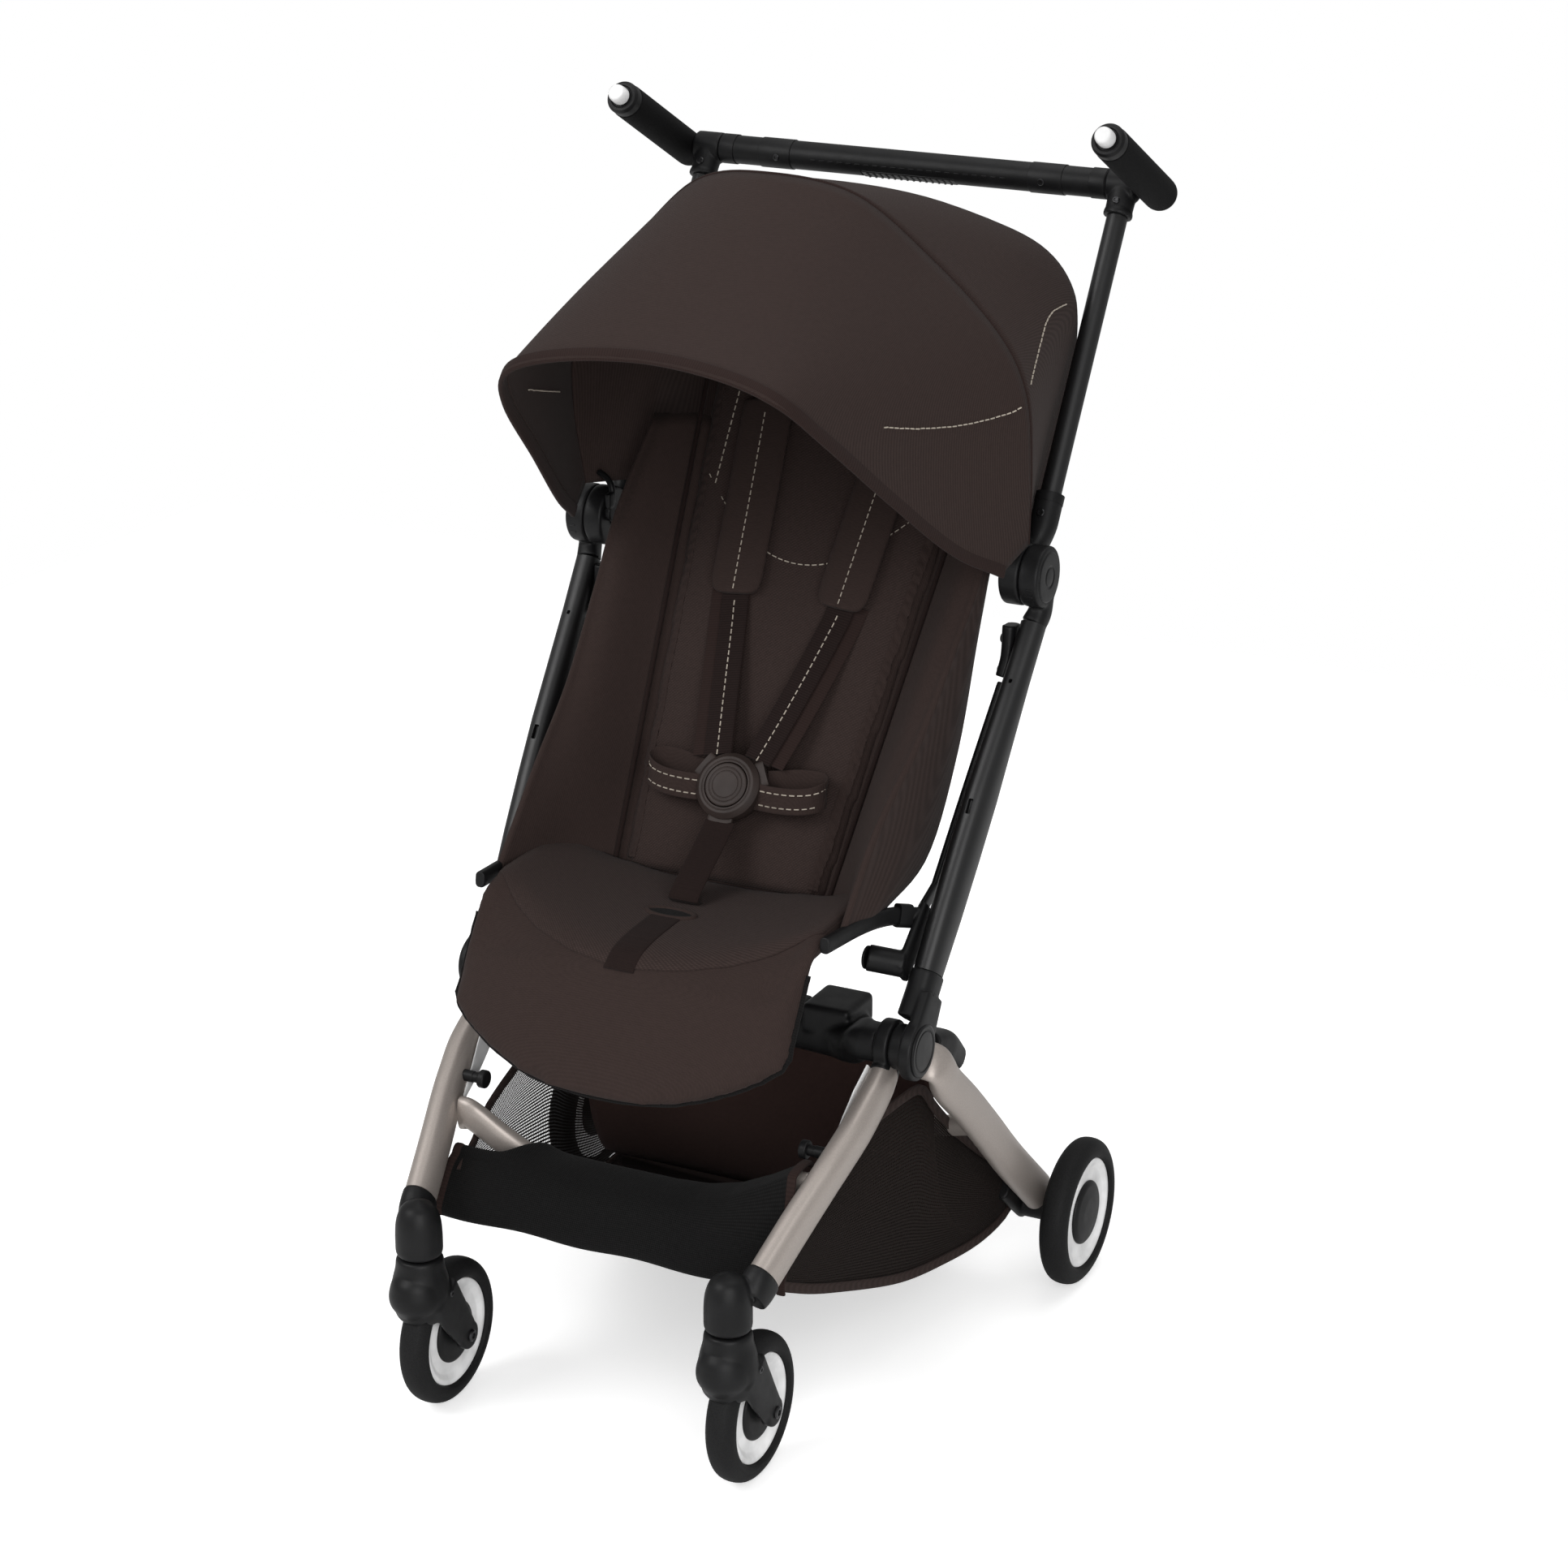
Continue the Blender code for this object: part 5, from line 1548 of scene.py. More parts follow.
        strip = laid(12, 260, place, (0.022, 0.44))
        pleats = self.shop.piece(
            f"back_gathers_{side.label}", strip, finishes.cloth, Slot.CLOTH, "backrest", closed=False,
            sharp=SMOOTH, thickness=0.0010,
        )
        pleats.modifiers["Cloth"].use_even_offset = False
        heights = [-0.008 + 0.466 * step / 60 for step in range(61)]
        line = [PLAN.back(height, -0.0030, side.value * (back_half(height) + 0.0010)) for height in heights]
        cord = swept(line, [0.0046] * 2, [0.0046] * 2, 12)
        self.shop.piece(f"back_piping_{side.label}", cord, finishes.lining, Slot.CLOTH, "backrest")

    def edging(self, surface: Surface) -> None:
        """Black piping round the leg rest's hem and up its sides.

        Args:
            surface: the seat cover.
        """
        hem = []
        for step in range(61):
            share = 0.985 - 0.985 * step / 30.0
            outline = self.cover_section(share)
            middle = (outline[40] + outline[41]) / 2
            hem.append(Vector((self.seat_half * share, middle.y - 0.004, middle.z - 0.010)))
        for side in Side:
            outline = self.cover_section(1.0)
            run = [(outline[index] + outline[81 - index]) / 2 for index in range(39, 25, -2)]
            rise = [Vector((side.value * (self.seat_half + 0.012), point.y, point.z)) for point in run]
            hem = rise[::-1] + hem if side is Side.LEFT else hem + rise
        hem = [surface.nearest(point, 0.0002)[0] for point in even_path(hem, 150)]
        cord = swept(
            even_path(hem, 150), [0.0046] * 2, [0.0046] * 2, 10, across=Vector((0.0, 1.0, 0.2)).normalized()
        )
        self.shop.piece("leg_rest_piping", cord, self.shop.finishes.piping, Slot.CLOTH, "leg_rest")


@dataclass
class Harness:
    """Shoulder straps with pads, buckle, hip loops and crotch strap."""

    shop: Workshop
    strap_width: float = 0.025
    strap_thick: float = 0.0022
    buckle_radius: float = 0.0285
    buckle_thick: float = 0.016

    def shoulder(self, side: Side) -> None:
        """Build one shoulder strap with its pad and stitching."""
        finishes = self.shop.finishes
        route = (
            (0.0185, 0.0906, 0.0250), (0.0300, 0.1400, 0.0170), (0.0440, 0.2060, 0.0085),
            (0.0500, 0.2400, 0.0068), (0.0560, 0.3200, 0.0068), (0.0640, 0.4100, 0.0060),
            (0.0655, 0.4400, 0.0030),
        )
        points = [PLAN.back(height, rise, side.value * x) for x, height, rise in route]
        path = even_path(points, 60)
        strap = tape(path, [self.strap_width] * 2, PLAN.back_front, self.strap_thick)
        self.shop.piece(
            f"shoulder_webbing_{side.label}", strap, finishes.webbing, Slot.WEBBING, "backrest",
            [f"shoulder_strap_{side.label}"],
        )
        under = [
            PLAN.back(height, rise - 0.0028, side.value * (x + 0.006)) for x, height, rise in route[:4]
        ]
        sleeve = tape(even_path(under, 30), [0.036] * 2, PLAN.back_front, 0.0016)
        self.shop.piece(f"strap_sleeve_{side.label}", sleeve, finishes.binding, Slot.WEBBING, "backrest")
        cover = [
            PLAN.back(height, rise + 0.0042, side.value * x)
            for x, height, rise in (
                (0.0492, 0.2330, 0.0062), (0.0530, 0.2800, 0.0064), (0.0575, 0.3350, 0.0064),
                (0.0625, 0.3900, 0.0062), (0.0640, 0.4080, 0.0060),
            )
        ]
        line = even_path(cover, 49)
        widths = [0.030, 0.0405, 0.0445, 0.046, 0.0465] + [0.047] * 36 + [0.046, 0.045, 0.043]
        pad = tape(line, widths, PLAN.back_front, 0.0060, 7, 0.0018)
        thing = self.shop.piece(
            f"shoulder_pad_{side.label}", pad, finishes.cloth, Slot.CLOTH, "backrest", subdivide=1
        )
        surface = Surface(thing)
        low = [surface.nearest(point + PLAN.back_front * 0.02)[0] for point in line[1:-3]]
        thread = stitches(low)
        self.shop.piece(f"pad_thread_{side.label}", thread, finishes.thread, Slot.WEBBING, "backrest")
        web = [
            point + PLAN.back_front * (self.strap_thick / 2 + 0.0002) for point in path
            if (point - path[0]).length < 0.148
        ]
        self.shop.piece(
            f"webbing_thread_{side.label}", stitches(web), finishes.thread, Slot.WEBBING, "backrest"
        )

    def buckle(self) -> None:
        """Build the round buckle and its press button."""
        finishes = self.shop.finishes
        front = PLAN.back_front
        centre = Vector((0.0, -0.0350, 0.4870)) - front * self.buckle_thick / 2
        radius, thick = self.buckle_radius, self.buckle_thick
        profile = rounded([
            (0.0, 0.0), (radius - 0.001, 0.0), (radius, 0.004), (radius, thick - 0.004),
            (radius - 0.004, thick), (0.0222, thick), (0.0219, thick - 0.0005), (0.0214, thick - 0.0005),
            (0.0211, thick), (0.0196, thick), (0.0193, thick - 0.0030), (0.0190, thick - 0.006),
            (0.0, thick - 0.006),
        ], 0.0003)
        body = turned(profile, centre, front, 72)
        tabs = []
        for turn in (30.0, 150.0, 268.0):
            way = Matrix.Rotation(math.radians(turn), 3, front) @ X_AXIS
            spot = centre + front * 0.0075 + way * 0.0285
            tabs.append(
                bar(
                    [spot - way * 0.006, spot + way * 0.0055], (0.0235, 0.0225), (0.0062, 0.0046), 6,
                    power=4.0, across=front.cross(way),
                )
            )
        self.shop.piece("buckle_tongues", joined(tabs), finishes.umber, Slot.PLASTIC, "backrest")
        self.shop.piece("buckle_case", body, finishes.umber, Slot.PLASTIC, "backrest", ["buckle"])
        top = thick + 0.0015
        profile = rounded([
            (0.0, thick - 0.0025), (0.0186, thick - 0.0025), (0.0186, top - 0.0012), (0.0178, top - 0.0008),
            (0.0155, top - 0.0006), (0.0152, top - 0.0011), (0.0147, top - 0.0011), (0.0144, top - 0.0005),
            (0.0122, top - 0.0002), (0.0119, top - 0.0007), (0.0114, top - 0.0007), (0.0111, top - 0.0001),
            (0.0, top),
        ], 0.00015)
        self.shop.piece(
            "buckle_press", turned(profile, centre, front, 64), finishes.umber, Slot.PLASTIC,
            "buckle_button", ["buckle_button"],
        )

    def hip(self, side: Side) -> None:
        """Build one hip loop of webbing with its stitching."""
        finishes = self.shop.finishes
        points = (
            (0.0240, -0.0360, 0.4830), (0.0450, -0.0385, 0.4835), (0.0640, -0.0365, 0.4845),
            (0.0770, -0.0300, 0.4865), (0.0810, -0.0200, 0.4900), (0.0740, -0.0130, 0.4930),
            (0.0560, -0.0140, 0.4930), (0.0300, -0.0210, 0.4900),
        )
        path = even_path(side.line(points), 44)
        up = (PLAN.back_up + PLAN.back_front * 0.35).normalized()
        facing = []
        for index in range(len(path)):
            facing.append(heading(path, index).cross(up) * side.value)
        web = tape(path, [0.022] * 2, facing, self.strap_thick)
        self.shop.piece(f"hip_webbing_{side.label}", web, finishes.cloth, Slot.WEBBING, "backrest")
        outer = [point + face * 0.0014 for point, face in zip(path, facing)]
        rows = [
            stitches([point + up * lift for point in outer[2:last]])
            for lift, last in ((0.0055, 24), (-0.0060, 21))
        ]
        self.shop.piece(f"hip_thread_{side.label}", joined(rows), finishes.thread, Slot.WEBBING, "backrest")

    def crotch(self) -> None:
        """Build the strap between the legs, the slot that it comes through, whose black opening is painted
        shade, and its loose end.
        """
        finishes = self.shop.finishes
        path = even_path(
            ((0.0, -0.0520, 0.4620), (0.0, -0.0628, 0.4540), (0.0, -0.0800, 0.4430), (0.0, -0.0960, 0.4330),
             (0.0, -0.1130, 0.4220), (0.0, -0.1180, 0.4150), (0.0, -0.1080, 0.4110)), 40,
        )
        facing = []
        for index in range(len(path)):
            facing.append(X_AXIS.cross(heading(path, index)))
        web = tape(path, [0.0275] * 2, facing, 0.0024)
        thing = self.shop.piece(
            "crotch_webbing", web, finishes.lining, Slot.WEBBING, None, ["crotch_strap"]
        )
        low = even_path((
            (0.0, -0.1440, 0.4050), (0.0, -0.1600, 0.4085), (0.0, -0.1850, 0.4075), (0.0, -0.2100, 0.4045),
            (0.0, -0.2290, 0.3975),
        ), 30)
        seat = Surface(bpy.data.objects["seat_cover"])
        low = [low[0]] + [seat.cast(Vector((0.0, point.y, 0.46)), -Z_AXIS, 0.0012) for point in low[1:]]
        tail = tape(low, [0.0275] * 2, Vector((0.0, -0.2, 1.0)), 0.0022)
        self.shop.piece("crotch_tail", tail, finishes.lining, Slot.WEBBING, "main_frame")
        ring = []
        for step in range(49):
            turn = math.tau * step / 48
            spot = Vector((0.0215 * math.cos(turn), -0.1400 + 0.0085 * math.sin(turn), 0.46))
            ring.append(seat.cast(spot, -Z_AXIS, 0.0008))
        lip = swept(ring, [0.0050] * 2, [0.0050] * 2, 10, across=Z_AXIS)
        self.shop.piece("crotch_slot_lip", lip, finishes.cloth, Slot.CLOTH, "main_frame")
        # The black sheet inside the lip is painted shade: it stands for the dark opening of the slot, where
        # the strap goes through.
        slot_shade = laid(
            24, 6,
            lambda u, v: Vector((
                0.0205 * v * math.cos(math.tau * u), -0.1400 + 0.0078 * v * math.sin(math.tau * u),
                ring[0].z + 0.0004,
            )),
            (0.04, 0.01),
        )
        bmesh.ops.remove_doubles(slot_shade, verts=slot_shade.verts, dist=MERGE)
        self.shop.piece(
            "crotch_slot", slot_shade, finishes.piping, Slot.CLOTH, "main_frame", closed=False, thickness=0.0012
        )
        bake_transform(thing)

    def build(self) -> None:
        """Build the harness."""
        for side in Side:
            self.shoulder(side)
            self.hip(side)
        self.buckle()
        self.crotch()


@dataclass
class Basket:
    """Shopping basket: cloth floor and ends, net sides and bound edges."""

    shop: Workshop
    half: float = 0.1721
    flare: float = 0.1037
    profile: tuple[tuple[float, float], ...] = (
        (-0.2300, 0.1860), (-0.2480, 0.1620), (-0.2080, 0.1370), (-0.1500, 0.1120), (-0.0500, 0.0760),
        (0.0300, 0.0600), (0.0900, 0.0540), (0.1350, 0.0600), (0.1500, 0.0780), (0.1480, 0.0950),
        (0.1380, 0.1260),
    )
    rim: tuple[tuple[float, float], ...] = (
        (-0.2400, 0.1900), (-0.2080, 0.2050), (-0.1800, 0.2230), (-0.1100, 0.2380), (-0.0500, 0.2425),
        (-0.0180, 0.2390), (0.0050, 0.2130), (0.0400, 0.1780), (0.0850, 0.1400), (0.1200, 0.1130),
        (0.1480, 0.0950),
    )
    band: tuple[tuple[float, float], ...] = (
        (-0.1890, 0.1960), (-0.1925, 0.2010), (-0.2100, 0.2028), (-0.2290, 0.1995), (-0.2400, 0.1925),
        (-0.2490, 0.1790), (-0.2570, 0.1640), (-0.2565, 0.1560),
    )
    screen: tuple[tuple[float, float], ...] = (
        (0.0900, 0.0570), (0.0500, 0.0820), (0.0260, 0.1200), (0.0150, 0.1600), (0.0105, 0.2050),
        (0.0080, 0.2450),
    )

    def half_at(self, y: float) -> float:
        """Half the basket's width at a place along it."""
        return self.half + self.flare * y

    def build(self) -> None:
        """Build the basket."""
        finishes = self.shop.finishes
        line = even_path([(0.0, y, z) for y, z in self.profile], 61)

        def place(u: float, v: float) -> Vector:
            point = line[round(v * 60)]
            share = 2.0 * u - 1.0
            sag = 0.004 * (1.0 - share * share)
            return Vector((self.half_at(point.y) * share, point.y, point.z - sag * (point.z < 0.11)))

        tub = self.shop.piece(
            "basket_tub", laid(40, 60, place, (0.36, 0.62)), finishes.lining, Slot.NET, "main_frame",
            ["basket"], closed=False, sharp=60.0, thickness=0.0020,
        )
        rim = even_path([(0.0, y, z) for y, z in self.rim], 41)
        lower = even_path([(0.0, y, z) for y, z in self.profile[:-1]], 41)
        for side in Side:
            def net(u: float, v: float, side: Side = side) -> Vector:
                low, high = lower[round(u * 40)], rim[round(u * 40)]
                point = low.lerp(high, v)
                bulge = 0.010 * math.sin(math.pi * v)
                return Vector((side.value * (self.half_at(point.y) + bulge - 0.001), point.y, point.z))

            mesh = self.shop.piece(
                f"basket_net_{side.label}", laid(40, 16, net, (0.55, 0.16)), finishes.net, Slot.NET,
                "main_frame", closed=False, sharp=SMOOTH,
            )
            for name, edge in (("rim", rim), ("foot", lower)):
                cord = swept([
                    Vector((side.value * (self.half_at(p.y) + 0.001), p.y, p.z)) for p in edge
                ], [0.0035] * 2, [0.0090] * 2, 16, 3.0)
                self.shop.piece(
                    f"basket_{name}_tape_{side.label}", cord, finishes.cloth, Slot.CLOTH, "main_frame"
                )
        self.front_band()
        self.rear_screen()

    def front_band(self) -> None:
        """Black mesh wrapped over the front cross-member, with bound ends."""
        finishes = self.shop.finishes
        line = even_path([(0.0, y, z) for y, z in self.band], 33)

        def place(u: float, v: float) -> Vector:
            x = 0.156 * (2.0 * u - 1.0)
            point = line[round(v * 32)].copy()
            ramp = min(max((abs(x) - 0.088) / 0.026, 0.0), 1.0)
            ramp = ramp * ramp * (3.0 - 2.0 * ramp)
            near = max(0.0, 1.0 - v / 0.45)
            hump = math.exp(-((abs(x) - 0.098) / 0.016) ** 2) * 0.0085
            if x > 0.0:
                lift = pick((0.0, 0.0, 0.003, 0.012, 0.028, 0.048), x / 0.156) * min(
                    max((0.62 - v) / 0.25, 0.0), 1.0
                )
                point += Vector((0.0, -0.22 * lift, lift))
            else:
                point.y -= 0.036 * ramp * near
                point.z += (0.0050 * ramp + hump) * near
            point.z += 0.0012 * math.sin(x * 60.0) * (1.0 - near)
            return Vector((x * (1.0 + 0.02 * v), point.y, point.z))

        sheet = self.shop.piece(
            "basket_front_band", laid(96, 32, place, (0.31, 0.10)), finishes.panel, Slot.NET, "main_frame",
            closed=False, sharp=SMOOTH, thickness=0.0016,
        )
        for side in Side:
            edge = [place(0.5 + 0.5 * side.value, step / 32) for step in range(33)]
            cord = swept(edge, [0.0080] * 2, [0.0034] * 2, 12, 3.0)
            self.shop.piece(
                f"basket_band_end_{side.label}", cord, finishes.binding, Slot.CLOTH, "main_frame"
            )

    def rear_screen(self) -> None:
        """The basket's brown rear sheet, which rises before the rear cross-member."""
        line = even_path([(0.0, y, z) for y, z in self.screen], 33)

        def place(u: float, v: float) -> Vector:
            share = 2.0 * u - 1.0
            point = line[round(v * 32)]
            belly = 0.010 * (1.0 - share * share) * math.sin(math.pi * min(v * 1.1, 1.0))
            return Vector(((self.half_at(point.y) - 0.003) * share, point.y + belly, point.z))

        # The sheet's cloth is painted lighter than its own tone, to stand in for light that its shaded place
        # under the seat lacks.
        sheet = self.shop.piece(
            "basket_rear_sheet", laid(48, 32, place, (0.34, 0.20)), self.shop.finishes.basket_cloth,
            Slot.CLOTH, "main_frame", closed=False, sharp=SMOOTH, thickness=0.0016,
        )
        edge = swept(
            [place(step / 48, 1.0) for step in range(49)], [0.0045] * 2, [0.0045] * 2, 10, across=Z_AXIS
        )
        self.shop.piece("basket_rear_binding", edge, self.shop.finishes.lining, Slot.CLOTH, "main_frame")


@dataclass
class Wheels:
    """White dished wheels with rounded tyres and hub caps."""

    shop: Workshop
    width: float = 0.026
    steps: int = 96

    def wheel(self, where: str, side: Side, centre: Point, radius: float, disc: float, body: str) -> None:
        """Build one wheel.

        Args:
            where: front or rear.
            side: its side.
            centre: the middle of its axle, for the left.
            radius: the tyre's outer radius.
            disc: the white disc's radius.
            body: the body that it rides on.
        """
        finishes = self.shop.finishes
        axle = side.at(centre)
        half = self.width / 2
        tyre = rounded([
            (disc, -half + 0.0035), (disc + 0.0015, -half + 0.0005), (disc + 0.006, -half),
            (radius - 0.006, -half + 0.0015), (radius - 0.0015, -0.0080), (radius, -0.003), (radius, 0.003),
            (radius - 0.0015, 0.0080), (radius - 0.006, half - 0.0015), (disc + 0.006, half),
            (disc + 0.0015, half - 0.0005), (disc, half - 0.0035),
        ], 0.003, 3)
        self.shop.piece(
            f"{where}_{side.label}_tread", turned(tyre, axle, X_AXIS, self.steps), finishes.tyre, Slot.TYRE,
            body, [f"{where}_{side.label}_tyre"],
        )
        hub = disc * 0.42
        face = half - 0.003
        profile = rounded([
            (0.0033, -face), (hub, -face), (hub + 0.004, -face + 0.0035), (disc - 0.009, -face + 0.0035),
            (disc - 0.0045, -face + 0.0005), (disc - 0.0003, -face + 0.0005),
            (disc - 0.0003, face - 0.0005), (disc - 0.0045, face - 0.0005), (disc - 0.009, face - 0.0035),
            (hub + 0.004, face - 0.0035), (hub, face), (0.0033, face),
        ], 0.0012, 3)
        self.shop.piece(
            f"{where}_{side.label}_disc", turned(profile, axle, X_AXIS, self.steps), finishes.white,
            Slot.WHITE, body, [f"{where}_{side.label}_rim"],
        )
        cap = disc * 0.58
        rise = 0.0028 if where == "rear" else 0.0020
        domes = []
        for way in (1.0, -1.0):
            shape = rounded([
                (0.0, face - 0.0040), (cap, face - 0.0040), (cap, face - 0.0014),
                (cap * 0.88, face + rise * 0.3), (cap * 0.5, face + rise * 0.85), (0.0, face + rise),
            ], 0.0015)
            domes.append(turned(shape, axle, X_AXIS * side.value * way, 72))
        self.shop.piece(f"{where}_{side.label}_cap", joined(domes), finishes.plastic, Slot.PLASTIC, body)

    def build(self) -> None:
        """Build all four wheels."""
        for side in Side:
            self.wheel("front", side, (0.142, -0.2773, 0.062), 0.062, 0.0461, f"front_wheel_{side.label}")
            self.wheel("rear", side, (0.247, 0.1535, 0.066), 0.066, 0.0496, f"rear_wheel_{side.label}")


@dataclass
class LowerFrame:
    """Lower main tubes, their hinge halves and the hubs."""

    shop: Workshop
    hinge_radius: float = 0.026
    split_x: float = 0.2047
    outer_x: float = 0.223
    neck: float = 0.036
    sleeve: float = 0.340
    hub_radius: float = 0.0255
    hub_face: float = 0.2125
    hub_plate: float = 0.012

    def across_at(self, along: float) -> float:
        """The tube's place across at a distance down it."""
        return PLAN.main_top_x + (PLAN.main_foot_x - PLAN.main_top_x) * along / PLAN.main_length

    def point(self, along: float, side: Side, inward: float = 0.0) -> Vector:
        """A point on a tube's centre line."""
        return PLAN.main(along, side.value * (self.across_at(along) - inward))

    def tube(self, side: Side) -> None:
        """Build a tube with its slot."""
        shop, finishes = self.shop, self.shop.finishes
        path = [self.point(self.neck + (self.sleeve - self.neck) * step / 36, side) for step in range(37)]
        widths = (0.021, 0.0212, 0.0225, 0.0238, 0.024, 0.0235, 0.022)
        depths = (0.021, 0.0245, 0.0310, 0.0372, 0.038, 0.0370, 0.033)
        tube = shop.piece(
            f"lower_tube_{side.label}", swept(path, widths, depths, 40, 2.3), finishes.tube, Slot.TUBE,
            "main_frame", [f"main_tube_{side.label}"],
        )
        up = Vector((0.0, math.sin(PLAN.main_lean), math.cos(PLAN.main_lean)))
        front = up.cross(X_AXIS)
        if front.y > 0:
            front = -front
        for along, deep, high, wide in ((0.2015, 0.0175, 0.013, 0.0042), (0.0900, 0.0105, 0.0035, 0.0030)):
            spot = self.point(along, side) + front * deep
            shop.carve(tube, blocked(spot, X_AXIS, up, (wide, high, 0.008), 0.0008))

    def hub(self, side: Side) -> None:
        """Build the hub at a tube's foot, with its faced disc."""
        shop, finishes = self.shop, self.shop.finishes
        plate_x = side.value * (self.hub_face - self.hub_plate / 2)
        start, end = self.point(self.sleeve + 0.0004, side), PLAN.main(PLAN.main_length - 0.010, plate_x)
        low = PLAN.main(PLAN.main_length - 0.0235, side.value * 0.1972)
        neck = bar(
            [start, self.point(self.sleeve + 0.016, side), low], (0.0236, 0.0236, 0.0236),
            (0.0345, 0.0345, 0.0380), 20, power=2.8,
        )
        apron = bar(
            [PLAN.main(PLAN.main_length - 0.046, plate_x), end], (0.0118,) * 2, (0.034, 0.043), 12,
            power=4.0,
        )
        face = Vector((side.value * (self.hub_face - self.hub_plate), PLAN.hub.y, PLAN.hub.z))
        plate = puck(face, X_AXIS * side.value, self.hub_radius, self.hub_plate - 0.0012, 0.0016)
        pin = puck(face - X_AXIS * side.value * 0.0250, X_AXIS * side.value, 0.0040, 0.030, 0.0004, 24)
        shop.moulded(
            f"hub_socket_{side.label}", [neck, apron, plate, pin], finishes.plastic, Slot.PLASTIC,
            "main_frame", [f"hub_{side.label}"],
        )
        radius = self.hub_radius - 0.0035
        profile = rounded([
            (0.0, 0.0), (radius, 0.0), (radius, 0.0018), (radius - 0.0014, 0.0026),
            (radius - 0.0040, 0.0026), (radius - 0.0046, 0.0018), (radius - 0.0052, 0.0018),
            (radius - 0.0058, 0.0026), (0.0, 0.0029),
        ], 0.0005)
        spot = Vector((side.value * (self.hub_face - 0.0016), PLAN.hub.y, PLAN.hub.z))
        disc = turned(profile, spot, X_AXIS * side.value, 72)
        shop.piece(f"hub_disc_{side.label}", disc, finishes.satin, Slot.PLASTIC, "main_frame")

    def hinge(self, side: Side) -> None:
        """Build the outer half of a fold hinge."""
        shop, finishes = self.shop, self.shop.finishes
        axis = X_AXIS * side.value
        start = Vector((side.value * (self.split_x + 0.0002), PLAN.hinge_y, PLAN.hinge_z))
        thick = self.outer_x - self.split_x
        x = self.split_x + thick / 2
        shell = puck(start, axis, self.hinge_radius, thick - 0.0010, 0.0022)
        foot = self.point(self.neck - 0.0003, side)
        first = PLAN.main(0.002, side.value * x) + Vector((0.0, -0.006, 0.006))
        neck = bar(
            [first, PLAN.main(0.022, side.value * x), foot], (0.0166, 0.0172, 0.0206),
            (0.0260, 0.0240, 0.0206), 14, power=2.5,
        )
        shop.moulded(
            f"hinge_shell_{side.label}", [shell, neck], finishes.plastic, Slot.PLASTIC, "main_frame",
            [f"hinge_base_{side.label}"],
        )
        radius = self.hinge_radius - 0.0045
        profile = rounded([
            (0.0, 0.0), (radius, 0.0), (radius, 0.0014), (radius - 0.0012, 0.0022), (0.010, 0.0024),
            (0.0092, 0.0016), (0.0080, 0.0016), (0.0072, 0.0024), (0.0, 0.0026),
        ], 0.0004)
        place = start + axis * (thick - 0.0022)
        shop.piece(
            f"hinge_cover_{side.label}", turned(profile, place, axis, 72), finishes.satin, Slot.PLASTIC,
            "main_frame",
        )
        marks = []
        for turn in (-28.0, -12.0):
            angle = math.radians(turn)
            out = Vector((0.0, -math.cos(angle), math.sin(angle)))
            spot = start + axis * thick * 0.55 + out * (self.hinge_radius - 0.0004)
            marks.append(blocked(spot, X_AXIS, out, (0.0050, 0.0016, 0.0018), 0.0004))
        shop.piece(f"hinge_marks_{side.label}", joined(marks), finishes.satin, Slot.PLASTIC, "main_frame")

    def build(self) -> None:
        """Build both sides."""
        for side in Side:
            self.tube(side)
            self.hub(side)
            self.hinge(side)


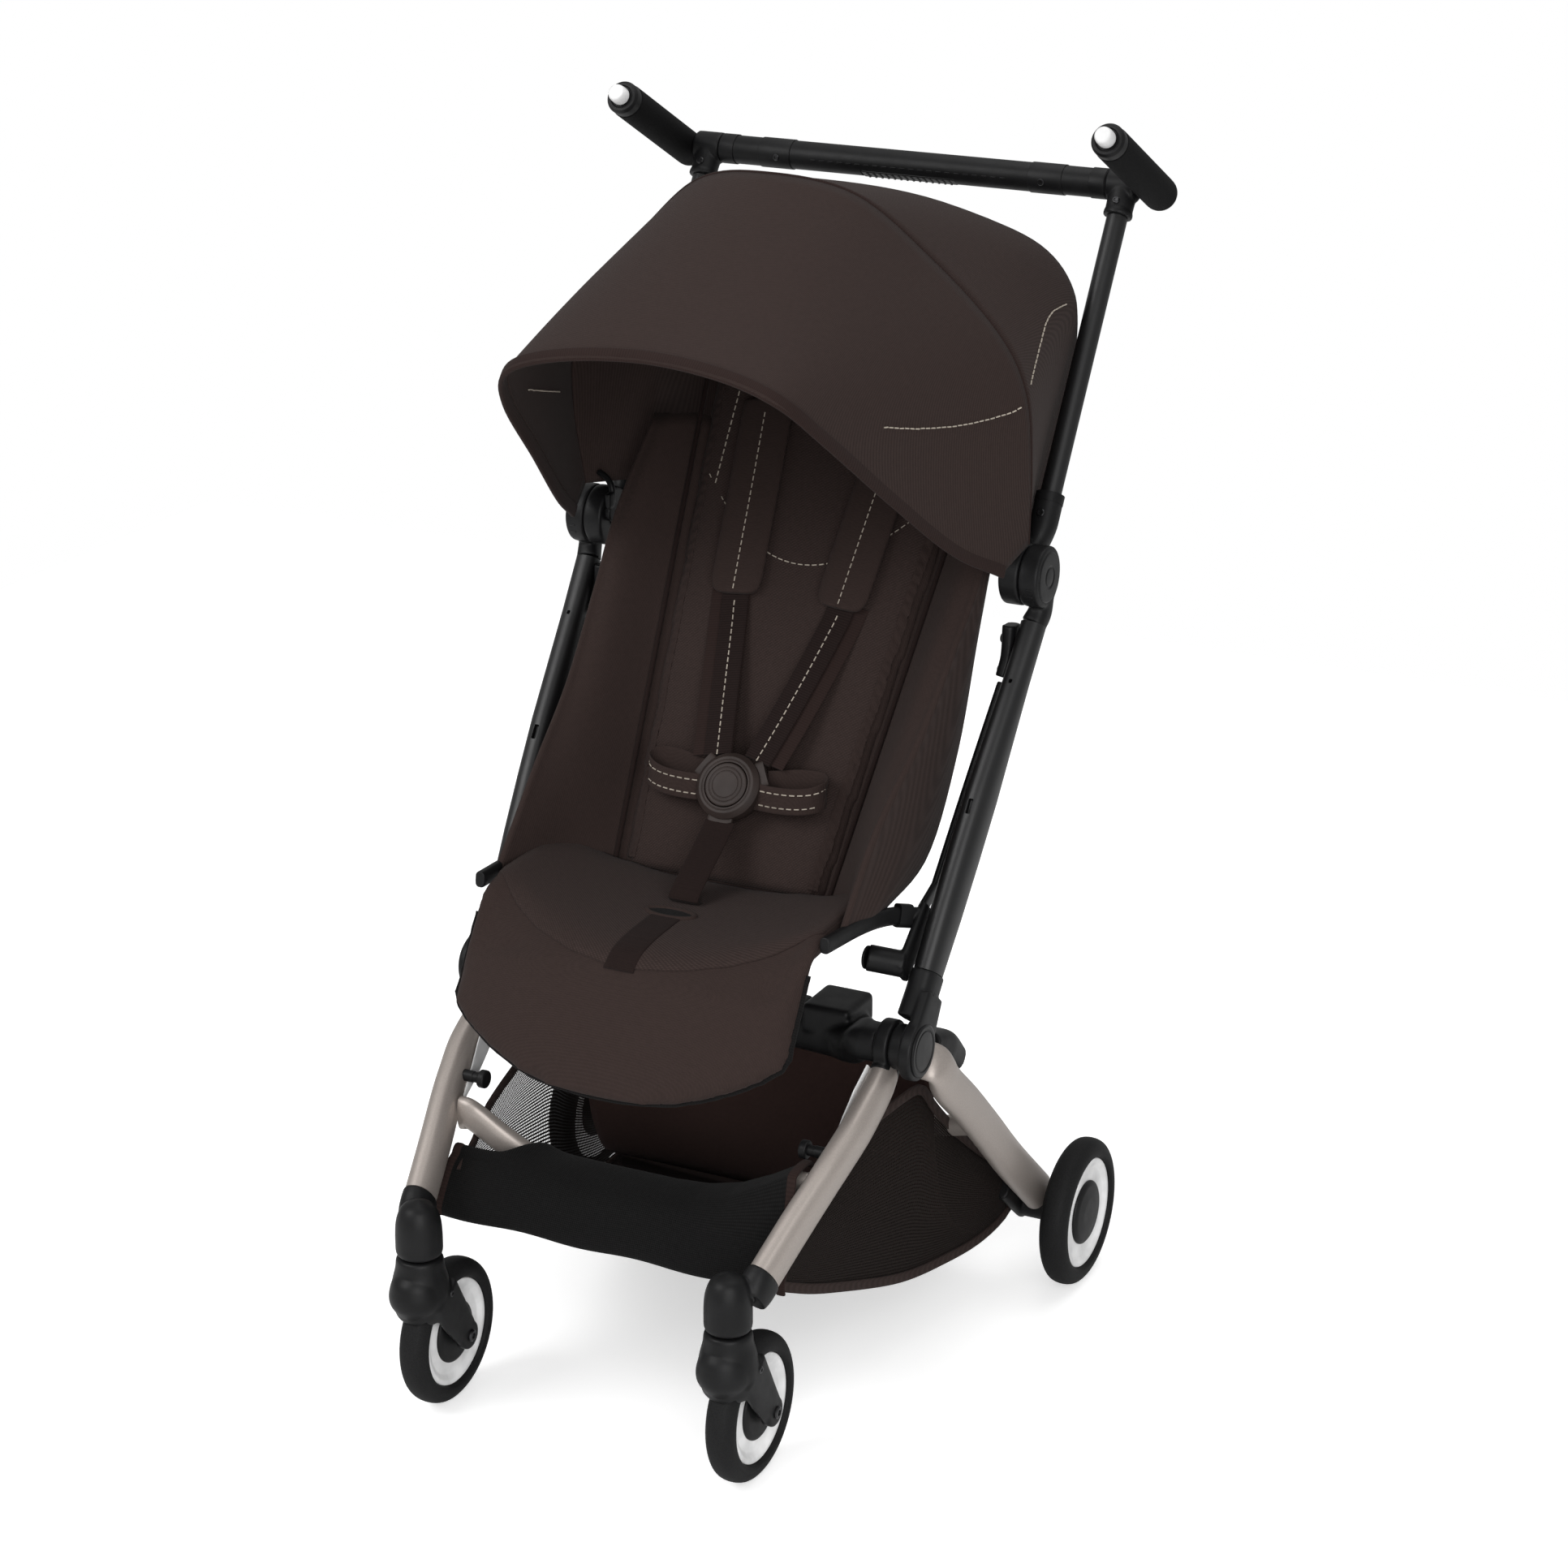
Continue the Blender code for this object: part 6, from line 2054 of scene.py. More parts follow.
@dataclass
class Handle:
    """Handle tubes, hinge heads, collars, crossbar with the fold trigger, grips and caps."""

    shop: Workshop
    inner_x: float = 0.187
    split_x: float = 0.2044
    sleeve_top: float = 0.072
    collar_radius: float = 0.0135
    bar_radius: float = 0.0125
    grip_radius: float = 0.015
    grip_reach: float = 0.128
    grip_tail: float = 0.0228
    tilt: float = math.radians(28.0)

    def head(self, side: Side) -> None:
        """Build the inner half of a fold hinge with its sleeve and screw."""
        shop, finishes = self.shop, self.shop.finishes
        axis = X_AXIS * side.value
        start = Vector((side.value * self.inner_x, PLAN.hinge_y, PLAN.hinge_z))
        x = side.value * (self.inner_x + self.split_x) / 2
        shell = puck(start, axis, 0.026, self.split_x - self.inner_x, 0.0022)
        tube_x = side.value * PLAN.handle_x
        points = [
            PLAN.handle(0.004, x) + Vector((0.0, -0.008, 0.005)), PLAN.handle(0.026, x),
            PLAN.handle(0.044, tube_x), PLAN.handle(self.sleeve_top, tube_x),
        ]
        sleeve = bar(
            points, (0.0164, 0.0166, 0.0235, 0.0236), (0.0270, 0.0245, 0.0238, 0.0236), 24, power=2.2
        )
        shop.moulded(
            f"hinge_sleeve_{side.label}", [shell, sleeve], finishes.plastic, Slot.PLASTIC, "handle",
            [f"hinge_head_{side.label}"],
        )
        bolt = puck(start + axis * 0.0003, -axis, 0.0085, 0.0016, 0.0005, 40)
        shop.piece(f"hinge_bolt_{side.label}", bolt, finishes.satin, Slot.PLASTIC, "handle")
        out = Vector((0.0, -math.cos(PLAN.handle_lean), math.sin(PLAN.handle_lean)))
        spot = PLAN.handle(0.056, tube_x) + out * 0.0114
        shop.piece(
            f"sleeve_screw_{side.label}", screw(spot, out, 0.0034), finishes.screw, Slot.PLASTIC, "handle"
        )

    def column(self, side: Side) -> None:
        """Build one tube, its collar and its grip."""
        shop, finishes = self.shop, self.shop.finishes
        x = side.value * PLAN.handle_x
        length = PLAN.handle_length
        low, high = PLAN.handle(self.sleeve_top + 0.0003, x), PLAN.handle(length - 0.0288, x)
        tube = swept([low.lerp(high, step / 12) for step in range(13)], (0.018,) * 2, (0.018,) * 2, 36)
        shop.piece(
            f"upper_tube_{side.label}", tube, finishes.tube, Slot.TUBE, "handle",
            [f"handle_tube_{side.label}"],
        )
        clamp = [PLAN.handle(self.sleeve_top - 0.004 + 0.004 * step, x) for step in range(3)]
        ring = swept(clamp, (0.0246, 0.0246), (0.0246, 0.0246), 36)
        shop.piece(f"sleeve_ring_{side.label}", ring, finishes.satin, Slot.PLASTIC, "handle")
        centre = PLAN.handle(length, x)
        inner = x - side.value * self.collar_radius
        tee = puck((inner, centre.y, centre.z), X_AXIS * side.value, self.collar_radius, 0.0255, 0.0012)
        foot = PLAN.handle(length - 0.0285, x)
        stem = swept(
            [foot.lerp(centre, step / 8) for step in range(9)], (0.0232, 0.0240, 0.0250),
            (0.0232, 0.0240, 0.0250), 36,
        )
        lip = swept([foot.lerp(centre, step * 0.05) for step in range(4)], (0.0252,) * 2, (0.0252,) * 2, 36)
        shop.moulded(
            f"tee_{side.label}", [tee, stem, lip], finishes.plastic, Slot.PLASTIC, "handle",
            [f"collar_{side.label}"],
        )
        out = Vector((0.0, -math.cos(PLAN.handle_lean), math.sin(PLAN.handle_lean)))
        spot = PLAN.handle(length - 0.018, x) + out * 0.0118
        shop.piece(
            f"tee_screw_{side.label}", screw(spot, out, 0.0032), finishes.screw, Slot.PLASTIC, "handle"
        )
        forward = Vector((0.0, -math.cos(self.tilt), math.sin(self.tilt)))
        axis = Vector((
            side.value * (PLAN.handle_x + self.collar_radius - 0.0012 + self.grip_radius), centre.y,
            centre.z,
        ))
        radius, reach, tail = self.grip_radius, self.grip_reach, self.grip_tail
        profile = rounded([
            (0.0, -tail), (radius - 0.0035, -tail), (radius - 0.0002, -tail + 0.0060),
            (radius, -tail + 0.012), (radius, reach - 0.0125), (radius - 0.0012, reach - 0.0115),
            (0.0, reach - 0.0115),
        ], 0.003)
        grip = turned(profile, axis, forward, 56)
        shop.piece(
            f"grip_foam_{side.label}", grip, finishes.foam, Slot.GRIP, "handle", [f"grip_{side.label}"]
        )
        profile = rounded([
            (0.0, reach - 0.0112), (radius - 0.0004, reach - 0.0112), (radius - 0.0004, reach - 0.0030),
            (radius - 0.0020, reach), (0.0100, reach), (0.0096, reach - 0.0012), (0.0, reach - 0.0012),
        ], 0.0006)
        end = turned(profile, axis, forward, 56)
        shop.piece(f"grip_end_{side.label}", end, finishes.plastic, Slot.PLASTIC, "handle")
        profile = rounded([
            (0.0, reach - 0.0010), (0.0080, reach - 0.0010), (0.0079, reach + 0.0080),
            (0.0068, reach + 0.0122), (0.0, reach + 0.0128),
        ], 0.002)
        cap = turned(profile, axis, forward, 40)
        shop.piece(
            f"grip_tip_{side.label}", cap, finishes.white, Slot.WHITE, "handle", [f"grip_cap_{side.label}"]
        )

    def crossbar(self) -> None:
        """Build the crossbar, its end sleeves, screws and the fold trigger with its ribs."""
        shop, finishes = self.shop, self.shop.finishes
        centre = PLAN.handle(PLAN.handle_length)
        half = PLAN.handle_x - self.collar_radius - 0.0003
        start = Vector((-half, centre.y, centre.z))
        rod = shop.piece(
            "handle_bar", puck(start, X_AXIS, self.bar_radius, 2 * half, 0.0006, 64), finishes.plastic,
            Slot.PLASTIC, "handle", ["crossbar"],
        )
        down = -PLAN.handle_up
        depth = 0.013
        pocket = centre + down * (self.bar_radius + 0.001 - depth / 2)
        shop.carve(rod, blocked(pocket, X_AXIS, down, (0.090, depth, 0.012), 0.0008))
        front = down.cross(X_AXIS)
        front = front if front.y < 0 else -front
        for side in Side:
            for x, wide in ((0.1290, 0.0310), (0.1765, 0.0140)):
                shell = turned(
                    rounded([(self.bar_radius - 0.0006, 0.0), (self.bar_radius + 0.0007, 0.0),
                             (self.bar_radius + 0.0007, wide), (self.bar_radius - 0.0006, wide)], 0.0004),
                    (side.value * x - wide / 2, centre.y, centre.z), X_AXIS, 64,
                )
                shop.piece(
                    f"bar_sleeve_{side.label}_{round(x * 1000)}", shell, finishes.plastic, Slot.PLASTIC,
                    "handle",
                )
            out = (front + down * 0.75).normalized()
            spot = Vector((side.value * 0.1262, centre.y, centre.z)) + out * (self.bar_radius + 0.0002)
            shop.piece(
                f"bar_screw_{side.label}", screw(spot, out, 0.0030), finishes.screw, Slot.PLASTIC, "handle"
            )
        key = centre + down * (self.bar_radius - 0.0005 - 0.00325)
        parts = [blocked(key, X_AXIS, down, (0.0892, 0.0065, 0.0112), 0.0009)]
        for step in range(14):
            rib = key + X_AXIS * (0.0060 * (step - 6.5)) + down * 0.0030
            parts.append(blocked(rib, X_AXIS, down, (0.0020, 0.0022, 0.0096), 0.0005))
        shop.piece(
            "trigger_key", joined(parts), finishes.satin, Slot.PLASTIC, "fold_trigger", ["fold_trigger"]
        )
        slots = []
        for step in range(22):
            spot = centre + X_AXIS * (0.0086 * (step - 10.5)) + (
                down * 0.6 + front * 0.8
            ).normalized() * self.bar_radius
            slots.append(
                blocked(
                    spot, X_AXIS, (down * 0.6 + front * 0.8).normalized(), (0.0052, 0.0012, 0.0016), 0.0004
                )
            )
        shop.piece("bar_ribs", joined(slots), finishes.satin, Slot.PLASTIC, "handle")

    def clip(self, side: Side) -> None:
        """Build the clip that holds the hood beside a hinge."""
        shop, finishes = self.shop, self.shop.finishes
        axis = X_AXIS * side.value
        start = Vector((side.value * (self.inner_x - 0.0058), 0.100, 0.667))
        plate = puck(start, axis, 0.009, 0.0054, 0.0010, 32)
        arm = bar(
            side.line(((self.inner_x - 0.0031, 0.1000, 0.669), (self.inner_x - 0.0031, 0.1010, 0.6860),
                       (self.inner_x + 0.0030, 0.1040, 0.6945), (self.inner_x + 0.0132, 0.1068, 0.6988))),
            (0.0054,) * 2, (0.0054,) * 2, 20, power=2.6, across=Y_AXIS,
        )
        jaw = blocked(
            start + Vector((axis.x * 0.0020, -0.0050, 0.0110)), X_AXIS, Z_AXIS, (0.0050, 0.0130, 0.0085),
            0.0012,
        )
        shop.moulded(
            f"hood_clip_{side.label}", [plate, arm, jaw], finishes.plastic, Slot.PLASTIC, "handle",
            [f"canopy_clip_{side.label}"], voxel=0.0007,
        )

    def build(self) -> None:
        """Build the handle."""
        for side in Side:
            self.head(side)
            self.column(side)
            self.clip(side)
        self.crossbar()


@dataclass
class FrontEnd:
    """Front legs with their cross-member, caster sockets, forks and their bolts."""

    shop: Workshop
    ear_x: float = 0.1760
    ear_width: float = 0.0122
    foot: Point = (0.1598, -0.2780, 0.1900)
    shin_end: Point = (0.1584, -0.2843, 0.1852)
    caster: Point = (0.142, -0.3146, 0.1485)
    axle: Point = (0.142, -0.2773, 0.062)
    swivel_radius: float = 0.0195
    arm_inner: float = 0.0147
    arm_outer: float = 0.0242

    def leg(self, side: Side) -> None:
        """Build a leg, its upper cap and its knob."""
        shop, finishes = self.shop, self.shop.finishes
        hub, middle = PLAN.hub, self.ear_x + self.ear_width / 2
        route = side.line((
            (0.1812, -0.1120, 0.2960), (0.1830, -0.1262, 0.2900), (0.1840, -0.1446, 0.2822),
            (0.1833, -0.1700, 0.2685), (0.1797, -0.1915, 0.2545), (0.1755, -0.2120, 0.2405),
            (0.1670, -0.2460, 0.2145), self.shin_end,
        ))
        path = smooth_path(route, 57)
        widths = (0.0208, 0.0224, 0.0234, 0.0236, 0.0234, 0.0232, 0.0232, 0.0232)
        depths = (0.0330, 0.0335, 0.0340, 0.0340, 0.0340, 0.0340, 0.0360, 0.0360)
        shop.piece(
            f"leg_front_{side.label}", swept(path, widths, depths, 44, 2.3), finishes.champagne,
            Slot.CHAMPAGNE, "front_legs", [f"front_leg_{side.label}"],
        )
        eye = puck(
            (side.value * self.ear_x, hub.y, hub.z), X_AXIS * side.value, 0.0215, self.ear_width, 0.001
        )
        throat = side.line(((middle, -0.1010, 0.3190), (middle, -0.1060, 0.3080)))
        sleeve = swept(
            even_path([*throat, path[0], path[3], path[6]], 17), (0.0122, 0.0140, 0.0185, 0.0205),
            (0.0300, 0.0340, 0.0362, 0.0364), 40, 2.4,
        )
        shop.moulded(
            f"leg_skirt_front_{side.label}", [sleeve, eye], finishes.plastic, Slot.PLASTIC, "front_legs",
            passes=4,
        )
        shield = side.line((
            (0.1725, -0.1250, 0.3040), (0.1715, -0.1420, 0.2860), (0.1700, -0.1610, 0.2680),
            (0.1680, -0.1800, 0.2520), (0.1660, -0.2010, 0.2370),
        ))
        plate = bar(shield, (0.0022,) * 2, (0.008, 0.022, 0.022, 0.014, 0.004), 24, power=3.0)
        shop.piece(f"leg_shield_{side.label}", plate, finishes.white, Slot.WHITE, "front_legs")
        knob = Vector((side.value * 0.1600, -0.1945, 0.2550))
        stalk = puck(knob, X_AXIS * -side.value, 0.0045, 0.0120, 0.0008, 24)
        head = puck(knob - X_AXIS * side.value * 0.0070, X_AXIS * -side.value, 0.0078, 0.0065, 0.0015, 32)
        root = puck(knob + X_AXIS * side.value * 0.0135, X_AXIS * -side.value, 0.0050, 0.0150, 0.0008, 24)
        shop.piece(
            f"leg_knob_{side.label}", joined([stalk, head, root]), finishes.plastic, Slot.PLASTIC,
            "front_legs",
        )

    def socket(self, side: Side) -> None:
        """Build a caster's socket at a leg's foot."""
        shop, finishes = self.shop, self.shop.finishes
        top = self.caster[2] + 0.0003
        radius = self.swivel_radius
        profile = rounded([
            (0.0, top), (radius, top), (radius, 0.1700), (radius - 0.0010, 0.1820),
            (radius - 0.0060, 0.1940), (0.0, 0.1990),
        ], 0.006)
        body = turned(profile, (side.value * self.caster[0], self.caster[1], 0.0), Z_AXIS, 64)
        foot = side.at(self.foot)
        along = (foot - side.at((0.1670, -0.2460, 0.2145))).normalized()
        sleeve = swept(
            [foot + along * (0.0083 + 0.0036 * step) for step in range(7)],
            (0.0252, 0.0266, 0.0272, 0.0262), (0.0384, 0.0378, 0.0350, 0.0300), 40, 2.3,
        )
        shop.moulded(
            f"leg_socket_{side.label}", [body, sleeve], finishes.plastic, Slot.PLASTIC, "front_legs",
            [f"caster_socket_{side.label}"], passes=5,
        )

    def fork(self, side: Side) -> None:
        """Build a fork round its wheel, with the axle's bolt heads and the side screw."""
        shop, finishes = self.shop, self.shop.finishes
        body = f"caster_{side.label}"
        centre, axle = side.at(self.caster), side.at(self.axle)
        profile = rounded([
            (0.0, -0.0620), (0.0120, -0.0610), (0.0205, -0.0540), (0.0240, -0.0410), (0.0246, -0.0320),
            (0.0230, -0.0205), (self.swivel_radius + 0.0006, -0.0100), (self.swivel_radius, 0.0), (0.0, 0.0),
        ], 0.004)
        parts = [turned(profile, centre, Z_AXIS, 72)]
        knee = turned(
            rounded([
                (0.0, -0.0540), (0.0150, -0.0510), (0.0225, -0.0400), (0.0232, -0.0320), (0.0200, -0.0190),
                (0.0110, -0.0100), (0.0, -0.0080),
            ], 0.005),
            centre + Vector((0.0, -0.0065, 0.0)), Z_AXIS, 72,
        )
        parts.append(knee)
        for way in (-1.0, 1.0):
            x = axle.x + way * (self.arm_inner + self.arm_outer) / 2
            wide = self.arm_outer - self.arm_inner
            route = [
                Vector((x, centre.y + 0.004, centre.z - 0.034)),
                Vector((x, (centre.y + axle.y) / 2, 0.0900)), Vector((x, axle.y - 0.002, axle.z + 0.004)),
            ]
            parts.append(
                bar(route, (wide + 0.0006, wide, wide - 0.0004), (0.0360, 0.0335, 0.0262), 18, power=3.2)
            )
            end = Vector((axle.x + way * self.arm_inner, axle.y, axle.z))
            parts.append(puck(end, X_AXIS * way, 0.0124, wide - 0.0004, 0.0016, 40))
        thing = shop.moulded(
            f"fork_{side.label}", parts, finishes.plastic, Slot.PLASTIC, body,
            [f"caster_fork_{side.label}"], passes=4,
        )
        slot = puck(
            axle - X_AXIS * (self.arm_inner - 0.0002), X_AXIS, 0.0637, 2 * self.arm_inner - 0.0004, 0.0015,
            96,
        )
        shop.carve(thing, slot)
        bolts = []
        for way in (-1.0, 1.0):
            spot = axle + X_AXIS * way * (self.arm_outer - 0.0006)
            bolts.append(screw(spot, X_AXIS * way, 0.0052))
            spot = Vector((centre.x + way * 0.0236, centre.y + 0.0090, centre.z - 0.0340))
            bolts.append(screw(spot, X_AXIS * way, 0.0030))
        bolts.append(puck(axle - X_AXIS * 0.0185, X_AXIS, 0.0030, 0.037, 0.0004, 24))
        shop.piece(f"fork_bolts_{side.label}", joined(bolts), finishes.screw, Slot.PLASTIC, body)

    def member(self) -> None:
        """Build the dipped cross-member between the legs."""
        half = (
            (0.1610, -0.2130, 0.2300), (0.1500, -0.2130, 0.2290), (0.1250, -0.2050, 0.2085),
            (0.1000, -0.2030, 0.1960), (0.0600, -0.2020, 0.1890), (0.0, -0.2020, 0.1870),
        )
        points = mirrored(half)
        widths = (0.030, 0.026, 0.025, 0.025, 0.025, 0.025, 0.025, 0.025, 0.025, 0.026, 0.030)
        depths = (0.013, 0.015, 0.016, 0.016, 0.018, 0.018, 0.018, 0.016, 0.016, 0.015, 0.013)
        tube = swept(smooth_path(points, 81), depths, widths, 36, 2.4, Y_AXIS)
        self.shop.piece(
            "front_member", tube, self.shop.finishes.champagne, Slot.CHAMPAGNE, "front_legs",
            ["front_crossbar"],
        )

    def build(self) -> None:
        """Build the front end."""
        for side in Side:
            self.leg(side)
            self.socket(side)
            self.fork(side)
        self.member()


@dataclass
class RearEnd:
    """Rear legs with their cross-member, axle housings and brake pedal."""

    shop: Workshop
    ear_x: float = 0.1885
    plate: float = 0.0117
    leg_x: float = 0.2115
    wheel: Point = (0.247, 0.1535, 0.066)

    def leg(self, side: Side) -> None:
        """Build a leg and its upper cap."""
        shop, finishes = self.shop, self.shop.finishes
        hub, middle = PLAN.hub, self.ear_x + self.plate / 2
        route = side.line((
            (middle, hub.y + 0.0080, hub.z - 0.0064), (middle, hub.y + 0.0215, hub.z - 0.0174),
            (0.2114, hub.y + 0.0300, hub.z - 0.0245), (self.leg_x, -0.0565, 0.2690),
            (self.leg_x, -0.0150, 0.2320), (self.leg_x, 0.0300, 0.1890), (self.leg_x, 0.0790, 0.1410),
            (self.leg_x, 0.1460, 0.0810),
        ))
        path = smooth_path(route, 57)
        widths = (0.0117, 0.0117, 0.0200, 0.0220, 0.0220, 0.0220, 0.0220, 0.0220)
        depths = (0.0310, 0.0330, 0.0345, 0.0345, 0.0345, 0.0345, 0.0345, 0.0345)
        eye = puck((side.value * self.ear_x, hub.y, hub.z), X_AXIS * side.value, 0.019, self.plate, 0.001)
        shop.moulded(
            f"leg_root_rear_{side.label}", [swept(path[:9], (0.0117,) * 2, (0.0280, 0.0310), 40, 2.3), eye],
            finishes.plastic, Slot.PLASTIC, "rear_legs",
        )
        shop.piece(
            f"leg_rear_{side.label}", swept(path[7:], widths, depths, 44, 2.3), finishes.champagne,
            Slot.CHAMPAGNE, "rear_legs", [f"rear_leg_{side.label}"],
        )

    def housing(self, side: Side) -> None:
        """Build an axle housing at a leg's foot."""
        shop, finishes = self.shop, self.shop.finishes
        outer = self.leg_x - 0.0113
        x = outer - 0.00575
        y, z = self.wheel[1], self.wheel[2]
        plate = bar(side.line(((x, 0.1130, 0.1000), (x, 0.1300, 0.0860), (x, y + 0.006, z - 0.004))),
                    (0.0113,) * 2, (0.0300, 0.0320, 0.0330), 18, power=3.0)
        axis = X_AXIS * side.value
        start = Vector((side.value * (outer - 0.006), y, z))
        boss = puck(start, axis, 0.0148, 0.0396, 0.0012, 48)
        pin = puck(start, axis, 0.0030, 0.0540, 0.0004, 24)
        shop.moulded(
            f"axle_block_{side.label}", [plate, boss, pin], finishes.plastic, Slot.PLASTIC, "rear_legs",
            [f"axle_housing_{side.label}"],
        )

    def build(self) -> None:
        """Build the rear end."""
        shop, finishes = self.shop, self.shop.finishes
        for side in Side:
            self.leg(side)
            self.housing(side)
        end = self.leg_x - 0.0113
        half = ((end, 0.0378, 0.1860), (end - 0.0120, 0.0378, 0.1860), (end - 0.0402, 0.0378, 0.1800),
                (end - 0.0902, 0.0378, 0.1760), (0.0, 0.0378, 0.1745))
        points = mirrored(half)
        widths = (0.034, 0.030, 0.025, 0.023, 0.023, 0.023, 0.025, 0.030, 0.034)
        depths = (0.013, 0.015, 0.016, 0.017, 0.018, 0.017, 0.016, 0.015, 0.013)
        tube = swept(smooth_path(points, 81), widths, depths, 36, 2.4, Vector((0.0, 0.72, -0.69)))
        shop.piece("rear_member", tube, finishes.champagne, Slot.CHAMPAGNE, "rear_legs", ["rear_crossbar"])
        x = -(end - 0.0118) + 0.010
        lever = bar(
            [(x, 0.142, 0.083), (x, 0.165, 0.0815), (x, 0.188, 0.079)], (0.0196,) * 2,
            (0.0176, 0.0130, 0.0108), 20, power=3.0,
        )
        tread = [blocked((x, 0.172 + 0.0045 * step, 0.0868 - 0.0004 * step), X_AXIS, Y_AXIS,
                         (0.0160, 0.0020, 0.0020), 0.0005) for step in range(4)]
        shop.piece(
            "brake_lever", joined([lever, *tread]), finishes.plastic, Slot.PLASTIC, "brake_pedal",
            ["brake_pedal"],
        )


@dataclass
class SeatFrame:
    """Seat bars, side struts and the fold mechanism below the seat."""

    shop: Workshop
    bar_x: float = 0.158
    mount_x: float = 0.1868

    def bracket(self, side: Side) -> None:
        """Build a seat bar with its mount, clamp and peg."""
        shop, finishes = self.shop, self.shop.finishes
        plate_x = self.mount_x - 0.004
        rail = bar(
            side.line((
                (self.bar_x, -0.1780, 0.4265), (self.bar_x + 0.004, -0.1100, 0.4215),
                (self.bar_x + 0.0095, -0.0700, 0.4145), (plate_x, -0.0450, 0.4080),
            )),
            (0.009, 0.009, 0.010, 0.008), (0.014, 0.014, 0.015, 0.015), 28, power=3.0,
        )
        plate = bar(
            side.line(((plate_x, -0.0370, 0.4120), (plate_x, -0.0610, 0.3920), (plate_x, -0.0860, 0.3720))),
            (0.0080,) * 2, (0.0230, 0.0240, 0.0236), 16, power=3.2,
        )
        peg = swept(
            [
                side.at((0.155, -0.0905, 0.3835)).lerp(side.at((plate_x, -0.0810, 0.3790)), step / 6)
                for step in range(7)
            ],
            (0.022,) * 2, (0.022,) * 2, 40, 2.0, Z_AXIS,
        )
        shop.moulded(
            f"seat_bracket_{side.label}", [rail, plate, peg], finishes.plastic, Slot.PLASTIC, "main_frame",
            [f"seat_mount_{side.label}"], voxel=0.0009,
        )
        first, last = side.at((0.1690, -0.0660, 0.4140)), side.at((0.1755, -0.0560, 0.4110))
        clamp = swept([
            first.lerp(last, step / 4) for step in range(5)
        ], (0.0126,) * 2, (0.0196,) * 2, 28, 3.6)
        shop.piece(f"seat_clamp_{side.label}", clamp, finishes.satin, Slot.PLASTIC, "main_frame")
        cap = puck(side.at((0.1552, -0.0905, 0.3835)), X_AXIS * -side.value, 0.0098, 0.0020, 0.0008, 32)
        shop.piece(f"seat_peg_cap_{side.label}", cap, finishes.satin, Slot.PLASTIC, "main_frame")

    def strut(self, side: Side) -> None:
        """Build a side strut with its upper bracket and rivets."""
        shop, finishes = self.shop, self.shop.finishes
        x = 0.2102 - 0.0105 - 0.0003 - 0.006
        head = bar(side.line(((x, 0.1010, 0.6180), (x, 0.0985, 0.5920), (x - 0.002, 0.0910, 0.5740))),
                   (0.0118, 0.0116, 0.0106), (0.0200, 0.0210, 0.0190), 18, power=3.2)
        rod = bar(
            side.line((
                (x - 0.002, 0.0890, 0.5700), (x - 0.0120, 0.0420, 0.4900), (0.1755, -0.0060, 0.4180)
            )),
            (0.0066, 0.0062, 0.0062), (0.0120, 0.0100, 0.0104), 30, power=2.8,
        )
        outer = 0.1785
        foot = bar(
            side.line((
                (outer - 0.003, -0.0050, 0.4185), (outer - 0.003, -0.0200, 0.4120),
                (outer - 0.003, -0.0330, 0.4065),
            )),
            (0.0058,) * 2, (0.0120, 0.0130, 0.0136), 12, power=3.0,
        )
        shop.moulded(
            f"strut_{side.label}", [head, rod, foot], finishes.satin, Slot.PLASTIC, "main_frame",
            [f"side_strut_{side.label}"], voxel=0.0009,
        )
        rivets = []
        for y, z in ((0.0990, 0.6060), (0.0935, 0.5800)):
            rivets.append(screw((side.value * (x - 0.0056), y, z), X_AXIS * -side.value, 0.0042))
        shop.piece(f"strut_rivets_{side.label}", joined(rivets), finishes.screw, Slot.PLASTIC, "main_frame")

    def build(self) -> None:
        """Build the seat's frame."""
        shop, finishes = self.shop, self.shop.finishes
        for side in Side:
            self.bracket(side)
            self.strut(side)
        hub = PLAN.hub
        half = (
            (0.1749, hub.y, hub.z), (0.1640, hub.y, hub.z), (0.1580, hub.y + 0.002, hub.z - 0.001),
            (0.1440, hub.y + 0.020, hub.z - 0.012), (0.1100, hub.y + 0.042, hub.z - 0.018),
            (0.0, hub.y + 0.051, hub.z - 0.020),
        )
        points = mirrored(half)
        widths = (0.032, 0.032, 0.034, 0.040, 0.050, 0.050, 0.050, 0.040, 0.034, 0.032, 0.032)
        depths = (0.029, 0.029, 0.029, 0.031, 0.034, 0.034, 0.034, 0.031, 0.029, 0.029, 0.029)
        parts = [swept(smooth_path(points, 61), widths, depths, 36, 3.4, Y_AXIS)]
        for side in Side:
            centre = side.at((0.1150, -0.0640, 0.3170))
            parts.append(blocked(centre, X_AXIS, Y_AXIS, (0.044, 0.050, 0.026), 0.004))
            parts.append(
                blocked(side.at((0.0700, -0.0600, 0.3120)), X_AXIS, Y_AXIS, (0.030, 0.030, 0.014), 0.003)
            )
        for side in Side:
            box = bar(
                side.line(((0.1690, -0.0100, 0.2760), (0.1690, 0.0180, 0.2640), (0.1690, 0.0440, 0.2440))),
                (0.030, 0.034, 0.030), (0.026, 0.032, 0.024), 16, power=3.0,
            )
            link = bar(
                side.line(((0.1500, -0.0780, 0.3060), (0.1580, -0.0300, 0.2900), (0.1660, 0.0100, 0.2680))),
                (0.014,) * 2, (0.018, 0.020, 0.020), 16, power=3.0,
            )
            shop.moulded(
                f"fold_link_{side.label}", [box, link], finishes.plastic, Slot.PLASTIC, "main_frame"
            )
        shop.moulded(
            "fold_mechanism", parts, finishes.plastic, Slot.PLASTIC, "main_frame", ["fold_block"],
            voxel=0.0018, passes=2,
        )


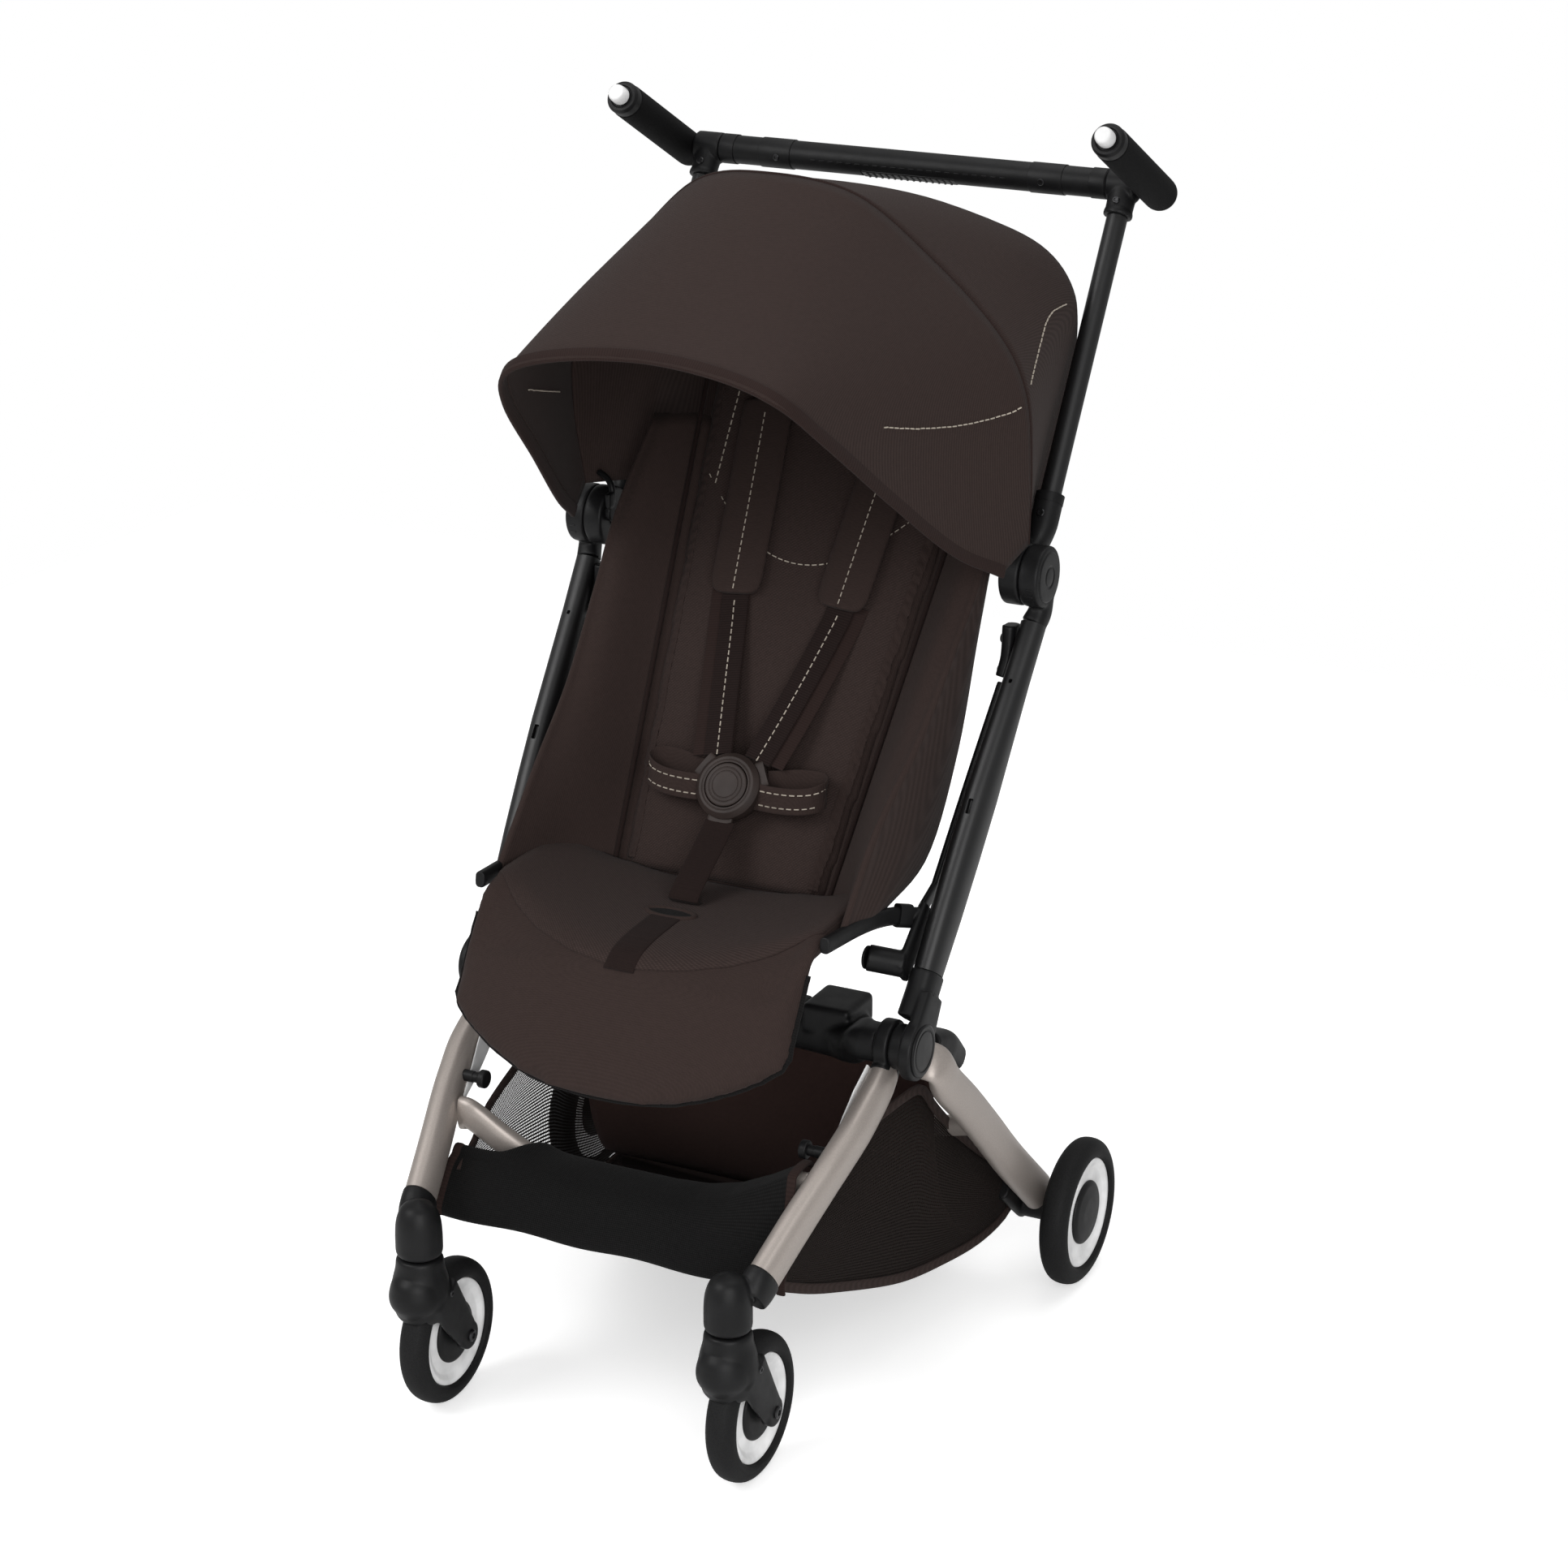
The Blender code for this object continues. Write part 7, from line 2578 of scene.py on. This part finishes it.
@dataclass(frozen=True)
class Studio:
    """Floor, lamps, sky and camera."""

    floor_half: float = 1.9
    floor_tone: float = 0.93
    floor_glow: float = 0.52
    sky_strength: float = 0.50
    sensor: float = 36.0
    nearest: float = 0.05
    farthest: float = 50.0

    def camera(self) -> None:
        """Place the camera at the photograph's angle."""
        data = bpy.data.cameras.new("camera")
        data.sensor_width = self.sensor
        data.lens = self.sensor * VIEW.focal / VIEW.pixels
        data.clip_start = self.nearest
        data.clip_end = self.farthest
        camera = bpy.data.objects.new("camera", data)
        camera.location = VIEW.eye
        camera.rotation_euler = VIEW.look.to_track_quat("-Z", "Y").to_euler()
        bpy.context.scene.collection.objects.link(camera)
        bpy.context.scene.camera = camera

    def lamp(self, name: str, place: Point, aim: Point, size: float, power: float) -> None:
        """Hang a square lamp.

        Args:
            name: its name.
            place: where it hangs.
            aim: where it points.
            size: its side in metres.
            power: its power in watts.
        """
        data = bpy.data.lights.new(name, "AREA")
        data.shape = "SQUARE"
        data.size = size
        data.energy = power
        lamp = bpy.data.objects.new(name, data)
        lamp.location = place
        lamp.rotation_euler = (Vector(aim) - Vector(place)).to_track_quat("-Z", "Y").to_euler()
        bpy.context.scene.collection.objects.link(lamp)

    def floor(self) -> None:
        """Lay a pale floor that shows white and keeps the shadow."""
        bm = bmesh.new()
        bmesh.ops.create_grid(bm, x_segments=1, y_segments=1, size=self.floor_half)
        mesh = bpy.data.meshes.new("floor")
        bm.to_mesh(mesh)
        bm.free()
        floor = bpy.data.objects.new("floor", mesh)
        bpy.context.scene.collection.objects.link(floor)
        shader = Shader("pale floor")
        tone = self.floor_tone
        shader.set(Base_Color=(tone, tone, tone, 1.0), Roughness=0.9, Emission_Color=(1.0, 1.0, 1.0, 1.0))
        ray = shader.node("ShaderNodeLightPath")
        glow = shader.maths("MULTIPLY", ray.outputs["Is Camera Ray"], self.floor_glow)
        shader.link(glow, shader.surface.inputs["Emission Strength"])
        mesh.materials.append(shader.material)

    def sky(self) -> None:
        """Light the room evenly, and show white behind the object."""
        world = bpy.data.worlds.new("room")
        bpy.context.scene.world = world
        world.use_nodes = True
        nodes, links = world.node_tree.nodes, world.node_tree.links
        nodes.clear()
        out = nodes.new("ShaderNodeOutputWorld")
        mix = nodes.new("ShaderNodeMixShader")
        soft = nodes.new("ShaderNodeBackground")
        soft.inputs["Strength"].default_value = self.sky_strength
        shown = nodes.new("ShaderNodeBackground")
        shown.inputs["Color"].default_value = (1.0, 1.0, 1.0, 1.0)
        shown.inputs["Strength"].default_value = 1.0
        ray = nodes.new("ShaderNodeLightPath")
        seen = nodes.new("ShaderNodeMath")
        seen.operation = "MAXIMUM"
        links.new(ray.outputs["Is Camera Ray"], seen.inputs[0])
        links.new(ray.outputs["Is Transmission Ray"], seen.inputs[1])
        links.new(seen.outputs[0], mix.inputs[0])
        links.new(soft.outputs[0], mix.inputs[1])
        links.new(shown.outputs[0], mix.inputs[2])
        links.new(mix.outputs[0], out.inputs["Surface"])

    def build(self) -> None:
        """Set the studio up."""
        self.camera()
        self.floor()
        self.sky()
        self.lamp("key", (-1.6, -2.2, 2.6), (0.0, 0.0, 0.5), 1.8, 48.0)
        self.lamp("fill", (1.7, -2.5, 1.5), (0.0, 0.0, 0.5), 2.2, 52.0)
        self.lamp("top", (0.2, 0.6, 3.0), (0.0, 0.0, 0.4), 2.2, 24.0)
        bpy.context.scene.view_settings.view_transform = "Standard"


def dress_nodes(frame: dict, finishes: Finishes) -> None:
    """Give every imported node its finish.

    Args:
        finishes: the materials.
    """
    by_slot = {
        Slot.PLASTIC: finishes.plastic, Slot.TUBE: finishes.tube, Slot.CHAMPAGNE: finishes.champagne,
        Slot.WHITE: finishes.white, Slot.TYRE: finishes.tyre, Slot.GRIP: finishes.foam,
        Slot.CLOTH: finishes.cloth, Slot.WEBBING: finishes.webbing, Slot.NET: finishes.net,
    }
    slots = {entry["node"]: Slot(entry["material_slot"]) for entry in frame["record"]["subparts"]}
    for name, thing in frame["nodes"].items():
        thing.data.materials.clear()
        thing.data.materials.append(by_slot[slots[name]])


def main() -> None:
    """Build every sub-assembly and the studio."""
    logging.basicConfig(level=logging.INFO, format="%(name)s: %(message)s")
    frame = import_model()
    finishes = Finishes()
    shop = Workshop(finishes)
    dress_nodes(frame, finishes)
    parts = (
        LowerFrame(shop), Handle(shop), FrontEnd(shop), RearEnd(shop), SeatFrame(shop), Wheels(shop),
        Canopy(shop), Seat(shop), Harness(shop), Basket(shop),
    )
    for part in parts:
        part.build()
    hinge = Vector((0.0, PLAN.hinge_y, PLAN.hinge_z))
    shop.crumple("hood_", Vector(PLAN.hood_press), hinge, PLAN.hood_kept)
    shop.crumple("basket_", Y_AXIS, Vector(PLAN.basket_middle), PLAN.basket_kept)
    Studio().build()
    LOG.info("%d pieces", shop.made)


if __name__ == "__main__":
    main()
